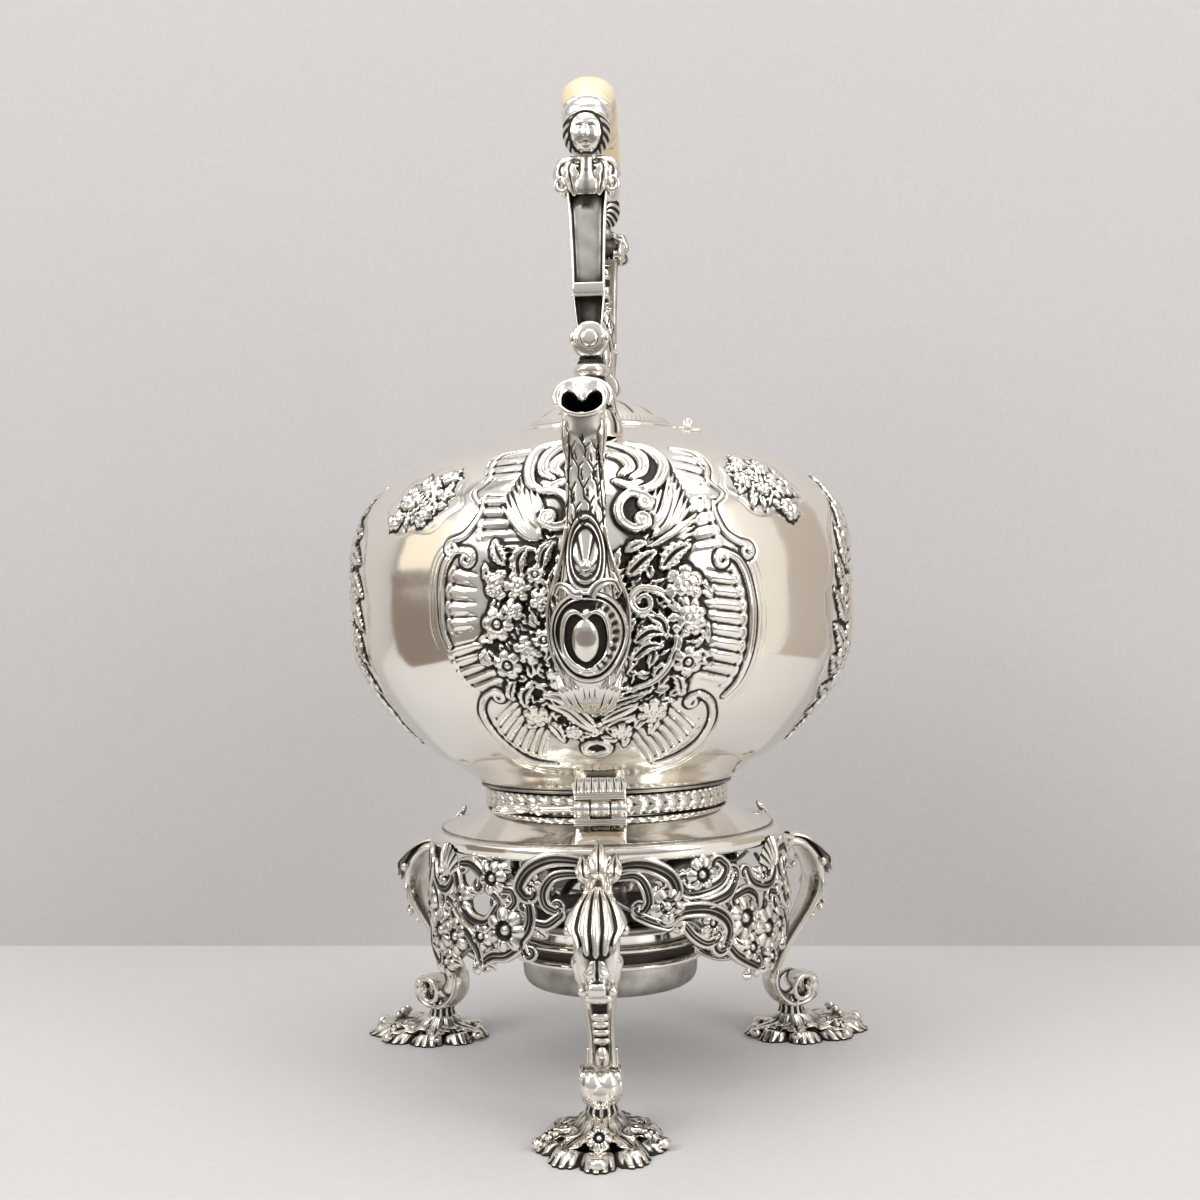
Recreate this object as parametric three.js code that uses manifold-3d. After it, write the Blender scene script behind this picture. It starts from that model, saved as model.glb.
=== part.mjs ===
// A rococo silver tea kettle with a swing handle, hinged to a three-legged stand that holds a spirit burner.
// Millimetres, +Z up, spout towards -Y. Heights are measured from the table.
import * as THREE from "three";
import { mergeVertices } from "three/addons/utils/BufferGeometryUtils.js";
import Module from "manifold-3d";

const wasm = await Module();
wasm.setup();

// Driving dimensions: clearances and sheet
const seatGap = 0.3; // left between pieces that touch or are soldered
const pinGap = 0.35; // left round every pin
const overrun = 1; // how far a cutter runs past what it cuts

// Driving dimensions: feet and legs
const legCount = 3;
const footTipRadius = 122;
const footLength = 57;
const footWidth = 46.4;
const footNeckHeight = 9;
const footNeckRadius = 4.8;
const footNeckShare = 0.37; // the neck's place along the foot, from its inner end
const footEdgeHeight = 2.6;
const kneeRadius = 102;
const legWidth = 17;
const legDepth = 7;
const legRootWidth = 10;
const legRootDepth = 7.2;
const kneeVoluteRadius = 4.5;
const kneeVoluteWidth = 9;
const footVoluteRadius = 5.2;
const footVoluteWidth = 15.5;
const spurRadius = 2;
const spurWidth = 6;
const budHeight = 18;
const budDepth = 9.8;
const budWidth = 12;

// Driving dimensions: stand top
const rimUnderside = 90.3;
const rimRadius = 69.6;
const rimHeight = 4.9;
const flangeWidth = 4.1;
const flangeThickness = 1.5;
const skirtRise = 8.7;
const skirtWall = 1.2;
const bandRadius = 48;
const bandWall = 1.7;
const bandHeight = 7.8;
const beadHeight = 1.5;
const beadStandOut = 0.6;

// Driving dimensions: apron
const apronWall = 2.2;
const apronDrop = 46;
const apronStrapWidth = 3.6;
const apronShellRadius = 8.4;
const apronFlowerRadius = 7.2;

// Driving dimensions: burner
const burnerRingHeight = 9;
const burnerRingUnderside = 44.5;
const burnerRingWall = 3.4;
const bracketWidth = 5;
const bracketDepth = 2.8;
const lampRadius = 34.6;
const lampUnderside = 33;
const lampHeight = 27.5;
const lampWall = 1.1;
const lampCornerRadius = 8;
const lampFlange = 2.6;
const lampFlangeHeight = 1.5;
const lampTopThickness = 1.5;
const wickTubeRadius = 5.2;
const wickTubeWall = 0.9;
const wickTubeStandUp = 6.7;
const wickTubeDepth = 14;
const wickStandUp = 1.6;
const capWall = 1;
const capHeight = 10.2;
const capKnobRadius = 2.2;
const capKnobHeight = 4;

// Driving dimensions: kettle
const bodyRadius = 100;
const bodyHeight = 136.9;
const bodyWall = 1.3;
const baseStandOut = 2; // past the laurel band that it sits on
const baseThickness = 1.5;
const mouthRadius = 31.2;
const lidOverlap = 1.8;
const lidRise = 13;
const lidWall = 1.2;
const lidShoulder = 1.3;
const bezelGap = 1;
const bezelDepth = 4.5;
const lidTopRadius = 6;

// Driving dimensions: finial
const finialRadius = 6.6;
const finialHeight = 34;
const washerRadius = 7.4;
const washerHeight = 2;

// Driving dimensions: spout
const spoutStandOut = 17; // from the body's widest place to the middle of the mouth
const spoutMouthBelow = 1; // the mouth's middle lies this far under the body's mouth
const spoutRootShare = 0.379; // the root's middle, as a share of the body's height
const spoutWall = 1.5;
const spoutTubeWidth = 14;
const spoutMouthWidth = 15.8;
const spoutRootWidth = 26;
const shieldWidth = 29;
const shieldHeight = 33;
const shieldThickness = 2.2;

// Driving dimensions: hinges of the stand and of the lid
const barrelRadius = 3.5;
const barrelGap = 0.4;
const hingeWidth = 19.6;
const kettleKnuckleWidth = 7;
const leafThickness = 3.6;
const leafDrop = 9;
const pinRadius = 1.5;
const pinStandOut = 17;
const pullRingRadius = 7;
const pullRingThickness = 1.7;
const rearPinDrawn = 15;
const lidBarrelRadius = 2;
const lidHingeWidth = 16;
const lidKnuckleWidth = 7.4;
const lidPinRadius = 0.8;
const lidLeafWidth = 5;
const lidLeafThickness = 1.4;

// Driving dimensions: handle
const pivotRadius = 56;
const socketHeight = 32.9; // from the shoulder to the pivot
const socketRadius = 12;
const lugRadius = 6.85;
const lugThickness = 3.4;
const lugNeckRadius = 4;
const pivotPinRadius = 2;
const pivotHeadRadius = 3.2;
const pivotHeadThickness = 1.3;
const armWidth = 14;
const armDepth = 8;
const collarWidth = 21;
const collarDepth = 11.2;
const headWidth = 17.5;
const headHeight = 18.6;
const headDepth = 15;
const armHeight = 87; // from the pivot to the ends of the grip
const gripRise = 22; // from its ends to its top
const gripWidth = 20;
const gripDepth = 15;
const gripEndInset = 9.5; // from the pivots' radius to the ends of the grip
const ferruleLength = 2.2;

// Counts
const bodySides = 36;
const ringSides = 24;
const smallSides = 12;
const voluteSides = 10;
const barSides = 8;
const castSides = 6;
const footLobes = 12;
const legSteps = 22;
const bracketSteps = 8;
const gripSteps = 18;
const armSteps = 18;
const shieldSides = 16;

// Sizes that follow from the driving dimensions
const quarterTurn = Math.PI / 2;
const fullTurn = 2 * Math.PI;
const rimTop = rimUnderside + rimHeight;
const skirtTop = rimTop + skirtRise;
const bandInnerRadius = bandRadius - bandWall;
const baseRadius = bandRadius + baseStandOut;
const bandUnderside = skirtTop + seatGap;
const bandTop = bandUnderside + bandHeight;
const baseUnderside = bandTop + seatGap;
const bodyUnderside = baseUnderside + baseThickness + seatGap;
const mouthHeight = bodyUnderside + bodyHeight;
const apronRadius = rimRadius - flangeWidth + apronWall / 2 + seatGap;
const apronTop = rimUnderside - seatGap;
const hingeRadius = bandRadius + beadStandOut + barrelGap + barrelRadius;
const hingeHeight = skirtTop + barrelGap + barrelRadius;
const lampTop = lampUnderside + lampHeight;
const lampPlateTop = lampTop + seatGap + lampTopThickness;
const burnerRingTop = burnerRingUnderside + burnerRingHeight;
const burnerRingInner = lampRadius + 2 * seatGap;
const burnerRingOuter = burnerRingInner + burnerRingWall;
const footMiddle = footTipRadius - footLength / 2;
const spoutReach = bodyRadius + spoutStandOut;
const gripEndRadius = pivotRadius - gripEndInset;
const spoutMouthHeight = mouthHeight - spoutMouthBelow;
const spoutRootHeight = bodyUnderside + spoutRootShare * bodyHeight;

// Colours taken from the photograph
const silver = new THREE.MeshStandardMaterial({ color: 0xd9d6cf, roughness: 0.16, metalness: 1 });
const castSilver = new THREE.MeshStandardMaterial({ color: 0xb9b5ad, roughness: 0.3, metalness: 1 });
const ivory = new THREE.MeshStandardMaterial({ color: 0xe8d3a0, roughness: 0.35, metalness: 0 });
const cotton = new THREE.MeshStandardMaterial({ color: 0xddd6c4, roughness: 0.95, metalness: 0 });

// Turns a closed geometry into a solid that can be joined and cut, leaving out triangles with no area.
function toSolid(geometry) {
  const bare = new THREE.BufferGeometry();
  bare.setAttribute("position", geometry.getAttribute("position"));
  if (geometry.index) bare.setIndex(geometry.index);
  const merged = mergeVertices(bare);
  const corners = merged.index.array;
  const kept = [];
  for (let i = 0; i < corners.length; i += 3) {
    const [a, b, c] = corners.slice(i, i + 3);
    if (a !== b && b !== c && c !== a) kept.push(a, b, c);
  }
  const mesh = new wasm.Mesh({
    numProp: 3,
    vertProperties: merged.getAttribute("position").array,
    triVerts: new Uint32Array(kept),
  });
  return new wasm.Manifold(mesh);
}

// Gives a joined or cut solid back as a geometry.
function toGeometry(solid) {
  const mesh = solid.getMesh();
  const geometry = new THREE.BufferGeometry();
  geometry.setAttribute("position", new THREE.BufferAttribute(new Float32Array(mesh.vertProperties), 3));
  geometry.setIndex(new THREE.BufferAttribute(new Uint32Array(mesh.triVerts), 1));
  return geometry;
}

function joined(solids) {
  return solids.reduce((whole, solid) => whole.add(solid));
}

// The piece that is kept when a cut leaves waste beside it.
function largest(solid) {
  return solid.decompose().reduce((best, piece) => (piece.volume() > best.volume() ? piece : best));
}

// A closed skin through rings with equally many points, with a fan over each end ring.
function skin(rings) {
  const count = rings[0].length;
  const last = rings.length - 1;
  const points = rings.flat();
  const middleOf = (ring) => ring.reduce((sum, p) => sum.add(p), new THREE.Vector3()).divideScalar(count);
  points.push(middleOf(rings[0]), middleOf(rings[last]));
  const index = [];
  for (let k = 0; k < count; k++) {
    const next = (k + 1) % count;
    for (let r = 0; r < last; r++) {
      const a = r * count + k;
      const b = r * count + next;
      index.push(a, b, b + count, a, b + count, a + count);
    }
    index.push(points.length - 2, next, k);
    index.push(points.length - 1, last * count + k, last * count + next);
  }
  let volume = 0;
  for (let i = 0; i < index.length; i += 3) {
    const [a, b, c] = index.slice(i, i + 3).map((j) => points[j]);
    volume += a.dot(b.clone().cross(c));
  }
  if (volume < 0) index.reverse();
  const geometry = new THREE.BufferGeometry().setFromPoints(points);
  geometry.setIndex(index);
  return geometry;
}

// A solid of revolution about the upright axis, from [radius, height] points.
function turned(points, sides) {
  const profile = points.map(([radius, height]) => new THREE.Vector2(radius, height));
  return new THREE.LatheGeometry(profile, sides).rotateX(quarterTurn);
}

// Moves a profile's points sideways by a distance, to the right of their run when it is positive.
function offsetProfile(points, distance) {
  return points.map(([radius, height], i) => {
    const [r0, h0] = points[Math.max(i - 1, 0)];
    const [r1, h1] = points[Math.min(i + 1, points.length - 1)];
    const length = Math.hypot(r1 - r0, h1 - h0);
    return [radius + (distance * (h1 - h0)) / length, height - (distance * (r1 - r0)) / length];
  });
}

// The height of a profile at a radius, on its last stretch that reaches that radius.
function heightAt(points, radius) {
  let found = points[points.length - 1][1];
  for (let i = 1; i < points.length; i++) {
    const [r0, h0] = points[i - 1];
    const [r1, h1] = points[i];
    if ((r0 - radius) * (r1 - radius) <= 0 && r0 !== r1) found = h0 + ((radius - r0) / (r1 - r0)) * (h1 - h0);
  }
  return found;
}

// A round rod between two points.
function rod(radius, from, to, sides) {
  const along = to.clone().sub(from);
  const geometry = new THREE.CylinderGeometry(radius, radius, along.length(), sides);
  const turn = new THREE.Quaternion().setFromUnitVectors(new THREE.Vector3(0, 1, 0), along.clone().normalize());
  geometry.applyQuaternion(turn);
  const middle = from.clone().add(to).divideScalar(2);
  return geometry.translate(middle.x, middle.y, middle.z);
}

// A box from its lowest and highest corners.
function block(low, high) {
  const size = high.clone().sub(low);
  const middle = low.clone().add(high).divideScalar(2);
  return new THREE.BoxGeometry(size.x, size.y, size.z).translate(middle.x, middle.y, middle.z);
}

function ball(middle, halfSize, sides) {
  const geometry = new THREE.SphereGeometry(1, sides, sides / 2);
  return geometry.scale(halfSize.x, halfSize.y, halfSize.z).translate(middle.x, middle.y, middle.z);
}

// A point of the front plane: outward is towards -Y.
function frontPoint(radius, height) {
  return new THREE.Vector3(0, -radius, height);
}

// Rounds a table of [radius, height, half width, half depth] rows into more rows.
function smoothRows(rows, count) {
  const places = new THREE.CatmullRomCurve3(rows.map((row) => frontPoint(row[0], row[1])));
  const widths = new THREE.CatmullRomCurve3(rows.map((row) => new THREE.Vector3(row[2], row[3], 0)));
  return Array.from({ length: count + 1 }, (_, i) => {
    const place = places.getPoint(i / count);
    const width = widths.getPoint(i / count);
    return [-place.y, place.z, width.x, width.y];
  });
}

// A bar with an oval section along rows of [radius, height, half width, half depth] in the front plane.
// No corner of the section lies on its widest place, so the corners are spread until the sides reach it.
function bar(rows, sides) {
  const places = rows.map((row) => frontPoint(row[0], row[1]));
  const rings = rows.map((row, i) => {
    const before = places[Math.max(i - 1, 0)];
    const after = places[Math.min(i + 1, rows.length - 1)];
    const along = after.clone().sub(before).normalize();
    const across = new THREE.Vector3(1, 0, 0);
    const out = across.clone().cross(along);
    return Array.from({ length: sides }, (_, k) => {
      const turn = ((k + 1 / 2) / sides) * fullTurn;
      const wide = across.clone().multiplyScalar((row[2] * Math.cos(turn)) / Math.cos(Math.PI / sides));
      const deep = out.clone().multiplyScalar(row[3] * Math.sin(turn));
      return places[i].clone().add(wide).add(deep);
    });
  });
  return skin(rings);
}

const root = new THREE.Group();
root.name = "tea_kettle_on_stand";
// The origin is the middle of the footprint, between the front foot's tip and the back of the body.
root.position.y = (footTipRadius - bodyRadius) / 2;

function addMesh(name, geometry, material, parent = root) {
  const mesh = new THREE.Mesh(geometry, material);
  mesh.name = name;
  parent.add(mesh);
  return mesh;
}

// Three groups turned about the axis; the first looks to the front.
function turnedGroup(turn) {
  const group = new THREE.Group();
  group.rotation.z = turn;
  root.add(group);
  return group;
}

// One cast foot: a leafy plate with a flat sole that rises to a round neck under the leg.
function footGeometry() {
  const lobeShare = 0.12;
  const riseShares = [1, 0.62, 0.3, 0];
  const neckPlace = footTipRadius - footLength + footLength * footNeckShare;
  const steps = footLobes * 2;
  const ringAt = (share, height) =>
    Array.from({ length: steps }, (_, k) => {
      const turn = (k / steps) * fullTurn;
      const lobe = 1 - lobeShare * (0.5 - 0.5 * Math.cos(footLobes * turn));
      const plateRadius = footMiddle + (footLength / 2) * lobe * Math.cos(turn);
      const plateSide = (footWidth / 2) * lobe * Math.sin(turn);
      const neckRadius = neckPlace + footNeckRadius * Math.cos(turn);
      const neckSide = footNeckRadius * Math.sin(turn);
      const radius = neckRadius + (plateRadius - neckRadius) * share;
      const side = neckSide + (plateSide - neckSide) * share;
      return new THREE.Vector3(side, -radius, height);
    });
  const rings = riseShares.map((share) => {
    const rise = (footNeckHeight - footEdgeHeight) * (1 - share) ** 2;
    return ringAt(share, footEdgeHeight + rise);
  });
  return skin([ringAt(1, 0), ...rings]);
}

// One cast leg: a C scroll with a wide knee that runs into a small outward scroll over the foot.
// Rows are shares of the knee radius, the rim height, the leg's width and its depth.
const legShares = [
  [0.799, 0.858, 0.47, 0.68],
  [0.819, 0.903, 0.65, 0.8],
  [0.882, 0.87, 0.82, 0.86],
  [0.947, 0.793, 0.94, 0.94],
  [0.965, 0.712, 1, 1],
  [0.931, 0.62, 0.96, 0.91],
  [0.872, 0.535, 0.85, 0.83],
  [0.799, 0.432, 0.66, 0.74],
  [0.738, 0.339, 0.54, 0.71],
  [0.722, 0.271, 0.54, 0.71],
  [0.74, 0.194, 0.56, 0.74],
  [0.794, 0.14, 0.66, 0.74],
  [0.863, 0.132, 0.8, 0.69],
  [0.915, 0.172, 0.87, 0.66],
  [0.912, 0.227, 0.89, 0.63],
  [0.869, 0.244, 0.9, 0.63],
];

function legGeometry() {
  const voluteShares = [0.843, 0.808];
  const footVoluteShares = [0.866, 0.188];
  const spurShares = [0.966, 0.585];
  const budShare = 0.42;
  const rows = legShares.map(([radius, height, width, depth]) => [
    radius * kneeRadius,
    height * rimUnderside,
    (width * legWidth) / 2,
    (depth * legDepth) / 2,
  ]);
  const across = (radius, width, shares) => {
    const middle = frontPoint(shares[0] * kneeRadius, shares[1] * rimUnderside);
    const side = new THREE.Vector3(width / 2, 0, 0);
    return toSolid(rod(radius, middle.clone().sub(side), middle.clone().add(side), voluteSides));
  };
  const neckPlace = footTipRadius - footLength + footLength * footNeckShare;
  const padFoot = frontPoint(neckPlace, footNeckHeight + seatGap);
  const padHead = frontPoint(neckPlace, footVoluteShares[1] * rimUnderside);
  const rootBottom = apronTop - legRootDepth;
  const rootInner = apronRadius - apronWall / 2;
  const rootOuter = rows[1][0];
  const budRadius = rimRadius + 2 * seatGap + budDepth / 2;
  const budMiddle = frontPoint(budRadius, rimUnderside + budHeight * (0.5 - budShare));
  return toGeometry(
    joined([
      toSolid(bar(smoothRows(rows, legSteps), castSides)),
      across(kneeVoluteRadius, kneeVoluteWidth, voluteShares),
      across(footVoluteRadius, footVoluteWidth, footVoluteShares),
      across(spurRadius, spurWidth, spurShares),
      toSolid(rod(footNeckRadius, padFoot, padHead, voluteSides)),
      toSolid(
        block(
          new THREE.Vector3(-legRootWidth / 2, -rootOuter, rootBottom),
          new THREE.Vector3(legRootWidth / 2, -rootInner, apronTop),
        ),
      ),
      toSolid(ball(budMiddle, new THREE.Vector3(budWidth / 2, budDepth / 2, budHeight / 2), voluteSides)),
    ]),
  );
}

// A place on the apron's drum: a share of the half span between two legs, and a share of the apron's drop.
const apronHalfSpan = Math.PI / legCount - (legRootWidth / 2 + 2 * seatGap) / apronRadius;

function drumPoint(sideShare, dropShare, radius) {
  const turn = sideShare * apronHalfSpan;
  const height = apronTop - dropShare * apronDrop;
  return new THREE.Vector3(radius * Math.sin(turn), -radius * Math.cos(turn), height);
}

// A strap on the drum through [side share, drop share] points, as wide as said and as thick as the apron.
function strap(shares, width, steps) {
  const flat = new THREE.SplineCurve(shares.map(([side, drop]) => new THREE.Vector2(side, drop)));
  const spots = flat.getPoints(steps);
  const middles = spots.map((spot) => drumPoint(spot.x, spot.y, apronRadius));
  const rings = middles.map((middle, i) => {
    const out = new THREE.Vector3(middle.x, middle.y, 0).normalize();
    const before = middles[Math.max(i - 1, 0)];
    const after = middles[Math.min(i + 1, middles.length - 1)];
    const along = after.clone().sub(before).normalize();
    const across = out.clone().cross(along).normalize();
    return [
      [1, 1],
      [-1, 1],
      [-1, -1],
      [1, -1],
    ].map(([wide, deep]) => {
      const side = across.clone().multiplyScalar((wide * width) / 2);
      const depth = out.clone().multiplyScalar((deep * apronWall) / 2);
      return middle.clone().add(side).add(depth);
    });
  });
  return toSolid(skin(rings));
}

// A round flower on the drum, a little proud of the straps.
function flower([sideShare, dropShare, sizeShare]) {
  const inner = drumPoint(sideShare, dropShare, apronRadius - apronWall / 2);
  const outer = drumPoint(sideShare, dropShare, apronRadius + apronWall);
  return toSolid(rod(apronFlowerRadius * sizeShare, inner, outer, barSides));
}

// Scrolls and flowers of one apron panel. Each strap is a run of [side share, drop share] points.
const apronRailShares = [
  [-1, 0.04],
  [0, 0.04],
  [1, 0.04],
];
const apronStrapShares = [
  [[-0.16, 0.62], [-0.3, 0.5], [-0.48, 0.45], [-0.66, 0.52], [-0.76, 0.66]],
  [[0.16, 0.62], [0.3, 0.5], [0.48, 0.45], [0.66, 0.52], [0.76, 0.66]],
  [[-0.97, 0.03], [-0.93, 0.3], [-0.8, 0.48], [-0.62, 0.48]],
  [[0.97, 0.03], [0.93, 0.3], [0.8, 0.48], [0.62, 0.48]],
  [[-0.12, 0.34], [-0.28, 0.44], [-0.44, 0.36], [-0.47, 0.2], [-0.4, 0.04]],
  [[0.12, 0.34], [0.28, 0.44], [0.44, 0.36], [0.47, 0.2], [0.4, 0.04]],
  [[-0.62, 0.48], [-0.64, 0.28], [-0.76, 0.12], [-0.95, 0.1]],
  [[0.62, 0.48], [0.64, 0.28], [0.76, 0.12], [0.95, 0.1]],
];
const apronFlowerShares = [
  [0, 0.72, 1.05],
  [-0.13, 0.5, 0.85],
  [0.14, 0.56, 0.9],
  [0.04, 0.9, 0.72],
  [0, 0.33, 0.95],
  [0.12, 0.24, 0.6],
  [-0.56, 0.56, 0.62],
  [0.56, 0.56, 0.62],
  [-0.27, 0.62, 0.55],
  [0.27, 0.64, 0.55],
];

function apronGeometry() {
  const steps = 5;
  const shellInner = rimRadius + seatGap;
  const rail = strap(apronRailShares, apronStrapWidth, steps * 2);
  const straps = apronStrapShares.map((shares) => strap(shares, apronStrapWidth, steps));
  const flowers = apronFlowerShares.map(flower);
  const shell = toSolid(
    rod(
      apronShellRadius,
      frontPoint(apronRadius, apronTop),
      frontPoint(shellInner + apronWall, apronTop),
      voluteSides,
    ),
  );
  // The shell stands outside the rim, so it keeps clear of everything behind the rim's face above the seat.
  const clearRadius = shellInner / Math.cos(Math.PI / ringSides);
  const clear = toSolid(
    turned([[0, apronTop], [clearRadius, apronTop], [clearRadius, skirtTop], [0, skirtTop]], ringSides),
  );
  return toGeometry(joined([rail, ...straps, ...flowers, shell]).subtract(clear));
}

// The stand's top: a rim with a flange under it, and a thin skirt that rises to the band.
const skirtShares = [
  [1, 0],
  [0.68, 0.37],
  [0.4, 0.73],
  [0.18, 0.94],
];

function skirtOuter() {
  const span = rimRadius - bandInnerRadius;
  return [
    ...skirtShares.map(([side, rise]) => [bandInnerRadius + side * span, rimTop + rise * skirtRise]),
    [bandInnerRadius, skirtTop],
  ];
}

function skirtGeometry() {
  const outer = skirtOuter();
  const inner = offsetProfile(outer, -skirtWall).slice(1, -1);
  const flangeInner = rimRadius - flangeWidth;
  return turned(
    [
      [flangeInner, rimUnderside],
      [rimRadius, rimUnderside],
      ...outer,
      [bandInnerRadius, skirtTop - skirtWall],
      ...inner.reverse(),
      [rimRadius - skirtWall, rimTop - skirtWall],
      [rimRadius - skirtWall, rimUnderside + flangeThickness],
      [flangeInner, rimUnderside + flangeThickness],
      [flangeInner, rimUnderside],
    ],
    bodySides,
  );
}

// Laurel band: a plain ring with a bead at its foot and at its head.
function bandGeometry() {
  const bead = bandRadius + beadStandOut;
  return turned(
    [
      [bandInnerRadius, bandUnderside],
      [bead, bandUnderside],
      [bead, bandUnderside + beadHeight],
      [bandRadius, bandUnderside + beadHeight],
      [bandRadius, bandTop - beadHeight],
      [bead, bandTop - beadHeight],
      [bead, bandTop],
      [bandInnerRadius, bandTop],
      [bandInnerRadius, bandUnderside],
    ],
    bodySides,
  );
}

// Burner ring with a bead top and bottom; the lamp hangs in it by its flange.
function burnerRingGeometry() {
  const waist = burnerRingOuter - beadStandOut * 2;
  return turned(
    [
      [burnerRingInner, burnerRingUnderside],
      [burnerRingOuter, burnerRingUnderside],
      [burnerRingOuter, burnerRingUnderside + burnerRingHeight / 3],
      [waist, burnerRingUnderside + burnerRingHeight / 2],
      [burnerRingOuter, burnerRingTop - burnerRingHeight / 3],
      [burnerRingOuter, burnerRingTop],
      [burnerRingInner, burnerRingTop],
      [burnerRingInner, burnerRingUnderside],
    ],
    ringSides,
  );
}

// One bracket: a flat S bar from the burner ring to the inside of the apron.
function bracketGeometry() {
  const runShares = [0, 0.2, 0.5, 0.8, 1];
  const riseShares = [0, -0.25, 0.1, 0.5, 0.4];
  const from = burnerRingOuter + seatGap;
  const run = apronRadius - apronWall / 2 - seatGap - from;
  const rows = runShares.map((share, i) => [
    from + share * run,
    burnerRingUnderside + burnerRingHeight * (0.5 + riseShares[i]),
    bracketWidth / 2,
    bracketDepth / 2,
  ]);
  return bar(smoothRows(rows, bracketSteps), castSides);
}

// Lamp reservoir: a cup with a rounded foot and a flange that rests on the burner ring.
function reservoirGeometry() {
  const cornerSteps = [0, 1, 2, 3].map((step) => (step / 3) * quarterTurn);
  const corner = (radius, low) =>
    cornerSteps.map((turn) => [
      lampRadius - lampCornerRadius + radius * Math.sin(turn),
      low + lampCornerRadius - radius * Math.cos(turn),
    ]);
  const flangeLow = burnerRingTop + seatGap;
  const flangeOuter = lampRadius + lampFlange;
  return turned(
    [
      [0, lampUnderside],
      ...corner(lampCornerRadius, lampUnderside),
      [lampRadius, flangeLow],
      [flangeOuter, flangeLow],
      [flangeOuter, flangeLow + lampFlangeHeight],
      [lampRadius, flangeLow + lampFlangeHeight],
      [lampRadius, lampTop],
      [lampRadius - lampWall, lampTop],
      ...corner(lampCornerRadius - lampWall, lampUnderside).reverse(),
      [0, lampUnderside + lampWall],
    ],
    ringSides,
  );
}

function lampPlateGeometry() {
  const hole = wickTubeRadius + seatGap;
  const low = lampTop + seatGap;
  return turned(
    [
      [hole, low],
      [lampRadius, low],
      [lampRadius, lampPlateTop],
      [hole, lampPlateTop],
      [hole, low],
    ],
    ringSides,
  );
}

function wickTubeGeometry() {
  const inner = wickTubeRadius - wickTubeWall;
  const top = lampPlateTop + wickTubeStandUp;
  const low = top - wickTubeDepth;
  const lip = wickTubeRadius + 3 * seatGap;
  const lipLow = lampPlateTop + seatGap;
  return turned(
    [
      [inner, low],
      [wickTubeRadius, low],
      [wickTubeRadius, lipLow],
      [lip, lipLow],
      [lip, lipLow + wickTubeWall],
      [wickTubeRadius, lipLow + wickTubeWall],
      [wickTubeRadius, top],
      [inner, top],
      [inner, low],
    ],
    smallSides,
  );
}

function wickGeometry() {
  const top = lampPlateTop + wickTubeStandUp + wickStandUp;
  const low = lampUnderside + lampWall + 4 * seatGap;
  return rod(wickTubeRadius - wickTubeWall - seatGap, frontPoint(0, low), frontPoint(0, top), smallSides);
}

// Snuffer cap: a small bell with a knob, set over the wick tube.
function snufferGeometry() {
  const inner = wickTubeRadius + 5 * seatGap;
  const outer = inner + capWall;
  const low = lampPlateTop + seatGap;
  const top = low + capHeight;
  const waist = capKnobRadius / 2;
  return turned(
    [
      [inner, low],
      [outer, low],
      [outer, top - capWall],
      [outer - capWall, top],
      [waist, top + capKnobHeight / 4],
      [capKnobRadius, top + capKnobHeight / 2],
      [capKnobRadius, top + (capKnobHeight * 3) / 4],
      [0, top + capKnobHeight],
      [0, top - capWall],
      [inner, top - capWall],
      [inner, low],
    ],
    smallSides,
  );
}

// Kettle body: [radius share, height share] points, from its foot to its mouth.
const bodyShares = [
  [0.57, 0.032],
  [0.695, 0.087],
  [0.85, 0.204],
  [0.93, 0.284],
  [0.98, 0.357],
  [1, 0.45],
  [1, 0.545],
  [0.994, 0.642],
  [0.955, 0.748],
  [0.9, 0.81],
  [0.8, 0.879],
  [0.71, 0.916],
  [0.57, 0.955],
  [0.4, 0.991],
];

function bodyOuter() {
  return [
    [baseRadius, bodyUnderside],
    ...bodyShares.map(([radius, height]) => [radius * bodyRadius, bodyUnderside + height * bodyHeight]),
    [mouthRadius, mouthHeight],
  ];
}

// The body's full outer form grown by a clearance, which cuts what is soldered to it.
function bodyCutter(clearance) {
  const grown = offsetProfile(bodyOuter(), clearance);
  const low = grown[0][1];
  const high = grown[grown.length - 1][1];
  return toSolid(turned([[0, low], ...grown, [0, high]], bodySides));
}

function bodyGeometry() {
  const outer = bodyOuter();
  const inner = offsetProfile(outer, -bodyWall);
  inner[0] = [outer[0][0] - bodyWall, outer[0][1]];
  inner[inner.length - 1] = [mouthRadius, mouthHeight - bodyWall];
  const shell = toSolid(turned([...outer, ...inner.reverse(), outer[0]], bodySides));
  return toGeometry(shell.subtract(spoutBore()));
}

function baseGeometry() {
  return turned(
    [
      [0, baseUnderside],
      [baseRadius, baseUnderside],
      [baseRadius, baseUnderside + baseThickness],
      [0, baseUnderside + baseThickness],
    ],
    bodySides,
  );
}

// Spout: rows of shares of the reach, of the rise from root to mouth, of the width and of the depth.
const spoutShares = [
  [0.72, 0.0, 1, 3.4],
  [0.82, 0.0, 1, 3.1],
  [0.872, 0.06, 0.92, 2.5],
  [0.915, 0.17, 0.78, 1.75],
  [0.93, 0.31, 0.64, 1.3],
  [0.925, 0.46, 0.54, 1.05],
  [0.919, 0.62, 0.52, 0.97],
  [0.92, 0.73, 0.52, 0.96],
  [0.928, 0.84, 0.54, 0.96],
  [0.945, 0.935, 0.57, 0.98],
  [0.974, 0.983, 0.6, 1.02],
  [1, 1, 0.61, 1.06],
];

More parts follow.
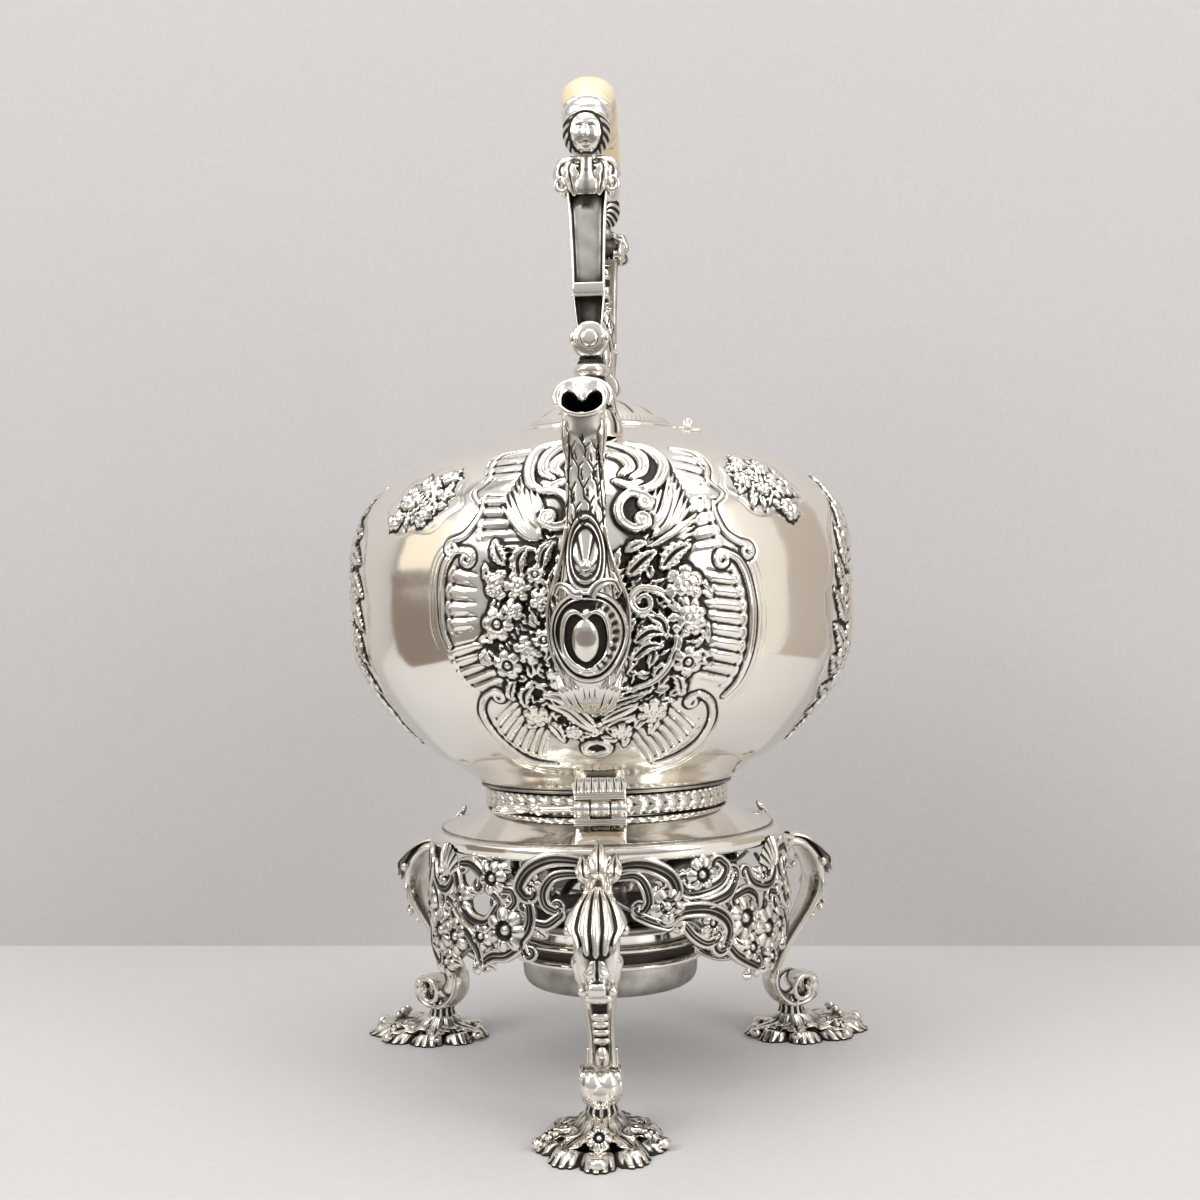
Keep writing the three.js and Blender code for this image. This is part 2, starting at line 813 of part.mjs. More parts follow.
function spoutRows(clearance) {
  const rise = spoutMouthHeight - spoutRootHeight;
  return spoutShares.map(([reach, height, width, depth], i) => {
    const nearMouth = i > spoutShares.length - 3;
    const halfWidth = nearMouth ? spoutMouthWidth / 2 : (width * spoutRootWidth) / 2;
    return [
      reach * spoutReach,
      spoutRootHeight + height * rise,
      halfWidth + clearance,
      (depth * spoutTubeWidth) / 2 + clearance,
    ];
  });
}

function spoutBore() {
  const rows = spoutRows(-spoutWall);
  const [lastRadius, lastHeight, width, depth] = rows[rows.length - 1];
  const [beforeRadius, beforeHeight] = rows[rows.length - 2];
  const past = [2 * lastRadius - beforeRadius, 2 * lastHeight - beforeHeight, width, depth];
  return toSolid(bar([...rows, past], smallSides));
}

function spoutForm(clearance) {
  return toSolid(bar(spoutRows(clearance), smallSides));
}

function spoutGeometry() {
  return toGeometry(spoutForm(0).subtract(bodyCutter(seatGap)).subtract(spoutBore()));
}

// Shield: a raised oval cartouche that follows the front of the spout's root.
function shieldGeometry() {
  const heightShare = 0.05;
  const backShare = 0.87;
  const rise = spoutMouthHeight - spoutRootHeight;
  const height = spoutRootHeight + rise * heightShare;
  const from = frontPoint(spoutReach * backShare, height);
  const to = frontPoint(spoutReach + spoutStandOut, height);
  const prism = rod(shieldHeight / 2, from, to, shieldSides);
  prism.scale(shieldWidth / shieldHeight, 1, 1);
  const skinOut = spoutForm(seatGap + shieldThickness).subtract(spoutForm(seatGap));
  return toGeometry(largest(toSolid(prism).intersect(skinOut).subtract(bodyCutter(seatGap))));
}

// The lid: a low dome with a flat rim over the mouth, a bezel inside it, and the middle knuckle of its hinge.
const lidRadius = mouthRadius + lidOverlap;
const lidSeat = mouthHeight + seatGap;
const lidHingeX = lidRadius + barrelGap + lidBarrelRadius;
const lidHingeHeight = lidSeat + lidBarrelRadius;
const lidTop = lidSeat + lidRise;
const lidDomeShares = [
  [1, 0],
  [0.9, 0.3],
  [0.68, 0.67],
  [0.42, 0.92],
];

function sideRod(radius, x, height, halfLength, sides) {
  const from = new THREE.Vector3(x, -halfLength, height);
  const to = new THREE.Vector3(x, halfLength, height);
  return toSolid(rod(radius, from, to, sides));
}

function lidGeometry() {
  const edge = lidSeat + lidShoulder;
  const dome = lidDomeShares.map(([radius, rise]) => [radius * lidRadius, edge + rise * (lidTop - edge)]);
  const under = offsetProfile(dome, -lidWall).slice(1).reverse();
  const bezelOuter = mouthRadius - bezelGap;
  const bezelInner = bezelOuter - lidWall;
  const shell = turned(
    [
      [0, lidTop],
      [0, lidTop - lidWall],
      ...under,
      [bezelInner, edge],
      [bezelInner, lidSeat - bezelDepth],
      [bezelOuter, lidSeat - bezelDepth],
      [bezelOuter, lidSeat],
      [lidRadius, lidSeat],
      ...dome,
      [lidTopRadius, lidTop],
      [0, lidTop],
    ],
    ringSides,
  );
  const knuckle = sideRod(lidBarrelRadius, lidHingeX, lidHingeHeight, lidKnuckleWidth / 2, smallSides);
  const tab = toSolid(
    block(
      new THREE.Vector3(lidRadius - 2 * lidWall, -lidKnuckleWidth / 2, lidSeat + seatGap),
      new THREE.Vector3(lidHingeX, lidKnuckleWidth / 2, lidHingeHeight),
    ),
  );
  const hollow = [[0, lidSeat - bezelDepth], [bezelInner, lidSeat - bezelDepth], [bezelInner, edge]];
  const clear = toSolid(turned([...hollow, ...under.toReversed(), [0, lidTop - lidWall]], ringSides));
  const bore = sideRod(lidPinRadius + pinGap, lidHingeX, lidHingeHeight, lidHingeWidth, smallSides);
  return toGeometry(toSolid(shell).add(knuckle).add(tab.subtract(clear)).subtract(bore));
}

// The body's half of the lid hinge: a small plate beside the lid that carries the two outer knuckles.
function lidLeafGeometry() {
  const half = lidHingeWidth / 2;
  const plateInner = lidHingeX - lidBarrelRadius / 2;
  const plate = toSolid(
    block(
      new THREE.Vector3(plateInner, -half, mouthHeight - lidLeafThickness * 2),
      new THREE.Vector3(lidHingeX + lidLeafWidth, half, lidSeat + lidLeafThickness),
    ),
  );
  const barrel = sideRod(lidBarrelRadius, lidHingeX, lidHingeHeight, half, smallSides);
  const slotHalf = lidKnuckleWidth / 2 + seatGap;
  const slotFar = lidHingeX + lidBarrelRadius + seatGap;
  const slot = toSolid(
    block(
      new THREE.Vector3(lidRadius, -slotHalf, mouthHeight - lidLeafThickness * 3),
      new THREE.Vector3(slotFar, slotHalf, lidHingeHeight + lidBarrelRadius * 2),
    ),
  );
  const bore = sideRod(lidPinRadius + pinGap, lidHingeX, lidHingeHeight, lidHingeWidth, smallSides);
  return toGeometry(plate.add(barrel).subtract(slot).subtract(bore).subtract(bodyCutter(seatGap)));
}

function lidPinGeometry() {
  return toGeometry(sideRod(lidPinRadius, lidHingeX, lidHingeHeight, lidHingeWidth / 2, smallSides));
}

// Finial: a bud on a short stem, over a round washer.
const finialShares = [
  [0.75, 0],
  [0.45, 0.08],
  [0.35, 0.16],
  [0.7, 0.24],
  [0.95, 0.38],
  [1, 0.5],
  [0.85, 0.66],
  [0.55, 0.8],
  [0.25, 0.88],
  [0.32, 0.94],
];

function washerGeometry() {
  const low = lidTop + seatGap;
  const high = low + washerHeight;
  return turned(
    [
      [0, low],
      [washerRadius, low],
      [washerRadius, low + washerHeight / 2],
      [washerRadius - washerHeight / 2, high],
      [0, high],
    ],
    smallSides,
  );
}

function finialGeometry() {
  const low = lidTop + washerHeight + 2 * seatGap;
  const points = finialShares.map(([radius, rise]) => [radius * finialRadius, low + rise * finialHeight]);
  return turned([[0, low], ...points, [0, low + finialHeight]], smallSides);
}

// Hinges of the stand lie across the kettle: the front one is drawn at -Y, and the rear one is its turned copy.
function acrossRod(radius, fromX, toX, sides) {
  const from = new THREE.Vector3(fromX, -hingeRadius, hingeHeight);
  const to = new THREE.Vector3(toX, -hingeRadius, hingeHeight);
  return toSolid(rod(radius, from, to, sides));
}

function hingeBore() {
  return acrossRod(pinRadius + pinGap, -hingeWidth, hingeWidth, smallSides);
}

// The stand's leaf: a plate against the foot of the band and on the skirt, with the two outer knuckles.
function standLeafGeometry() {
  const half = hingeWidth / 2;
  const slotHalf = kettleKnuckleWidth / 2 + seatGap;
  const plate = toSolid(
    block(
      new THREE.Vector3(-half, -hingeRadius - barrelRadius, hingeHeight - leafDrop),
      new THREE.Vector3(half, -hingeRadius - barrelRadius + leafThickness, hingeHeight),
    ),
  );
  const barrel = acrossRod(barrelRadius, -half, half, smallSides);
  const slot = toSolid(
    block(
      new THREE.Vector3(-slotHalf, -hingeRadius - 2 * barrelRadius, hingeHeight - barrelRadius - seatGap),
      new THREE.Vector3(slotHalf, -hingeRadius + 2 * barrelRadius, hingeHeight + 2 * barrelRadius),
    ),
  );
  const outer = offsetProfile([[rimRadius, rimUnderside], ...skirtOuter().slice(0, -1)], seatGap);
  const topPlace = skirtTop + seatGap;
  const underRim = [[0, rimUnderside], [rimRadius, rimUnderside]];
  const onTop = [[bandInnerRadius, topPlace], [0, topPlace]];
  const skirt = toSolid(turned([...underRim, ...outer.slice(1), ...onTop], bodySides));
  return toGeometry(plate.add(barrel).subtract(slot).subtract(hingeBore()).subtract(skirt));
}

// The kettle's leaf: the middle knuckle and a wedge that is soldered under the swell of the body.
function kettleLeafGeometry() {
  const half = hingeWidth / 2;
  const knuckleHalf = kettleKnuckleWidth / 2;
  const wedgeLow = hingeHeight + barrelRadius + seatGap;
  const wedge = toSolid(
    block(
      new THREE.Vector3(-half, -hingeRadius - barrelRadius - leafThickness, wedgeLow),
      new THREE.Vector3(half, -baseRadius - seatGap, wedgeLow + leafDrop),
    ),
  );
  const web = toSolid(
    block(
      new THREE.Vector3(-knuckleHalf, -hingeRadius - barrelRadius, hingeHeight),
      new THREE.Vector3(knuckleHalf, -baseRadius - seatGap, wedgeLow + overrun),
    ),
  );
  const barrel = acrossRod(barrelRadius, -knuckleHalf, knuckleHalf, smallSides);
  return toGeometry(wedge.add(web).add(barrel).subtract(hingeBore()).subtract(bodyCutter(seatGap)));
}

// A hinge pin with a flat pull ring on its left end; drawn says how far it is pulled to the left.
function pinGeometry(drawn) {
  const tip = hingeWidth / 2 - drawn;
  const shoulder = -hingeWidth / 2 - pinStandOut - drawn;
  const ringX = shoulder - pullRingRadius + overrun;
  const outer = pullRingRadius;
  const inner = pullRingRadius - pullRingThickness;
  const half = pullRingThickness / 2;
  const ring = turned(
    [
      [inner, -half],
      [outer, -half],
      [outer, half],
      [inner, half],
      [inner, -half],
    ],
    smallSides + 4,
  ).translate(ringX, -hingeRadius, hingeHeight);
  return toGeometry(acrossRod(pinRadius, shoulder, tip, smallSides).add(toSolid(ring)));
}

// The handle's pivot stands over the shoulder, and the grip over the pivot.
const shoulderHeight = heightAt(bodyOuter(), pivotRadius);
const pivotHeight = shoulderHeight + socketHeight;
const gripEndHeight = pivotHeight + armHeight;
const gripTopHeight = gripEndHeight + gripRise;

// Handle sockets stand on the shoulder; each holds an upright lug with the pivot hole.
const socketShares = [
  [1, -0.35],
  [1, 0.02],
  [0.92, 0.14],
  [0.62, 0.26],
  [0.68, 0.36],
  [0.6, 0.48],
  [0.42, 0.56],
  [0.56, 0.62],
  [0.56, 0.68],
  [0.36, 0.74],
];

function yRod(radius, fromRadius, toRadius, sides) {
  return toSolid(rod(radius, frontPoint(fromRadius, pivotHeight), frontPoint(toRadius, pivotHeight), sides));
}

function pivotHole() {
  const from = pivotRadius - 2 * lugThickness;
  const to = pivotRadius + 3 * lugThickness;
  return yRod(pivotPinRadius + pinGap, from, to, smallSides);
}

function socketGeometry() {
  const profile = socketShares.map(([radius, rise]) => [
    radius * socketRadius,
    shoulderHeight + rise * socketHeight,
  ]);
  const low = profile[0][1];
  const high = profile[profile.length - 1][1];
  const foot = toSolid(turned([[0, low], ...profile, [0, high]], smallSides).translate(0, -pivotRadius, 0));
  const lug = yRod(lugRadius, pivotRadius - lugThickness / 2, pivotRadius + lugThickness / 2, smallSides + 4);
  const stem = toSolid(
    block(
      new THREE.Vector3(-lugNeckRadius, -pivotRadius - lugThickness / 2, high - overrun),
      new THREE.Vector3(lugNeckRadius, -pivotRadius + lugThickness / 2, pivotHeight),
    ),
  );
  return toGeometry(foot.add(stem).add(lug).subtract(pivotHole()).subtract(bodyCutter(seatGap)));
}

// A pivot pin: a headed stub through the socket's lug and the arm's lug.
function pivotPinGeometry() {
  const inner = pivotRadius - lugThickness / 2;
  const face = pivotRadius + lugThickness * 1.5 + 2 * seatGap;
  const stem = yRod(pivotPinRadius, inner, face + seatGap, smallSides);
  const head = yRod(pivotHeadRadius, face, face + pivotHeadThickness, smallSides);
  return toGeometry(stem.add(head));
}

// Handle arm: shares of the grip ends' inset, of the rise from pivot to grip end, of the width and of the depth.
const armShares = [
  [-0.365, 0.0, 0.62, 0.42],
  [-0.365, 0.07, 0.72, 0.5],
  [-0.295, 0.17, 0.86, 0.62],
  [-0.248, 0.2, 0.9, 0.95],
  [-0.177, 0.24, 0.84, 0.8],
  [-0.071, 0.42, 0.9, 0.8],
  [0.088, 0.58, 1, 0.9],
  [0.206, 0.64, 1.34, 1.3],
  [0.324, 0.73, 1.5, 1.4],
  [0.472, 0.8, 1.1, 1.2],
  [0.589, 0.9, 1.1, 1.3],
  [0.825, 0.97, 1.12, 1.3],
];

// Where the grip ends, and the way from the grip towards the arm there.
const gripEnd = frontPoint(gripEndRadius, gripEndHeight);
const gripMiddleHeight = gripTopHeight - gripDepth / 2;
const gripPathShares = [
  [1, 0],
  [0.82, 0.5],
  [0.5, 0.88],
  [0, 1],
  [-0.5, 0.88],
  [-0.82, 0.5],
  [-1, 0],
];

function gripRows() {
  const endShare = 0.88;
  return gripPathShares.map(([side, rise], i) => {
    const size = i === 0 || i === gripPathShares.length - 1 ? endShare : 1;
    return [
      side * gripEndRadius,
      gripEndHeight + rise * (gripMiddleHeight - gripEndHeight),
      (size * gripWidth) / 2,
      (size * gripDepth) / 2,
    ];
  });
}

function gripGeometry() {
  return bar(smoothRows(gripRows(), gripSteps), smallSides);
}

function gripEndWay() {
  const rows = smoothRows(gripRows(), gripSteps);
  return frontPoint(rows[0][0], rows[0][1]).sub(frontPoint(rows[1][0], rows[1][1])).normalize();
}

// A straight oval bar along the grip's end direction, between two distances from the grip's end.
function endBar(from, to, halfWidth, halfDepth) {
  const way = gripEndWay();
  const rows = [from, to].map((distance) => {
    const place = gripEnd.clone().add(way.clone().multiplyScalar(distance));
    return [-place.y, place.z, halfWidth, halfDepth];
  });
  return bar(rows, smallSides);
}

function ferruleGeometry() {
  const share = 0.94;
  return endBar(seatGap, seatGap + ferruleLength, (share * gripWidth) / 2, (share * gripDepth) / 2);
}

function armGeometry() {
  const headPlaceShare = 0.413;
  const collarShares = [0.324, 0.73];
  const collarHeightShare = 0.33;
  const rows = armShares.map(([inset, height, width, depth]) => [
    pivotRadius - inset * gripEndInset,
    pivotHeight + height * armHeight,
    (width * armWidth) / 2,
    (depth * armDepth) / 2,
  ]);
  const inner = pivotRadius + lugThickness / 2 + seatGap;
  const lug = yRod(lugRadius, inner, inner + lugThickness, smallSides + 4);
  const headMiddle = frontPoint(pivotRadius - headPlaceShare * gripEndInset, gripEndHeight - headHeight / 2);
  const headHalf = new THREE.Vector3(headWidth / 2, headDepth / 2, headHeight / 2);
  const head = toSolid(ball(headMiddle, headHalf, voluteSides));
  const collarRadius = pivotRadius - collarShares[0] * gripEndInset;
  const collarMiddle = frontPoint(collarRadius, pivotHeight + collarShares[1] * armHeight);
  const collarHalf = new THREE.Vector3(collarWidth / 2, collarDepth / 2, headHeight * collarHeightShare);
  const collar = toSolid(ball(collarMiddle, collarHalf, barSides));
  const body = toSolid(bar(smoothRows(rows, armSteps), barSides));
  const behind = toSolid(
    block(
      new THREE.Vector3(-lugRadius, -inner, pivotHeight - 2 * lugRadius),
      new THREE.Vector3(lugRadius, 0, pivotHeight + lugRadius + seatGap),
    ),
  );
  const clearBar = toSolid(endBar(-gripDepth, 2 * seatGap + ferruleLength, gripWidth, gripDepth));
  const cast = largest(body.add(collar).add(head).subtract(clearBar).subtract(behind));
  return toGeometry(cast.add(lug).subtract(pivotHole()));
}

const frontTurn = 0;
const rearTurn = Math.PI;

// Places the feet, legs, apron and brackets round the axis, and the turned pieces on it.
function addStand() {
  for (let k = 0; k < legCount; k++) {
    const legGroup = turnedGroup((k / legCount) * fullTurn);
    const panelGroup = turnedGroup(((k + 1 / 2) / legCount) * fullTurn);
    const place = ["front", "right", "left"][k];
    const side = ["right", "rear", "left"][k];
    addMesh(`foot_${place}`, footGeometry(), castSilver, legGroup);
    addMesh(`leg_${place}`, legGeometry(), castSilver, legGroup);
    addMesh(`apron_${side}`, apronGeometry(), castSilver, panelGroup);
    addMesh(`burner_bracket_${side}`, bracketGeometry(), castSilver, panelGroup);
  }
  addMesh("stand_skirt", skirtGeometry(), silver);
  addMesh("laurel_band", bandGeometry(), castSilver);
  addMesh("burner_ring", burnerRingGeometry(), silver);
}

function addLamp() {
  addMesh("lamp_reservoir", reservoirGeometry(), silver);
  addMesh("lamp_top", lampPlateGeometry(), silver);
  addMesh("wick_tube", wickTubeGeometry(), silver);
  addMesh("wick", wickGeometry(), cotton);
  addMesh("snuffer_cap", snufferGeometry(), silver);
}

function addKettle() {
  addMesh("kettle_body", bodyGeometry(), silver);
  addMesh("kettle_base", baseGeometry(), silver);
  addMesh("spout", spoutGeometry(), castSilver);
  addMesh("spout_shield", shieldGeometry(), castSilver);
  addMesh("lid", lidGeometry(), silver);
  addMesh("lid_hinge_leaf", lidLeafGeometry(), silver);
  addMesh("lid_hinge_pin", lidPinGeometry(), silver);
  addMesh("finial_washer", washerGeometry(), silver);
  addMesh("finial", finialGeometry(), castSilver);
}

// Hinges, sockets and arms come in pairs: one in front and its copy turned to the back.
function addPairs() {
  [
    ["front", frontTurn, 0],
    ["rear", rearTurn, rearPinDrawn],
  ].forEach(([place, turn, drawn]) => {
    const group = turnedGroup(turn);
    addMesh(`stand_hinge_leaf_${place}`, standLeafGeometry(), castSilver, group);
    addMesh(`kettle_hinge_leaf_${place}`, kettleLeafGeometry(), castSilver, group);
    addMesh(`hinge_pin_${place}`, pinGeometry(drawn), silver, group);
    addMesh(`handle_socket_${place}`, socketGeometry(), castSilver, group);
    addMesh(`pivot_pin_${place}`, pivotPinGeometry(), silver, group);
    addMesh(`handle_arm_${place}`, armGeometry(), castSilver, group);
    addMesh(`ferrule_${place}`, toGeometry(toSolid(ferruleGeometry())), castSilver, group);
  });
  addMesh("grip", gripGeometry(), ivory);
}

addStand();
addLamp();
addKettle();
addPairs();

export default root;
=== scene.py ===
# A rococo silver tea kettle on its stand, dressed with chased and cast ornament. Metres, +Z up.
import math
import bmesh
import bpy
import numpy as np
from mathutils import Matrix, Vector


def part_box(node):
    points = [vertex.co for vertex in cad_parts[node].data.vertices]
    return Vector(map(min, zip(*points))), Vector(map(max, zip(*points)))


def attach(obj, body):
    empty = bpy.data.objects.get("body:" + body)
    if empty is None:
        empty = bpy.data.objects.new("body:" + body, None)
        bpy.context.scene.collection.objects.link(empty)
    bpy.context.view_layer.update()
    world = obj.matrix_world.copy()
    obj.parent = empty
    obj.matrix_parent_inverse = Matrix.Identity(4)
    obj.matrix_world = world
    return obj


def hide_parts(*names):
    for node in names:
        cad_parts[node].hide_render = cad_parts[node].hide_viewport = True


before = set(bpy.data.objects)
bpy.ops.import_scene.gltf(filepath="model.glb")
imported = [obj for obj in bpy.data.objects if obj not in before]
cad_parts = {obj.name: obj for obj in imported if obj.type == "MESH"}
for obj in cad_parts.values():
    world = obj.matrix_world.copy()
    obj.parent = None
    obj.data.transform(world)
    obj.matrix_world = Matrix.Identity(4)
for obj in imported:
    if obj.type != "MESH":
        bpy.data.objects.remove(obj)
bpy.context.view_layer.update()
mm = 0.001
fullTurn = 2 * math.pi
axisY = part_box("kettle_base")[0].y + (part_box("kettle_base")[1].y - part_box("kettle_base")[0].y) / 2


# Paths and frames

# A smooth path through points: Catmull-Rom weights on each stretch, then even steps along its length.
def smoothPath(points, count):
    p = np.asarray(points, float)
    p = np.vstack([2 * p[0] - p[1], p, 2 * p[-1] - p[-2]])
    u = np.linspace(0, len(p) - 3, (len(p) - 3) * 24 + 1)
    i = np.minimum(u.astype(int), len(p) - 4)
    t = (u - i)[:, None]
    a, b, c, d = p[i], p[i + 1], p[i + 2], p[i + 3]
    q = 0.5 * (2 * b + (c - a) * t + (2 * a - 5 * b + 4 * c - d) * t**2 + (3 * b - a - 3 * c + d) * t**3)
    return evenSteps(q, count)


# The same path with its points at equal distances.
def evenSteps(path, count):
    along = np.concatenate([[0], np.cumsum(np.linalg.norm(np.diff(path, axis=0), axis=1))])
    at = np.linspace(0, along[-1], count)
    return np.stack([np.interp(at, along, path[:, k]) for k in range(path.shape[1])], axis=1)


# A flat spiral that winds in from a point of a scroll: radius falls evenly while the angle turns.
def spiralPoints(centre, startRadius, endRadius, startDegrees, turnDegrees, count=14):
    t = np.linspace(0, 1, count)
    angle = np.radians(startDegrees + turnDegrees * t)
    radius = startRadius + (endRadius - startRadius) * t
    return np.stack([centre[0] + radius * np.cos(angle), centre[1] + radius * np.sin(angle)], axis=1)


# Each vector divided by its own length.
def unit(v):
    return v / np.maximum(np.linalg.norm(v, axis=-1, keepdims=True), 1e-12)


# Rises from 0 at low to 1 at high, as three times the squared share less twice its cube.
def smoothStep(low, high, x):
    t = np.clip((x - low) / (high - low), 0, 1)
    return t * t * (3 - 2 * t)


# A bump of height 1 at the middle that falls off within the width; a higher power flattens its top.
def hump(x, middle, width, power=2):
    return np.exp(-(((x - middle) / width) ** power))


# The angles of a full circle in equal steps.
def fullCircle(count):
    return np.linspace(0, fullTurn, count, endpoint=False)


# Points about the upright axis; angle 0 looks to the front.
def around(radius, angle, height):
    return np.stack([radius * np.sin(angle), -radius * np.cos(angle), height + 0 * angle], axis=-1)


# A grid that closes round its section, and one that closes both ways.
def tubeGrid(points, dark):
    return {"points": points, "wrapCols": True, "dark": dark}


def hoopGrid(points, dark):
    return {"points": points, "wrapRows": True, "wrapCols": True, "dark": dark}


# Meshes

# Quads between neighbouring points of a grid; a wrapped direction joins its last row to its first.
def gridFaces(rows, cols, wrapRows, wrapCols, start):
    r = np.arange(rows if wrapRows else rows - 1)[:, None]
    c = np.arange(cols if wrapCols else cols - 1)[None, :]
    nextRow = (r + 1) % rows
    nextCol = (c + 1) % cols
    corners = (r * cols + c, r * cols + nextCol, nextRow * cols + nextCol, nextRow * cols + c)
    quads = np.stack(corners, axis=-1)
    return quads.reshape(-1, 4) + start


# Six times the volume between the quads and a centre; it is positive when the faces look outwards.
def turnSign(points, quads, centre):
    q = points[quads] - centre
    first = np.einsum("ij,ij->i", q[:, 0], np.cross(q[:, 1], q[:, 2]))
    second = np.einsum("ij,ij->i", q[:, 0], np.cross(q[:, 2], q[:, 3]))
    return (first + second).sum()


# One mesh object from a list of grids. A grid is a dictionary with points (rows, cols, 3) in millimetres
# about the kettle's axis, wrap flags, and a dark value for each point: oxide, from 0 on heights to 1 in
# recesses, plus painted shade on backs, undersides, insides and some whole parts.
def makePiece(name, grids, material, body, stands=(), weld=True):
    points, faces, darks, start = [], [], [], 0
    for grid in grids:
        p = grid["points"]
        rows, cols = p.shape[:2]
        flat = p.reshape(-1, 3)
        quads = gridFaces(rows, cols, grid.get("wrapRows", False), grid.get("wrapCols", False), 0)
        centre = grid.get("centre", flat.mean(0))
        if turnSign(flat, quads, centre) < 0:
            quads = quads[:, ::-1]
        points.append(flat)
        faces.append(quads + start)
        darks.append(np.broadcast_to(grid.get("dark", 0.0), (rows, cols)).reshape(-1))
        start += rows * cols
    points = np.vstack(points) * mm + np.array([0, axisY, 0])
    faces = np.vstack(faces)
    mesh = bpy.data.meshes.new(name)
    mesh.vertices.add(len(points))
    mesh.vertices.foreach_set("co", points.astype(np.float32).ravel())
    mesh.loops.add(faces.size)
    mesh.loops.foreach_set("vertex_index", faces.astype(np.int32).ravel())
    mesh.polygons.add(len(faces))
    mesh.polygons.foreach_set("loop_start", np.arange(0, faces.size, 4, dtype=np.int32))
    mesh.update(calc_edges=True)
    layer = mesh.attributes.new("dark", "FLOAT", "POINT")
    layer.data.foreach_set("value", np.concatenate(darks).astype(np.float32))
    if weld:
        joined = bmesh.new()
        joined.from_mesh(mesh)
        bmesh.ops.remove_doubles(joined, verts=joined.verts, dist=1e-6)
        joined.to_mesh(mesh)
        joined.free()
    mesh.validate()
    mesh.polygons.foreach_set("use_smooth", np.ones(len(mesh.polygons), bool))
    mesh.materials.append(material)
    piece = bpy.data.objects.new(name, mesh)
    bpy.context.scene.collection.objects.link(piece)
    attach(piece, body)
    if stands:
        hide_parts(*stands)
    return piece


# How deep each point of a grid lies under the mean of its neighbourhood, along its normal.
# Two window sizes are mixed, and the result is scaled so that depth gives 1.
def recess(points, depth, wrapRows=False, wrapCols=False, windows=(2, 6)):
    total = 0
    du = np.gradient(points, axis=0)
    dv = np.gradient(points, axis=1)
    normal = unit(np.cross(du, dv))
    for size in windows:
        mean = points
        for axis, wrap in ((0, wrapRows), (1, wrapCols)):
            pad = [(0, 0)] * 3
            pad[axis] = (size, size)
            wide = np.pad(mean, pad, mode="wrap" if wrap else "edge")
            sums = np.cumsum(wide, axis=axis)
            zero = np.zeros_like(np.take(sums, [0], axis=axis))
            sums = np.concatenate([zero, sums], axis=axis)
            span = 2 * size + 1
            count = points.shape[axis]
            high = np.take(sums, np.arange(span, span + count), axis=axis)
            low = np.take(sums, np.arange(count), axis=axis)
            mean = (high - low) / span
        total = total + np.einsum("ijk,ijk->ij", mean - points, normal)
    return total / (depth * len(windows))


# A solid of revolution about the upright axis through (x, y): each profile point turns into a ring.
def revolved(profile, sides, x=0.0, y=0.0):
    profile = np.asarray(profile, float)
    turn = fullCircle(sides)
    ring = np.stack([np.sin(turn), -np.cos(turn)], axis=1)
    flat = profile[:, None, :1] * ring[None]
    height = np.broadcast_to(profile[:, None, 1:], (len(profile), sides, 1))
    return np.concatenate([flat + np.array([x, y]), height], axis=2)


# A bar along a path. The section is a closed loop of (across, out) pairs, scaled by half width and half
# depth. Out is given for each point, and both ends close to a point.
def sweep(path, halfWidth, halfDepth, out, section):
    path = np.asarray(path, float)
    along = unit(np.gradient(path, axis=0))
    out = np.broadcast_to(np.asarray(out, float), path.shape)
    out = unit(out - np.einsum("ij,ij->i", out, along)[:, None] * along)
    across = np.cross(along, out)
    section = np.asarray(section, float)
    if section.ndim == 2:
        section = np.broadcast_to(section, (len(path),) + section.shape)
    wide = np.broadcast_to(halfWidth, len(path))[:, None, None]
    deep = np.broadcast_to(halfDepth, len(path))[:, None, None]
    rings = path[:, None] + across[:, None] * section[..., :1] * wide + out[:, None] * section[..., 1:] * deep
    first = np.broadcast_to(path[:1, None], (1,) + rings.shape[1:])
    last = np.broadcast_to(path[-1:, None], (1,) + rings.shape[1:])
    return np.concatenate([first, rings, last])


# A circle of radius 1 in the plane of the section.
def roundSection(sides):
    turn = fullCircle(sides)
    return np.stack([np.cos(turn), np.sin(turn)], axis=1)


# Camera, floor, wall and lamps

view = {
    "distance": 600 * mm,       # from the upright axis
    "height": 175.2 * mm,
    "turnDegrees": 2.6,         # the camera stands a little to the right
    "riseDegrees": 0.88,
    "panDegrees": 0.103,
    "rollDegrees": -1.22,
    "lens": 45.0,
}


# The camera stands at the view's distance from the axis, turned round it, and its own turn is the pan,
# then the rise, then the roll.
def addCamera():
    turn = math.radians(view["turnDegrees"])
    camera = bpy.data.objects.new("camera", bpy.data.cameras.new("camera"))
    bpy.context.scene.collection.objects.link(camera)
    camera.data.lens = view["lens"]
    camera.data.sensor_width = 36
    camera.location = (
        view["distance"] * math.sin(turn),
        axisY - view["distance"] * math.cos(turn),
        view["height"],
    )
    camera.rotation_mode = "XYZ"
    tilt = math.radians(90 + view["riseDegrees"])
    rotation = (
        bpyMatrix(
            "Z", turn + math.radians(view["panDegrees"])
        ) @ bpyMatrix("X", tilt) @ bpyMatrix("Z", math.radians(view["rollDegrees"]))
    )
    camera.rotation_euler = rotation.to_euler()
    camera.data.clip_end = 20
    bpy.context.scene.camera = camera
    return camera


# The 3 by 3 turn by an angle about one axis.
def bpyMatrix(axis, angle):
    return Matrix.Rotation(angle, 3, axis)


# An empty node material, with its nodes, links, shader and output at hand.
def newMaterial(name):
    material = bpy.data.materials.new(name)
    material.use_nodes = True
    nodes = material.node_tree.nodes
    return material, nodes, material.node_tree.links, nodes["Principled BSDF"], nodes["Material Output"]


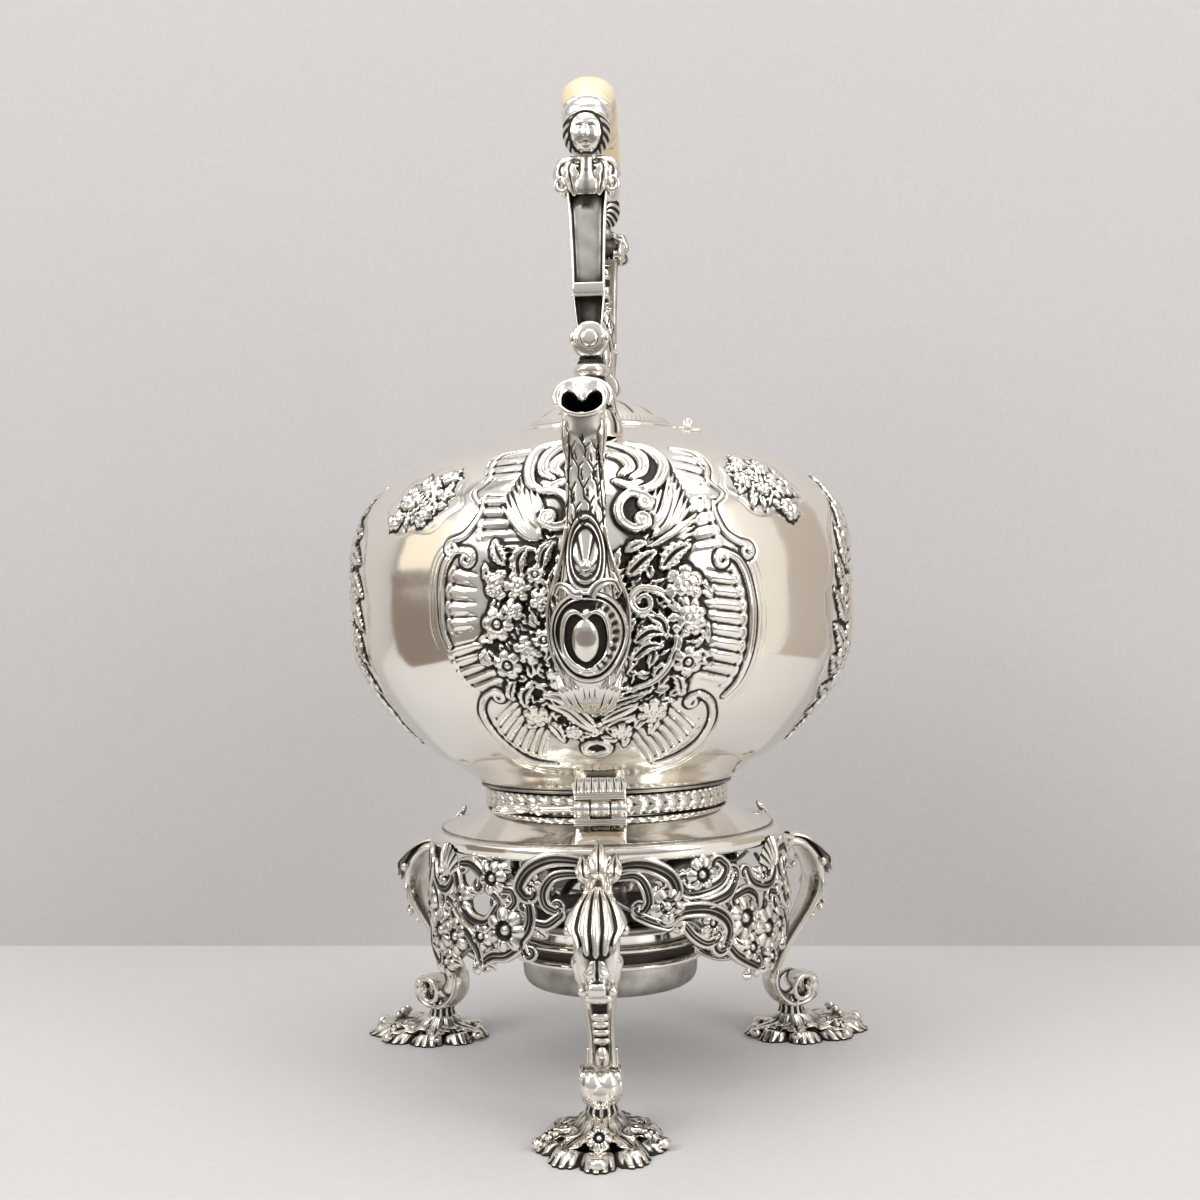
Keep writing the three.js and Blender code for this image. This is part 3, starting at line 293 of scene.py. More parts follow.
studio = {
    "wallGap": 216 * mm,          # from the upright axis to the wall
    "wallTurnDegrees": -3.0,       # the wall isn't quite square to the camera
    "wallColour": (0.50, 0.483, 0.478),
    "floorColour": (0.56, 0.55, 0.55),
    "tableEdge": -0.33,
    # cards beside the camera's view, which the silver mirrors: near foot, far foot, heights, colour, glow
    "cards": {
        "cardFront": ((-1.2, -1.7), (1.2, -1.7), (0.002, 0.002), (0.16, 0.145, 0.135), 0.0),
        "cardLeft": ((-0.37, -0.20), (-0.37, 0.02), (0.0, 0.208), (0.26, 0.215, 0.185), 0.0),
        "cardLeftHigh": ((-0.37, -0.18), (-0.37, -0.01), (0.215, 0.40), (0.88, 0.80, 0.66), 0.2),
        "cardRight": ((0.41, 0.28), (0.41, -0.045), (0.0, 0.50), (0.50, 0.45, 0.40), 0.05),
        "cardRightPale": ((0.41, -0.05), (0.41, -0.24), (0.0, 0.50), (0.80, 0.76, 0.70), 0.05),
    },
}


# A pale surface that can only be seen from its front, so that it never hides the object in another view.
def stageMaterial(name, colour, roughness, grain, glow=0.0):
    material, nodes, links, shader, output = newMaterial(name)
    place = nodes.new("ShaderNodeTexCoord")
    noise = nodes.new("ShaderNodeTexNoise")
    noise.inputs["Scale"].default_value = grain
    noise.inputs["Detail"].default_value = 4
    ramp = nodes.new("ShaderNodeValToRGB")
    ramp.color_ramp.elements[0].position = 0.3
    ramp.color_ramp.elements[1].position = 0.7
    ramp.color_ramp.elements[0].color = tuple(c * 0.97 for c in colour) + (1,)
    ramp.color_ramp.elements[1].color = tuple(c * 1.02 for c in colour) + (1,)
    bump = nodes.new("ShaderNodeBump")
    bump.inputs["Strength"].default_value = 0.12
    bump.inputs["Distance"].default_value = 0.001
    links.new(place.outputs["Object"], noise.inputs["Vector"])
    links.new(noise.outputs["Fac"], ramp.inputs["Fac"])
    links.new(ramp.outputs["Color"], shader.inputs["Base Color"])
    links.new(noise.outputs["Fac"], bump.inputs["Height"])
    links.new(bump.outputs["Normal"], shader.inputs["Normal"])
    shader.inputs["Roughness"].default_value = roughness
    links.new(ramp.outputs["Color"], shader.inputs["Emission Color"])
    shader.inputs["Emission Strength"].default_value = glow
    geometry = nodes.new("ShaderNodeNewGeometry")
    clear = nodes.new("ShaderNodeBsdfTransparent")
    mix = nodes.new("ShaderNodeMixShader")
    links.new(geometry.outputs["Backfacing"], mix.inputs["Fac"])
    links.new(shader.outputs["BSDF"], mix.inputs[1])
    links.new(clear.outputs["BSDF"], mix.inputs[2])
    links.new(mix.outputs["Shader"], output.inputs["Surface"])
    return material


# The floor lies at height 0, the wall crosses it behind the stand at a small turn, and each card is a
# four-sided sheet that only reflections see.
def addStage():
    wide = 4.0
    floor = bpy.data.meshes.new("floor")
    floor.from_pydata(
        [(-wide, -wide, 0), (wide, -wide, 0), (wide, wide, 0), (-wide, wide, 0)], [], [(0, 1, 2, 3)]
    )
    wall = bpy.data.meshes.new("wall")
    turn = math.radians(studio["wallTurnDegrees"])
    along = np.array([math.cos(turn), math.sin(turn)])
    foot = np.array([0, axisY + studio["wallGap"]])
    left, right = foot - along * wide, foot + along * wide
    corners = [(*left, 0), (*right, 0), (*right, wide), (*left, wide)]
    wall.from_pydata(corners, [], [(0, 1, 2, 3)])
    floor.materials.append(stageMaterial("floorPaint", studio["floorColour"], 0.45, 300))
    wall.materials.append(stageMaterial("wallPaint", studio["wallColour"], 0.8, 400))
    things = [bpy.data.objects.new(mesh.name, mesh) for mesh in (floor, wall)]
    for name, (near, far, (low, high), colour, glow) in studio["cards"].items():
        mesh = bpy.data.meshes.new(name)
        corners = [(*near, low), (*far, low), (*far, high), (*near, high)]
        if low == high:
            corners[2:] = [(far[0], studio["tableEdge"], high), (near[0], studio["tableEdge"], high)]
        mesh.from_pydata(corners, [], [(0, 1, 2, 3)])
        mesh.materials.append(stageMaterial(name + "Paint", colour, 0.9, 60, glow))
        card = bpy.data.objects.new(name, mesh)
        card.visible_camera = False
        card.visible_shadow = False
        card.visible_diffuse = False
        things.append(card)
    for thing in things:
        bpy.context.scene.collection.objects.link(thing)


lamps = [
    # name, place, width, height, watts, colour
    ("keyLeft", (-1.15, -0.95, 1.15), 0.9, 0.9, 15.0, (1.0, 0.985, 0.96)),
    ("fillRight", (1.05, -0.85, 0.75), 0.5, 1.1, 9.0, (1.0, 0.99, 0.975)),
    ("overhead", (0.1, -0.2, 1.6), 1.4, 1.0, 12.0, (1.0, 1.0, 1.0)),
]


# Each lamp is a rectangle that faces a point on the upright axis.
def addLamps():
    aim = Vector((0, axisY, 0.18))
    for name, place, width, height, watts, colour in lamps:
        data = bpy.data.lights.new(name, "AREA")
        data.shape = "RECTANGLE"
        data.size = width
        data.size_y = height
        data.energy = watts
        data.color = colour
        lamp = bpy.data.objects.new(name, data)
        bpy.context.scene.collection.objects.link(lamp)
        lamp.location = place
        lamp.rotation_euler = (aim - Vector(place)).to_track_quat("-Z", "Y").to_euler()
        lamp.visible_camera = False


# The room that the silver mirrors: pale all round, darker low down and lighter overhead.
def addWorld():
    world = bpy.data.worlds.new("room")
    bpy.context.scene.world = world
    world.use_nodes = True
    nodes, links = world.node_tree.nodes, world.node_tree.links
    background = nodes["Background"]
    place = nodes.new("ShaderNodeTexCoord")
    parts = nodes.new("ShaderNodeSeparateXYZ")
    links.new(place.outputs["Generated"], parts.inputs["Vector"])
    height = nodes.new("ShaderNodeValToRGB")
    links.new(parts.outputs["Z"], height.inputs["Fac"])
    stops = [(0.0, 0.50), (0.10, 0.56), (0.30, 0.66), (0.55, 0.78), (1.0, 0.86)]
    ramp = height.color_ramp
    while len(ramp.elements) < len(stops):
        ramp.elements.new(0.5)
    for element, (position, level) in zip(ramp.elements, stops):
        element.position = position
        element.color = (level, level * 0.985, level * 0.965, 1)
    links.new(height.outputs["Color"], background.inputs["Color"])
    background.inputs["Strength"].default_value = 0.9
    bpy.context.scene.view_settings.view_transform = "Standard"


addCamera()
addStage()
addLamps()
addWorld()
print("camera, floor, wall and lamps are in place")


# Finishes

# Silver darkened by the dark value, which holds oxide in the recesses and painted shade elsewhere: a noise
# breaks the edge of the dark value, and fine scratches and soft hammer marks give the height for a bump.
# Colour and roughness follow the same mask.
def silverGroup():
    group = bpy.data.node_groups.new("silverOxideAndShade", "ShaderNodeTree")
    face = group.interface
    for name, kind, low in (
        ("Dark", "NodeSocketFloat", 0.0),
        ("Amount", "NodeSocketFloat", 1.0),
        ("Bright", "NodeSocketColor", None),
        ("OxideAndShade", "NodeSocketColor", None),
        ("Polish", "NodeSocketFloat", 0.14),
    ):
        socket = face.new_socket(name=name, in_out="INPUT", socket_type=kind)
        if low is not None:
            socket.default_value = low
    for name, kind in (
        ("Color", "NodeSocketColor"), ("Roughness", "NodeSocketFloat"), ("Height", "NodeSocketFloat")
    ):
        face.new_socket(name=name, in_out="OUTPUT", socket_type=kind)
    nodes, links = group.nodes, group.links
    start = nodes.new("NodeGroupInput")
    end = nodes.new("NodeGroupOutput")
    place = nodes.new("ShaderNodeTexCoord")

    def noise(scale, detail, stretch=None):
        made = nodes.new("ShaderNodeTexNoise")
        made.inputs["Scale"].default_value = scale
        made.inputs["Detail"].default_value = detail
        if stretch:
            turned = nodes.new("ShaderNodeMapping")
            turned.inputs["Scale"].default_value = stretch
            links.new(place.outputs["Object"], turned.inputs["Vector"])
            links.new(turned.outputs["Vector"], made.inputs["Vector"])
        else:
            links.new(place.outputs["Object"], made.inputs["Vector"])
        return made.outputs["Fac"]

    def sums(kind, a, b, clamp=False):
        node = nodes.new("ShaderNodeMath")
        node.operation = kind
        node.use_clamp = clamp
        for socket, value in zip(node.inputs, (a, b)):
            if isinstance(value, (int, float)):
                socket.default_value = value
            else:
                links.new(value, socket)
        return node.outputs[0]

    blotch = noise(90, 5)
    patina = noise(26, 3)
    edge = sums("ADD", start.outputs["Dark"], sums("MULTIPLY", sums("SUBTRACT", blotch, 0.5), 0.35))
    oxideShadeMask = sums("MULTIPLY", edge, start.outputs["Amount"], clamp=True)
    mask = nodes.new("ShaderNodeMapRange")
    mask.interpolation_type = "SMOOTHSTEP"
    mask.inputs["From Min"].default_value = 0.12
    mask.inputs["From Max"].default_value = 0.72
    links.new(oxideShadeMask, mask.inputs["Value"])
    colour = nodes.new("ShaderNodeMix")
    colour.data_type = "RGBA"
    links.new(mask.outputs["Result"], colour.inputs["Factor"])
    links.new(start.outputs["Bright"], colour.inputs[6])
    links.new(start.outputs["OxideAndShade"], colour.inputs[7])
    tint = nodes.new("ShaderNodeMix")
    tint.data_type = "RGBA"
    tint.blend_type = "MULTIPLY"
    tintRamp = nodes.new("ShaderNodeValToRGB")
    tintRamp.color_ramp.elements[0].position = 0.35
    tintRamp.color_ramp.elements[0].color = (1.0, 0.985, 0.95, 1)
    tintRamp.color_ramp.elements[1].position = 0.65
    tintRamp.color_ramp.elements[1].color = (1, 1, 1, 1)
    links.new(patina, tintRamp.inputs["Fac"])
    tint.inputs["Factor"].default_value = 1.0
    links.new(colour.outputs[2], tint.inputs[6])
    links.new(tintRamp.outputs["Color"], tint.inputs[7])
    links.new(tint.outputs[2], end.inputs["Color"])
    dull = sums("MULTIPLY", mask.outputs["Result"], 0.38)
    smear = sums("MULTIPLY", sums("SUBTRACT", patina, 0.5), 0.10)
    rough = sums("ADD", sums("ADD", start.outputs["Polish"], smear), dull, clamp=True)
    links.new(rough, end.inputs["Roughness"])
    scratches = noise(700, 2, (1.0, 1.0, 0.18))
    hammer = noise(160, 1)
    height = sums("ADD", sums("MULTIPLY", scratches, 0.25), sums("MULTIPLY", hammer, 0.75))
    links.new(height, end.inputs["Height"])
    return group


oxideShadeGroup = silverGroup()
# The amounts and the cast look's lower bright colour are partly painted shade: they darken the silver as the
# darker parts of the room it mirrors would.
silverLooks = {
    "chasedSilver": {
        "amount": 1.12, "polish": 0.13, "bump": 0.10, "bright": (0.93, 0.905, 0.86),
        "oxideAndShadeColour": (0.05, 0.045, 0.04)
    },
    "plainSilver": {
        "amount": 1.0, "polish": 0.10, "bump": 0.05, "bright": (0.94, 0.915, 0.87),
        "oxideAndShadeColour": (0.06, 0.05, 0.045)
    },
    "castSilver": {
        "amount": 1.35, "polish": 0.17, "bump": 0.25, "bright": (0.83, 0.80, 0.755),
        "oxideAndShadeColour": (0.04, 0.036, 0.034)
    },
}


# The shared group of oxide and painted shade gets the piece's dark attribute and the look's amounts, and
# its height makes the bump.
def silverMaterial(name):
    look = silverLooks[name]
    material, nodes, links, shader, _ = newMaterial(name)
    group = nodes.new("ShaderNodeGroup")
    group.node_tree = oxideShadeGroup
    dark = nodes.new("ShaderNodeAttribute")
    dark.attribute_name = "dark"
    links.new(dark.outputs["Fac"], group.inputs["Dark"])
    group.inputs["Amount"].default_value = look["amount"]
    group.inputs["Polish"].default_value = look["polish"]
    group.inputs["Bright"].default_value = look["bright"] + (1,)
    group.inputs["OxideAndShade"].default_value = look["oxideAndShadeColour"] + (1,)
    bump = nodes.new("ShaderNodeBump")
    bump.inputs["Strength"].default_value = look["bump"]
    bump.inputs["Distance"].default_value = 0.0004
    links.new(group.outputs["Height"], bump.inputs["Height"])
    links.new(bump.outputs["Normal"], shader.inputs["Normal"])
    links.new(group.outputs["Color"], shader.inputs["Base Color"])
    links.new(group.outputs["Roughness"], shader.inputs["Roughness"])
    shader.inputs["Metallic"].default_value = 1.0
    return material


chased = silverMaterial("chasedSilver")
plain = silverMaterial("plainSilver")
cast = silverMaterial("castSilver")
print("finishes are mixed")


# Kettle body: chased ornament as a height map

# The body's profile from foot to mouth, and the length along it from its foot.
bodyShape = {
    "profile": (
        (50, 114.1), (57, 118.5), (69.5, 126), (85, 142), (93, 153), (98, 163), (100, 175.7), (100, 188.7),
        (99.4, 202), (95.5, 216.5), (90, 225), (80, 234.4), (71, 239.5), (57, 244.8), (40, 249.8),
        (31.2, 251),
    ),
    # the plain sheet lies this far inside the solid, so that ornament stays within it
    "inset": 1.0,
    "cell": 0.44,
    "seamDegrees": -135,
}
rawProfile = np.array(bodyShape["profile"], float)
bodyLength = np.linalg.norm(np.diff(smoothPath(rawProfile, 600), axis=0), axis=1).sum()
bodyRows = int(round(bodyLength / bodyShape["cell"])) + 1
bodyProfile = smoothPath(rawProfile, bodyRows)
rowStep = bodyLength / (bodyRows - 1)
bodyCols = int(round(100 * fullTurn / bodyShape["cell"]))
colStep = 100 * fullTurn / bodyCols
colStart = math.radians(bodyShape["seamDegrees"]) * 100
rowScale = bodyProfile[:, 0] / 100
relief = np.zeros((bodyRows, bodyCols), np.float32)
stain = np.zeros((bodyRows, bodyCols), np.float32)


# From places on the body, as millimetres round it at radius 100 from the front and as heights, to the map's
# own millimetres: round it, and along the profile.
def onMap(places):
    places = np.asarray(places, float).reshape(-1, 2)
    along = np.interp(places[:, 1], bodyProfile[:, 1], np.arange(bodyRows) * rowStep)
    return np.stack([places[:, 0], along], axis=1)


# The cells within reach of a path: their rows and columns, and for each cell its signed distance to the
# left of the path, its share along it, and how far it lies beyond either end.
def nearPath(path, reach):
    path = evenSteps(path, max(int(np.linalg.norm(np.diff(path, axis=0), axis=1).sum() / 0.7), 6))
    low, high = path.min(0) - reach, path.max(0) + reach
    scaleHere = np.interp(path[:, 1].mean() / rowStep, np.arange(bodyRows), rowScale)
    low[0], high[0] = path[:, 0].min() - reach / scaleHere, path[:, 0].max() + reach / scaleHere
    rows = np.arange(max(int(low[1] / rowStep), 0), min(int(high[1] / rowStep) + 2, bodyRows))
    cols = np.arange(int((low[0] - colStart) / colStep), int((high[0] - colStart) / colStep) + 2)
    x = (colStart + cols * colStep).astype(np.float32)
    s = (rows * rowStep).astype(np.float32)
    way = unit(np.gradient(path, axis=0) * np.array([scaleHere, 1])).astype(np.float32)
    dx = (
        (x[None, :, None] - path[None, None, :, 0].astype(np.float32))
        * rowScale[rows][:, None, None].astype(np.float32)
    )
    ds = s[:, None, None] - path[None, None, :, 1].astype(np.float32)
    nearest = (dx**2 + ds**2).argmin(axis=2)
    pick = nearest[..., None]
    dx = np.take_along_axis(np.broadcast_to(dx, dx.shape), pick, 2)[..., 0]
    ds = np.take_along_axis(np.broadcast_to(ds, (len(rows), len(cols), len(path))), pick, 2)[..., 0]
    ahead = dx * way[nearest, 0] + ds * way[nearest, 1]
    side = ds * way[nearest, 0] - dx * way[nearest, 1]
    last = len(path) - 1
    beyond = (
        np.where(nearest == 0, np.maximum(-ahead, 0), 0)
        + np.where(nearest == last, np.maximum(ahead, 0), 0)
    )
    inside = np.where(beyond > 0, 0, ahead)
    length = np.linalg.norm(np.diff(path * np.array([scaleHere, 1]), axis=0), axis=1).sum()
    share = np.clip(nearest / last + inside / max(length, 1e-6), 0, 1)
    return rows, cols % bodyCols, side, share, beyond


# Lays a shape over the map: cover is 1 inside it, height stands over the base, and a fine chased line
# sinks into the ground just outside its edge.
def layOver(rows, cols, cover, height, edge, base=0.0, line=0.35):
    spot = np.ix_(rows, cols)
    ground = relief[spot]
    sunk = ground - line * hump(edge, 0.3, 0.4) * (edge > -0.3) * (1 - cover)
    relief[spot] = sunk * (1 - cover) + (base + height) * cover


# A tapered stroke along a path. The kind gives its section: a rounded scroll with a channel, a leaf with a
# midrib, slanting veins and a lobed edge, a round-topped flute, or a plain rib.
def stroke(path, halfWidth, height, kind, veins=6, startCurl=0.0, endCurl=0.0, base=0.0, line=0.35):
    path = smoothPath(path, 60) if len(path) > 2 else evenSteps(np.asarray(path, float), 30)
    if endCurl:
        path = np.vstack([path, curlFrom(path[-2], path[-1], endCurl)[1:]])
    if startCurl:
        path = np.vstack([curlFrom(path[1], path[0], -startCurl)[1:][::-1], path])
    rows, cols, side, share, beyond = nearPath(path, halfWidth * 1.3 + 1.5)
    if kind == "scroll":
        taper = 0.45 + 0.55 * np.sin(math.pi * np.clip(share, 0.03, 0.97)) ** 0.6
        width = halfWidth * taper
        far = np.hypot(side, beyond) / width
        rim = np.sqrt(np.maximum(1 - far**2, 0)) ** 0.7
        top = height * (rim - 0.5 * hump(side / width, 0.1, 0.38))
    elif kind == "leaf":
        swell = np.sin(math.pi * np.clip(0.04 + 0.96 * share, 0, 1) ** 0.7) ** 0.8
        width = halfWidth * np.maximum(swell * (1 + 0.13 * np.sin(fullTurn * veins * share)), 0.06)
        far = np.hypot(side, beyond) / width
        across = np.clip(far, 0, 1)
        vein = 0.5 + 0.5 * np.cos(fullTurn * (veins * share - 0.7 * across))
        top = height * (0.45 + 0.55 * np.sin(math.pi * np.clip(across, 0, 1)) + 0.28 * (vein - 0.5) * across)
        top = top - height * 0.35 * np.exp(-(side / 0.45) ** 2)
    elif kind == "flute":
        width = halfWidth * (0.55 + 0.45 * share)
        far = np.hypot(side, beyond * 0.8) / width
        top = height * np.sqrt(np.maximum(1 - far**2, 0)) * smoothStep(-0.1, 0.5, share)
    else:
        width = halfWidth * np.maximum(np.sin(math.pi * np.clip(share, 0.02, 0.98)) ** 0.5, 0.2)
        far = np.hypot(side, beyond) / width
        top = height * np.sqrt(np.maximum(1 - far**2, 0))
    edge = (far - 1) * width
    cover = 1 - smoothStep(-0.35, 0.1, edge)
    layOver(rows, cols, cover, top, edge, base, line)


# The spiral that ends a scroll. It starts where the path ends, turns to its left when the radius is
# positive, and winds in by one turn and a third.
def curlFrom(before, end, radius):
    way = unit(np.asarray(end) - np.asarray(before))
    left = np.array([-way[1], way[0]])
    centre = np.asarray(end) + left * radius
    first = math.degrees(math.atan2(*(np.asarray(end) - centre)[::-1]))
    return spiralPoints(centre, abs(radius), abs(radius) * 0.3, first, math.copysign(460, radius), 40)


# A flower seen from above: the petals swell round a sunk ring, with a small dome in the middle.
def blossom(centre, radius, petals, height, turn=0.0, base=0.0, cup=0.6):
    rows, cols, *_ = nearPath(onMap([centre]) + np.array([[-0.01, 0], [0.01, 0]]), radius * 1.5)
    middle = onMap([centre])[0]
    x = (colStart + cols * colStep - middle[0])
    x = (x + 50 * fullTurn) % (100 * fullTurn) - 50 * fullTurn
    x = x[None, :] * rowScale[rows][:, None]
    s = rows[:, None] * rowStep - middle[1] + 0 * x
    far = np.hypot(x, s)
    angle = np.arctan2(s, x) + turn
    lobe = np.abs(np.cos(petals * angle / 2))
    rim = radius * (0.78 + 0.22 * lobe**0.7)
    u = far / rim
    swell = np.sin(math.pi * np.clip(0.18 + 0.74 * u, 0, 1)) ** 0.8
    petal = (1 - cup) + cup * swell
    crease = 0.35 * np.exp(-(lobe / 0.28) ** 2) * smoothStep(0.3, 0.7, u)
    streak = 0.08 * np.cos(petals * 4 * angle) * smoothStep(0.3, 0.6, u)
    top = height * (petal - crease + streak)
    top = top - height * 0.55 * hump(far / radius, 0.3, 0.09)
    dome = far < radius * 0.24
    top = np.where(
        dome, height * (0.45 + 0.5 * np.sqrt(np.maximum(1 - (far / (radius * 0.24)) ** 2, 0))), top
    )
    edge = far - rim
    cover = 1 - smoothStep(-0.35, 0.1, edge)
    layOver(rows, cols, cover, top, edge, base, 0.5)


# A short chased line between two places of the map.
def groove(start, end, depth=0.3):
    path = evenSteps(np.array([start, end]), 16)
    rows, cols, side, _, beyond = nearPath(path, 1.2)
    relief[np.ix_(rows, cols)] -= depth * np.exp(-((side**2 + beyond**2) / 0.15))


# Strands that run side by side from one root and spread to a row of tips.
def plume(root, middles, tips, count, width, height, base):
    for share in np.linspace(0, 1, count):
        middle = np.array(middles[0]) * (1 - share) + np.array(middles[1]) * share
        tip = np.array(tips[0]) * (1 - share) + np.array(tips[1]) * share
        swing = 0.85 + 0.3 * math.sin(7 * share)
        places = [root, middle * swing + np.array(root) * (1 - swing), tip]
        stroke(places, width, height, "rib", base=base, line=0.4)


# An engraved line along a path.
def engrave(path, depth=0.3, halfWidth=0.35):
    path = smoothPath(path, 60) if len(path) > 2 else evenSteps(np.asarray(path, float), 30)
    rows, cols, side, _, beyond = nearPath(path, 1.5)
    relief[np.ix_(rows, cols)] -= depth * np.exp(-((side**2 + beyond**2) / halfWidth**2))


# Soft patches of fine punch marks in the ground, which hold the oxide.
def matting(centre, halfWidth, halfHeight, depth, shade):
    middle = onMap([centre])[0]
    rows, cols, *_ = nearPath(middle + np.array([[-halfWidth, 0], [halfWidth, 0]]), halfHeight)
    x = (colStart + cols * colStep - middle[0] + 50 * fullTurn) % (100 * fullTurn) - 50 * fullTurn
    x = x[None, :] * rowScale[rows][:, None] / halfWidth
    s = (rows[:, None] * rowStep - middle[1]) / halfHeight
    inside = 1 - smoothStep(0.8, 1.0, np.hypot(x, s))
    marks = np.random.default_rng(7).normal(0, 0.05, inside.shape)
    spot = np.ix_(rows, cols)
    relief[spot] += inside * (marks - depth)
    stain[spot] = np.maximum(stain[spot], inside * shade)


# Ornament read off the front of the body. Each place is (millimetres round the body, height). A scroll adds
# its width, height, and the radius of the curl at its start and end, positive to the left of its run.
frontScrolls = [
    (
        [(-52.5, 168), (-54.5, 173.5), (-55, 182), (-55, 189.5), (-53, 196.5), (-49, 201), (-44, 201)], 3,
        1.3, 0, -2.9
    ),
    ([(-40, 218.5), (-40, 214), (-45, 207), (-51.5, 204.5)], 2.4, 0.9, 0, 2.6),
    ([(-29.5, 238), (-42, 236.5), (-43.5, 232.5), (-41, 226.5), (-45, 222), (-41.5, 217.5)], 1.8, 0.8, 0, 0),
    (
        [
            (52.5, 148.5), (56.5, 153.5), (58, 161), (59, 170), (59, 180.5), (57, 190), (53.5, 196),
            (48.5, 198.5)
        ],
        3, 1.3, 0, 2.9
    ),
    ([(47, 216.5), (46.5, 212.5), (49, 206), (54, 202.5), (58, 201.5)], 2.4, 0.9, 0, -2.6),
    (
        [(38.5, 237.5), (48.5, 235.5), (50.5, 230.5), (47.5, 224.5), (51.5, 219.5), (47.5, 216)], 1.8, 0.8,
        0, 0
    ),
    (
        [
            (-22.5, 124.5), (-35, 126), (-43, 131), (-47.5, 137.5), (-47.5, 144.5), (-43.5, 149.5),
            (-38.5, 152)
        ],
        2.6, 1.2, 0, -2.6
    ),
    (
        [(30.5, 124), (42, 127), (50, 132.5), (51.5, 139.5), (48, 146), (42, 149.5), (38.5, 149)], 2.6, 1.2,
        0, 2.6
    ),
    ([(-13.5, 239.5), (-23, 237), (-24.5, 231), (-22, 224), (-16.5, 220.5)], 4.2, 2, 0, 0),
    ([(-18, 220.5), (-10.5, 220), (-6, 215.5), (-7, 209.5), (-11, 208), (-14.5, 209)], 3.4, 1.8, 0, -2.4),
    ([(17.5, 238.5), (26.5, 235.5), (30.5, 230), (26.5, 223.5), (21, 220.5), (15, 220)], 4.2, 2, 0, 0),
    ([(20.5, 218), (15, 219), (11, 215), (11.5, 210), (15.5, 207), (19, 207.5)], 3.4, 1.8, 2.4, 2.4),
    (
        [(12.5, 152), (22.5, 155.5), (28.5, 163), (30.5, 172), (29, 179.5), (24.5, 185), (19, 186.5)], 3.2,
        2, 0, 4.6
    ),
    ([(-17.5, 151), (-12.5, 150), (-6, 145), (-0.5, 139.5)], 5.4, 1.7, 0, 0),
    ([(-16.5, 147), (-10.5, 145), (-5, 140.5), (1, 137.5)], 4.2, 1.4, 0, 0),
    ([(4, 141.5), (9.5, 144), (17, 146.8)], 4.6, 1.6, 0, 0),
    ([(5, 138.5), (11, 140.8), (18.5, 143.2)], 3.6, 1.3, 0, 0),
    (
        [(0.4 + 5.8 * math.sin(t), 131 + 2.3 * math.cos(t)) for t in np.linspace(0, fullTurn, 13)], 3.0,
        1.5, 0, 0
    ),
]

# Folds: an outer line, an inner line, and how many folds lie between them.
frontFlutes = [
    (
        [(-48.5, 195.5), (-51, 187), (-51.5, 179), (-50, 172.5)],
        [(-40, 193), (-40.5, 187), (-40.5, 178.5), (-39.5, 173.5)], 4
    ),
    (
        [(-52.5, 167.5), (-50.5, 162), (-49, 155.5), (-45, 151.5)],
        [(-38, 170.5), (-36, 166), (-33.5, 160), (-30.5, 155.5)], 5
    ),
    (
        [(-43, 141.5), (-42, 134.5), (-35.5, 130), (-27, 127.5)],
        [(-28.5, 150), (-26.5, 145.5), (-23.5, 141.5), (-19, 137.5)], 7
    ),
    (
        [(26.5, 125), (34.5, 128.5), (42, 133), (45.5, 140)],
        [(15, 135.5), (21, 139.5), (26.5, 144), (29, 150)], 7
    ),
    (
        [(51, 191.5), (54, 183), (54.5, 174.5), (54.5, 166), (53.5, 157.5), (50, 152)],
        [(41.5, 192.5), (39, 185), (38.5, 177), (40, 168.5), (38.5, 160.5), (35.5, 155)], 9
    ),
    (
        [(-39.5, 220.5), (-39, 215), (-38.5, 210), (-39, 204)],
        [(-29, 220), (-26.5, 214.5), (-23, 209), (-19.5, 204.5)], 4
    ),
    ([(-45.5, 234.5), (-42.5, 230), (-39, 226)], [(-28.5, 235.5), (-27, 231), (-24, 226)], 3),
    (
        [(42.5, 218), (43.5, 212.5), (45, 205), (45, 199)],
        [(33, 214), (31.5, 208.5), (31.5, 203.5), (33.5, 197.5)], 4
    ),
    ([(46.5, 234), (47.5, 229), (44.5, 222.5)], [(38, 236), (36.5, 231.5), (36.5, 225.5)], 3),
]

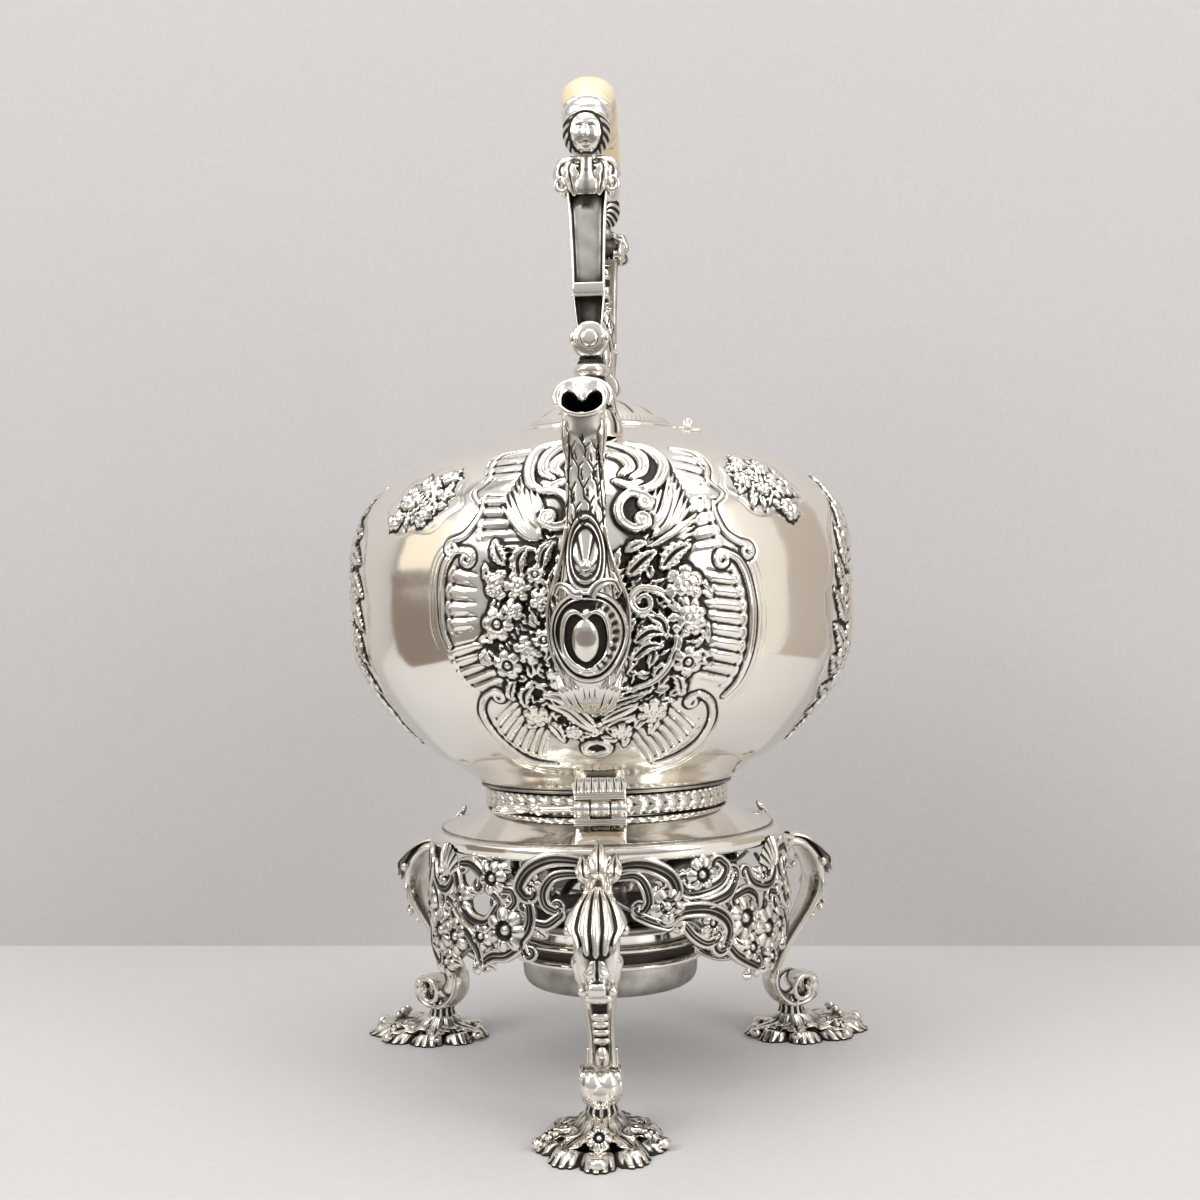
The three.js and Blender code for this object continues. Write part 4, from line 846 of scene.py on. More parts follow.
# Leaves: a run from root to tip, then width, height and the number of veins.
frontLeaves = [
    ([(-29.5, 196), (-32, 200.5), (-33, 205)], 3.6, 1.3, 5),
    ([(-24, 192.5), (-24, 197.5), (-20, 202)], 4, 1.4, 6),
    ([(-16, 194.5), (-15, 199.5), (-11, 203.5)], 3.6, 1.4, 6),
    ([(13.5, 191.5), (19, 196.5), (24, 199.5)], 4, 1.4, 6),
    ([(25, 193.5), (29.5, 198.5), (36, 201.5)], 4.4, 1.4, 6),
    ([(13, 199), (16, 201), (21, 202)], 2.6, 1.2, 5),
    ([(-14.5, 182), (-16.5, 188.5), (-19.5, 194.5)], 3.4, 1.5, 6),
    ([(-11, 180), (-12.5, 188), (-11, 195.5)], 3, 1.3, 6),
    ([(-11.5, 172), (-14, 165.5), (-16.5, 162.5)], 3, 1.4, 5),
    ([(20.5, 177), (24.5, 175), (26.5, 169)], 3, 1.2, 5),
    ([(15.5, 169), (20.5, 172), (26, 171)], 3.4, 1.3, 6),
    ([(14.5, 163), (19.5, 167), (26, 167)], 3, 1.2, 6),
    ([(16, 177.5), (19.5, 178.5), (23, 177)], 2.4, 1.1, 4),
    ([(33.5, 156), (37.5, 161.5), (43, 160)], 2.6, 1.1, 4),
    ([(34, 150), (31.5, 155.5), (28, 156.5)], 2.8, 1.2, 4),
    ([(22.5, 156.5), (24.5, 159.5), (29, 160.5)], 2.6, 1.2, 4),
    ([(-29, 155.5), (-31.5, 151), (-29, 148.5)], 2.6, 1.1, 4),
    ([(-36, 162), (-38.5, 164), (-37.5, 167.5)], 2.6, 1.1, 4),
    ([(-22.5, 154), (-26, 151), (-26.5, 145.5)], 3, 1.2, 5),
    ([(-18.5, 141), (-15.5, 137.5), (-14, 133)], 2.8, 1.1, 5),
    ([(17.5, 138.5), (19, 141), (23.5, 141)], 2.4, 1.1, 4),
    ([(0.5, 138.5), (-5.5, 141.5), (-12, 146.5), (-17, 150.5)], 3.4, 1.6, 9),
    ([(0.5, 138.5), (7, 141.5), (11.5, 145), (15.5, 147.5)], 3.4, 1.6, 8),
    ([(1.5, 144), (-1, 149.5), (-2.5, 154), (0.5, 156.5)], 3.6, 1.9, 6),
    ([(2.5, 144.5), (7, 150.5), (12.5, 152.5), (17.5, 151.5)], 3.4, 1.8, 7),
    ([(3.5, 147.5), (4.5, 153), (9, 156), (13.5, 155.5)], 3.2, 1.8, 6),
    ([(3, 144), (9, 148), (16, 150), (23.5, 152.5)], 2.4, 1.5, 7),
]

# Flowers: centre, radius and petals.
frontFlowers = [
    ((-31.5, 189), 4, 5),
    ((-24, 188), 4, 6),
    ((-32, 175.5), 4.4, 6),
    ((-26.5, 180), 3, 5),
    ((-21.5, 166.5), 4, 6),
    ((-29.5, 161.5), 4, 6),
    ((-10, 157), 4.4, 6),
    ((-23, 143.5), 3.7, 6),
    ((-9, 137.5), 2.4, 5),
    ((11.5, 137.5), 3, 6),
    ((23.5, 144.5), 4, 6),
    ((34, 161.5), 4, 6),
    ((32.5, 187.5), 5.1, 6),
    ((33.5, 176.5), 5.1, 9),
    ((-15.5, 170), 3, 5),
    ((-16.5, 183.5), 3, 5),
    ((10, 156), 2, 5),
    ((-18, 192), 2.7, 5),
]
# Water plumes: a root, the middles and tips of the first and last strand, and the number of strands.
frontPlumes = [
    ((-15.5, 203.5), [(-24, 206), (-19, 214)], [(-31.5, 216), (-26.5, 229)], 7),
    ((-13, 206), [(-21, 212), (-17, 216)], [(-25.5, 222), (-19.5, 222)], 4),
    ((21.5, 203), [(30, 206), (26, 213)], [(37, 214.5), (33, 229)], 7),
    ((19, 205.5), [(27, 211), (23, 216)], [(31.5, 222), (25.5, 221)], 4),
    ((19, 200), [(27, 201), (28, 204.5)], [(36.5, 203), (39, 212)], 5),
    ((-15, 200), [(-20, 197), (-22, 201)], [(-25, 193.5), (-30, 202)], 5),
]
# Rocaille behind the spout's neck: runs and half widths.
topRocks = [
    ([(-8, 239), (-15, 237.5), (-19, 233), (-18, 228), (-14, 225.5)], 2.6),
    ([(-7, 234.5), (-12, 233), (-14, 229.5), (-11, 227)], 2.4),
    ([(-9, 224.5), (-13.5, 222.5), (-17.5, 224)], 2.0),
    ([(9, 239), (17, 237), (22, 233), (21.5, 228), (17, 225)], 2.6),
    ([(9, 234), (14.5, 232.5), (16.5, 229), (13, 226.5)], 2.4),
    ([(10, 224), (15, 222), (20, 223.5)], 2.0),
]
leftShoulder = [
    ((-83.5, 214), 2.9), ((-77, 220.5), 3.2), ((-68, 225), 2.9), ((-61, 228), 2.5), ((-66, 215.5), 2.2)
]
rightShoulder = [
    ((83.5, 224), 4.3), ((77, 229.5), 2.5), ((63.5, 225), 2.5), ((67.5, 231), 2.2), ((82, 214.5), 3.2),
    ((71, 221.5), 2.2)
]


# Mirrors and shifts a list of places round the body, so that one design serves the front and the back.
def shifted(places, shift, mirror):
    places = np.array(places, float).reshape(-1, 2)
    if mirror:
        places[:, 0] *= -1
    return onMap(places + np.array([shift, 0]))


# Radial folds between an outer and an inner line: low waves with a few chased lines in each valley, and a
# ruffled outer edge.
def fluteBand(outer, inner, count, shift, mirror):
    outside = evenSteps(smoothPath(shifted(outer, shift, mirror), 40), count + 1)
    within = evenSteps(smoothPath(shifted(inner, shift, mirror), 40), count + 1)
    gap = np.linalg.norm(np.diff(outside, axis=0), axis=1).mean()
    for k in range(count):
        root, tip = (within[k] + within[k + 1]) / 2, (outside[k] + outside[k + 1]) / 2
        away = unit(tip - root)
        stroke([root, tip], gap * 0.5, 0.42, "flute", line=0.0)
        engrave([outside[k] - away * 0.9, tip + away * gap * 0.12, outside[k + 1] - away * 0.9], 0.4, 0.34)
        for side, first, last in ((-0.48, 0.0, 1.0), (-0.32, 0.4, 0.93), (0.3, 0.3, 0.9)):
            start = root + (tip - root) * first + (within[k + 1] - within[k]) * side
            end = root + (tip - root) * last + (outside[k + 1] - outside[k]) * side
            groove(start, end, 0.3)


# Small leaves that fill the ground between flowers. They stand in a sunflower's order and point away from
# a root.
def undergrowth(middle, half, root, count, length, shift, mirror, lift):
    rng = np.random.default_rng(5)
    for k in range(count)[::-1]:
        far, turn = math.sqrt((k + 0.5) / count), k * 2.39996
        place = np.array(middle) + np.array(half) * far * np.array([math.sin(turn), math.cos(turn)])
        way = math.atan2(place[1] - root[1], place[0] - root[0]) + rng.uniform(-0.8, 0.8)
        ahead = np.array([math.cos(way), math.sin(way)]) * length * rng.uniform(0.75, 1.3)
        bend = np.array([-ahead[1], ahead[0]]) * rng.uniform(-0.25, 0.25)
        leaf = [place - ahead / 2, place + bend, place + ahead / 2]
        stroke(shifted(leaf, shift, mirror), length * 0.3, 1.0 * lift, "leaf", veins=3, line=0.45)


# The great cartouche: folds first, then leaves, scrolls and flowers over them.
def cartouche(shift, mirror, lift):
    sign = -1 if mirror else 1
    matting((shift, 168), 37, 36, 0.3, 0.4)
    for outer, inner, count in frontFlutes:
        fluteBand(outer, inner, count, shift, mirror)
    undergrowth((2, 167), (35, 32), (1, 138), 150, 7.0, shift, mirror, lift)
    for root, middles, tips, count in frontPlumes:
        spread = [shifted(places, shift, mirror) for places in (middles, tips)]
        plume(shifted([root], shift, mirror)[0], *spread, count, 1.15, 0.9 * lift, 0.15)
    for places, width, height, startCurl, endCurl in frontScrolls[:8]:
        offsets = shifted(places, shift, mirror)
        stroke(offsets, width * 0.5, height, "scroll", startCurl=sign * startCurl, endCurl=sign * endCurl)
    for k, ((x, z), radius, petals) in enumerate(frontFlowers):
        for bend in (0.3, 2.2, 4.3):
            away = np.array([math.cos(k * 1.7 + bend), math.sin(k * 1.7 + bend)]) * radius * 2.35
            leaf = [
                (x, z), (x + away[0] * 0.55 - away[1] * 0.16, z + away[1] * 0.55 + away[0] * 0.16),
                (x + away[0], z + away[1])
            ]
            stroke(shifted(leaf, shift, mirror), radius * 0.62, 1.1 * lift, "leaf", veins=4, base=0.05)
    for places, width, height, veins in frontLeaves:
        stroke(
            shifted(places, shift, mirror), width * 0.86, height * lift * 1.5, "leaf", veins=veins,
            base=0.15
        )
    for places, width in topRocks:
        stroke(shifted(places, shift, mirror), width, 1.5 * lift, "scroll", base=0.1)
    for places, width, height, startCurl, endCurl in frontScrolls[8:]:
        offsets = shifted(places, shift, mirror)
        stroke(
            offsets, width * 0.55, height * lift, "scroll",
            startCurl=sign * startCurl, endCurl=sign * endCurl, base=0.2,
        )
    for k, ((x, z), radius, petals) in enumerate(frontFlowers):
        blossom((shift + sign * x, z), radius * 1.42, petals, 2.0 * lift, turn=k * 1.1, base=0.25, cup=0.8)
        if k % 3 != 2:
            blossom(
                (shift + sign * x, z), radius * 0.82, 5, 1.3 * lift, turn=k * 0.6, base=1.1 * lift, cup=0.85
            )


# Two thin lines repeat each of the four outer scrolls, spread a little from the cartouche's centre.
def engravedBorder(shift, mirror):
    for index, spread in ((0, 1.07), (3, 1.07), (6, 1.06), (7, 1.06)):
        places = np.array(frontScrolls[index][0], float)
        for grow in (spread, spread + 0.025):
            centre = np.array([0, 176])
            engrave(shifted(centre + (places - centre) * grow, shift, mirror), 0.22, 0.32)


# The side cartouche: a wreath of leaves and flowers round a plain oval with an engraved frame.
def wreath(shift, lift):
    count = 26
    turn = np.linspace(0, fullTurn, 120)
    for wide, high, wave in ((27, 34, 0), (25.4, 32, 0), (56, 55, 0.035), (54.2, 53.4, 0.035)):
        grow = 1 + wave * np.cos(12 * turn)
        ring = np.stack([shift + wide * grow * np.sin(turn), 180 + high * grow * np.cos(turn)], axis=1)
        engrave(onMap(ring), 0.35, 0.42)
    for k in range(count):
        angle = k / count * fullTurn
        for side in (-1, 1):
            start = (shift + 40 * math.sin(angle), 180 + 43 * math.cos(angle))
            spread = (11.0 if side > 0 else 9.5) * side
            away = angle + 0.24
            tip = (shift + (40 + spread) * math.sin(away), 180 + (43 + spread) * math.cos(away))
            stroke(onMap([start, tip]), 3.6, 1.6 * lift, "leaf", veins=4, base=0.1, line=0.5)
    for k in range(11):
        angle = (k + 0.5) / 11 * fullTurn
        place = (shift + 40 * math.sin(angle), 180 + 43 * math.cos(angle))
        blossom(place, 5.6, 6 - k % 2, 1.9 * lift, turn=k, base=0.2, cup=0.8)


# Clusters of flowers and leaves on the shoulder, inside an engraved outline.
def shoulderCluster(flowers, shift, mirror, lift):
    sign = -1 if mirror else 1
    places = np.array([place for place, _ in flowers], float)
    middle = places.mean(0)
    turn = np.linspace(0, fullTurn, 60)
    for grow in (1.0, 1.08):
        lobed = grow * (1 + 0.07 * np.cos(7 * turn))
        rim = middle + np.stack([20 * lobed * np.sin(turn), 11.5 * lobed * np.cos(turn)], axis=1)
        engrave(shifted(rim, shift, mirror), 0.3, 0.36)
    undergrowth(middle, (15, 8.5), middle, 34, 6.0, shift, mirror, 1.1)
    for (x, z), radius in flowers:
        away = unit(np.array([x, z]) - middle + 0.01) * radius * 1.9
        for bend in (-0.7, 0.7):
            turned = np.array([away[0] - bend * away[1], away[1] + bend * away[0]])
            leaf = [(x, z), (x + turned[0], z + turned[1] * 0.7)]
            stroke(shifted(leaf, shift, mirror), radius * 0.55, 0.9 * lift, "leaf", veins=4, base=0.05)
    for k, ((x, z), radius) in enumerate(flowers):
        blossom((shift + sign * x, z), radius * 1.45, 6 - k % 2, 1.9 * lift, turn=k, base=0.2, cup=0.8)


# Rubbed unevenness of the hand-raised sheet, a few hundredths of a millimetre over some centimetres.
def sheetWaves():
    x = (colStart + np.arange(bodyCols) * colStep) / 100
    s = np.arange(bodyRows)[:, None] * rowStep
    total = 0
    for turns, length, phase, size in (
        (5, 71, 0.4, 0.035), (8, 43, 1.9, 0.022), (13, 29, 4.1, 0.012), (3, 97, 2.7, 0.04)
    ):
        total = total + size * np.sin(turns * x[None] + phase) * np.sin(fullTurn * s / length + phase * 2)
    return total


for shift, mirror, lift in ((0, False, 1.0), (50 * fullTurn, True, 0.45)):
    cartouche(shift, mirror, lift)
    engravedBorder(shift, mirror)
for shift in (-25 * fullTurn, 25 * fullTurn):
    wreath(shift, 0.8)
for shift, mirror in ((0, False), (50 * fullTurn, True)):
    shoulderCluster(leftShoulder, shift, mirror, 0.8)
    shoulderCluster(rightShoulder, shift, mirror, 0.8)
print("body ornament is chased")


# Mean over a square window of the map, with the columns wrapped.
def blurred(field, size):
    wide = np.pad(np.pad(field, ((0, 0), (size, size)), mode="wrap"), ((size, size), (0, 0)), mode="edge")
    for axis in (0, 1):
        sums = np.cumsum(wide, axis=axis, dtype=np.float64)
        zero = np.zeros_like(np.take(sums, [0], axis=axis))
        sums = np.concatenate([zero, sums], axis=axis)
        span = 2 * size + 1
        count = wide.shape[axis] - span + 1
        wide = (
            np.take(sums, np.arange(span, span + count), axis=axis)
            - np.take(sums, np.arange(count), axis=axis)
        ) / span
    return wide


# The relief, half of it blurred, is added along the profile's normal. Dark is how far a place lies below
# the mean of its surroundings. The inset fades out at both ends of the profile.
def bodySurface():
    height = blurred(relief, 1) * 0.5 + relief * 0.5
    worked = smoothStep(0.02, 0.12, blurred(np.abs(relief), 8))
    deep = blurred(height, 3) * 0.5 + blurred(height, 8) * 0.5 - height
    dark = np.clip(deep / 0.45, 0, 1.2) + stain * worked * smoothStep(-0.5, 0.25, deep) * 0.8
    s = np.arange(bodyRows) * rowStep
    inset = bodyShape["inset"] * smoothStep(0, 14, s) * smoothStep(0, 10, bodyLength - s)
    height = height * smoothStep(2, 10, s)[:, None] + sheetWaves() * (1 - 0.7 * worked) - inset[:, None]
    way = unit(np.gradient(bodyProfile, axis=0))
    normal = np.stack([way[:, 1], -way[:, 0]], axis=1)
    radius = bodyProfile[:, :1] + normal[:, :1] * height
    level = bodyProfile[:, 1:] + normal[:, 1:] * height
    turn = (colStart + np.arange(bodyCols) * colStep) / 100
    points = np.stack([radius * np.sin(turn), -radius * np.cos(turn), level], axis=2)
    points[..., 1] = np.minimum(points[..., 1], 99.97)
    return points, dark


# The body is one closed surface, cut into sectors only to keep each mesh small. All sectors take their
# normals from the whole surface, so that no seam shows.
bodySectors = {
    # name, first and last degree, step in cells
    "bodyFrontLeft": (-50, 0, 1),
    "bodyFrontRight": (0, 50, 1),
    "bodyRight": (50, 135, 2),
    "bodyRear": (135, 225, 2),
    "bodyLeft": (-135, -50, 2),
}


def addBody():
    points, dark = bodySurface()
    across = np.roll(points, -1, axis=1) - np.roll(points, 1, axis=1)
    up = np.gradient(points, axis=0)
    normals = unit(np.cross(across, up))
    lipInner = np.array([[31.2, 249.7], [29.9, 248.4]])
    for name, (first, last, step) in bodySectors.items():
        start = int(round((math.radians(first) * 100 - colStart) / colStep))
        stop = int(round((math.radians(last) * 100 - colStart) / colStep))
        columns = np.arange(start, stop + 1, step) % bodyCols
        if step > 1:
            columns = np.append(columns, stop % bodyCols) if (stop - start) % step else columns
        rowPick = np.arange(0, bodyRows, 1 if step == 1 else 2)
        rowPick = rowPick if rowPick[-1] == bodyRows - 1 else np.append(rowPick, bodyRows - 1)
        part = points[np.ix_(rowPick, columns)]
        direction = part[-1, :, :2] / np.linalg.norm(part[-1, :, :2], axis=1, keepdims=True)
        lip = np.stack([
            np.concatenate([direction * r, np.full((len(columns), 1), z)], axis=1) for r, z in lipInner
        ])
        inner = bodyProfile[rowPick[::-1]][::12 // step]
        inward = np.stack([
            np.concatenate(
                [direction * max(r - 2.3, 29.5), np.full((len(columns), 1), z - (1.2 if z > 235 else 0))],
                axis=1
            )
            for r, z in inner[1:]
        ])
        whole = np.concatenate([part, lip, inward])
        # The lip and the inside of the mouth carry painted shade of 0.35.
        shade = np.concatenate([
            dark[np.ix_(rowPick, columns)], np.full((len(whole) - len(part), len(columns)), 0.35)
        ])
        piece = makePiece(
            name, [{"points": whole, "dark": shade, "centre": np.array([0.0, 0.0, 180.0])}],
            chased, "kettle", weld=False,
        )
        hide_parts("kettle_body")
        custom = normals[np.ix_(rowPick, columns)].reshape(-1, 3)
        setNormals(piece, custom)


# Gives the outer surface its shared normals; the rest keeps the ones that Blender works out.
def setNormals(piece, custom):
    mesh = piece.data
    own = np.zeros(len(mesh.vertices) * 3, np.float32)
    mesh.vertices.foreach_get("normal", own)
    own = own.reshape(-1, 3)
    own[: len(custom)] = custom
    mesh.normals_split_custom_set_from_vertices([tuple(n) for n in own])


addBody()
print("body sectors are made")


# Cast and turned pieces: shapes they share

# The same grids, turned about the upright axis by an angle in degrees.
def turnedGrids(grids, degrees):
    angle = math.radians(degrees)
    spin = np.array([
        [math.cos(angle), -math.sin(angle), 0], [math.sin(angle), math.cos(angle), 0], [0, 0, 1]
    ])
    return [
        {
            **grid, "points": grid["points"] @ spin.T,
            **({"centre": spin @ grid["centre"]} if "centre" in grid else {})
        }
        for grid in grids
    ]


# The section of a cast scroll: two raised rims with a channel between them, and a rounded back. Oxide
# lies in the channel and on the flanks, and the back carries painted shade, darkest at its middle.
def channelSection(channel, sides=20, rib=0.0):
    x = np.cos(np.linspace(0, math.pi, sides))
    middle = np.exp(-((x / 0.2) ** 2)) * min(rib, 1)
    face = (
        0.9 * np.sqrt(np.maximum(1 - np.abs(x) ** 3.5, 0)) - channel * np.exp(-((np.abs(x) / 0.55) ** 4))
        + middle
    )
    back = np.linspace(math.pi, fullTurn, max(sides // 3, 5))[1:-1]
    loop = np.concatenate([np.stack([x, face], 1), np.stack([np.cos(back), 0.8 * np.sin(back)], 1)])
    deep = 0.8 * np.exp(-((np.abs(x) / 0.45) ** 4)) * min(channel * 2, 1) - 1.3 * middle
    shade = np.concatenate([np.maximum(deep, 0), 0.15 + 0.35 * np.abs(np.sin(back)) ** 3])
    return loop, shade


# A channel section swept along a path, with its groove to the outside. The shade value adds painted shade
# over the whole strap.
def strap(path, halfWidth, halfDepth, out, channel=0.45, sides=16, shade=0.0, rib=0.0):
    loop, dark = channelSection(channel, sides, rib)
    points = sweep(path, halfWidth, halfDepth, out, loop)
    return tubeGrid(points, np.broadcast_to(dark + shade, points.shape[:2]))


# A closed leaf or shell from the grid of its face: the back lies one thickness behind it and meets it at
# the edges.
def sheet(face, thickness, out, depth=0.6):
    rows, cols = face.shape[:2]
    normal = unit(np.cross(np.gradient(face, axis=0), np.gradient(face, axis=1)))
    flip = -1 if (normal @ np.asarray(out, float)).mean() < 0 else 1
    normal = normal * flip
    u = np.linspace(-1, 1, rows)[:, None]
    v = np.linspace(-1, 1, cols)[None, :]
    taper = (1 - u**8) * (1 - v**8)
    back = face - normal * (thickness * taper)[..., None]
    dark = np.clip(recess(face, depth), -0.2, 1) * flip
    ring = np.concatenate([face, back[:, -2:0:-1]], axis=1)
    # The back is painted dark as shade under the leaf.
    darks = np.concatenate([dark, np.full((rows, cols - 2), 0.7)], axis=1)
    return tubeGrid(ring, darks)


# Three axes of a place on a cast piece: across, up and out.
def axesFrom(out, up):
    out = unit(np.asarray(out, float))
    across = unit(np.cross(np.asarray(up, float), out))
    return across, np.cross(out, across), out


# A flower as a closed polar grid: petals round a sunk ring and a dome, with a flat back.
def rosette(centre, out, up, radius, petals, height, turn=0.0, cup=0.5, sides=60):
    across, rise, out = axesFrom(out, up)
    angle = fullCircle(sides)
    lobe = np.abs(np.cos(petals * angle / 2 + turn))
    rim = radius * (0.74 + 0.26 * lobe**0.7)
    u = np.concatenate([np.linspace(0.02, 1, 15), [1.0, 0.6, 0.02]])[:, None]
    far = u * rim[None]
    flat = far / radius
    top = height * (
        (1 - cup) + cup * np.sin(math.pi * np.clip(0.15 + 0.75 * u, 0, 1))
        - 0.3 * np.exp(-(lobe[None] / 0.3) ** 2) * u
    )
    top = top - height * 0.6 * hump(flat, 0.32, 0.09)
    dome = flat < 0.25
    top = np.where(dome, height * (0.5 + 0.5 * np.sqrt(np.maximum(1 - (flat / 0.25) ** 2, 0))), top)
    top[-3:] = -0.25 * height
    points = (
        np.asarray(centre, float)
        + far[..., None] * (np.cos(angle)[None, :, None] * across + np.sin(angle)[None, :, None] * rise)
        + top[..., None] * out
    )
    dark = 0.7 * hump(flat, 0.34, 0.1) + 0.8 * np.exp(-(lobe[None] / 0.25) ** 2) * u**2
    dark = dark + 0.45 * hump(1, lobe[None], 0.03) * hump(flat, 0.6, 0.2) + 0.08
    # The flat back is painted slightly dark as shade.
    dark[-3:] = 0.25
    return tubeGrid(points, dark)


# An ellipsoid: a ball of radius 1, stretched by three half sizes along its own axes.
def bead(centre, halfSizes, out=(0, -1, 0), up=(0, 0, 1), sides=18, dark=0.0):
    across, rise, out = axesFrom(out, up)
    polar = np.linspace(0.02, math.pi - 0.02, sides // 2 + 2)[:, None]
    angle = fullCircle(sides)[None]
    parts = (np.sin(polar) * np.cos(angle), np.sin(polar) * np.sin(angle), np.cos(polar) + 0 * angle)
    points = sum(
        (size * part)[..., None] * axis for size, part, axis in zip(halfSizes, parts, (across, rise, out))
    )
    return tubeGrid(np.asarray(centre, float) + points, dark)


# An acanthus leaf along a path in space: a midrib, slanting veins and a lobed edge, rolled over at its tip.
def castLeaf(path, halfWidth, out, veins=5, height=1.6, thickness=1.2, rows=34, cols=17, blunt=0.12):
    path = smoothPath(path, rows)
    along = unit(np.gradient(path, axis=0))
    out = np.broadcast_to(np.asarray(out, float), path.shape)
    out = unit(out - np.einsum("ij,ij->i", out, along)[:, None] * along)
    across = np.cross(along, out)
    u = np.linspace(0, 1, rows)[:, None]
    v = np.linspace(-1, 1, cols)[None, :]
    swell = np.maximum(np.sin(math.pi * np.clip(u * (1 - blunt) + 0.06, 0, 1) ** 0.8) ** 0.8, 0.1)
    width = halfWidth * swell * (1 + 0.16 * np.sin(fullTurn * veins * u))
    vein = np.cos(fullTurn * (veins * u - 0.8 * np.abs(v)))
    dome = height * (0.75 * (1 - v**2) - 0.55 * np.exp(-((v / 0.16) ** 2)) + 0.2 * vein * np.abs(v))
    face = path[:, None] + across[:, None] * (v * width)[..., None] + out[:, None] * (dome * swell)[..., None]
    made = sheet(face, thickness, out.mean(0), depth=0.25)
    ribs = 0.75 * np.exp(-((v / 0.14) ** 2)) + 0.6 * np.maximum(-vein, 0) * np.abs(v)
    made["dark"][:, :cols] = np.clip(made["dark"][:, :cols] * 0.5 + ribs, 0, 1)
    # The painted shade on the back is cut to a third.
    made["dark"][:, cols:] *= 0.35
    return made


# Feet

footForm = {
    "middle": 93.5,           # from the upright axis
    "halfLength": 28.0,
    "halfWidth": 22.6,
    "neck": (86.0, 9.0, 4.6),  # distance from the axis, height, radius
    "petals": 9,
    "curl": 2.6,
    "sole": 0.05,
}


# The foot is a polar grid round its neck: the height falls in a hollow from the neck, then swells into
# rolled petal ends. Creases run out between the petals.
def footSheet():
    sides, f = 180, footForm
    angle = fullCircle(sides)[None]
    petal = np.abs(np.cos(f["petals"] * angle / 2)) ** 0.6
    small = np.abs(np.cos(f["petals"] * 2.5 * angle + 0.6))
    rim = 0.76 + 0.20 * petal + 0.04 * small
    u = np.linspace(0, 1, 34)[:, None]
    place = f["neck"][0] + (f["middle"] - f["neck"][0]) * u**0.8
    long = f["neck"][2] + (f["halfLength"] * rim - f["neck"][2]) * u
    wide = f["neck"][2] + (f["halfWidth"] * rim - f["neck"][2]) * u
    fall = (f["neck"][1] - 1.6) * (1 - smoothStep(0, 0.62, u)) ** 1.15 + 1.9
    roll = f["curl"] * np.sin(math.pi * smoothStep(0.5, 1.0, u)) * (0.45 + 0.55 * petal)
    crease = (
        1.25 * (1 - petal) ** 1.5 * smoothStep(0.1, 0.6, u) + 0.35 * (1 - small) * smoothStep(0.3, 0.8, u)
    )
    height = fall + roll - crease - 0.9 * smoothStep(0.88, 1.0, u)
    height = np.maximum(height, 0.7)
    points = np.stack([wide * np.sin(angle), -(place + long * np.cos(angle)), height], axis=2)
    edge = points[-1:].copy()
    edge[..., 2] = f["sole"]
    middle = np.broadcast_to(np.array([0, -f["middle"], f["sole"]]), edge.shape)
    top = np.broadcast_to(np.array([0, -f["neck"][0], f["neck"][1]]), edge.shape)
    whole = np.concatenate([top, points, edge, middle])
    dark = (
        np.clip(recess(points, 0.35, wrapCols=True, windows=(2, 4)), 0, 1) * 0.7 + 0.55 * (1 - petal) * u
        + 0.25 * (1 - small) * u + 0.35 * smoothStep(0.05, 0.3, u) * (1 - smoothStep(0.4, 0.6, u))
    )
    # The rim's edge and the sole are painted fully dark as shade under the foot.
    dark = np.concatenate([dark[:1], dark, np.ones((2, sides))])
    return tubeGrid(whole, dark)


# Leaves run out from the neck over the foot, each with a bead at its tip, between two curls and three
# flowers.
def footGrids():
    f = footForm
    grids = [footSheet()]
    up = np.array([0, 0, 1.0])
    for turn in (-62, -30, 0, 30, 62, 112, -112, 180):
        angle = math.radians(turn)
        away = np.array([math.sin(angle) * 0.86, -math.cos(angle), 0])
        start = np.array([0, -f["neck"][0], 7.6]) + away * 3.5
        tipRadius = (f["halfLength"] + (6.5 if abs(turn) < 90 else -7)) * 0.82
        path = [
            start, start + away * tipRadius * 0.3 + up * -2.8, start + away * tipRadius * 0.68 + up * -3.3,
            start + away * tipRadius * 0.86 + up * -3.6
        ]
        grids.append(castLeaf(path, 5.4 if turn % 60 else 4.6, up, veins=4, height=1.5, thickness=1.0))
        tip = start + away * tipRadius * 0.86
        grids.append(bead((tip[0], tip[1], 2.5), (2.9, 2.3, 1.9), up, away))
    for side in (-1, 1):
        loop = spiralPoints((side * 11.5, 96.0), 5.2, 1.4, 90, side * 420, 46)
        path = np.stack([loop[:, 0], -loop[:, 1], np.linspace(4.6, 6.6, len(loop))], axis=1)
        grids.append(strap(path, 1.15, 1.3, up, 0.3, 10))
        grids.append(rosette((side * 16.5, -99, 5.2), (side * 0.4, -0.2, 1), (0, -1, 0), 3.3, 5, 1.5))
    grids.append(rosette((0, -107.5, 6.4), (0, -0.75, 0.65), (0, 0.6, 1), 4.4, 7, 2.2, cup=0.7))
    grids.append(bead((0, -119.0, 2.6), (3.4, 2.4, 2.0), up, (0, -1, 0)))
    return grids


# Legs

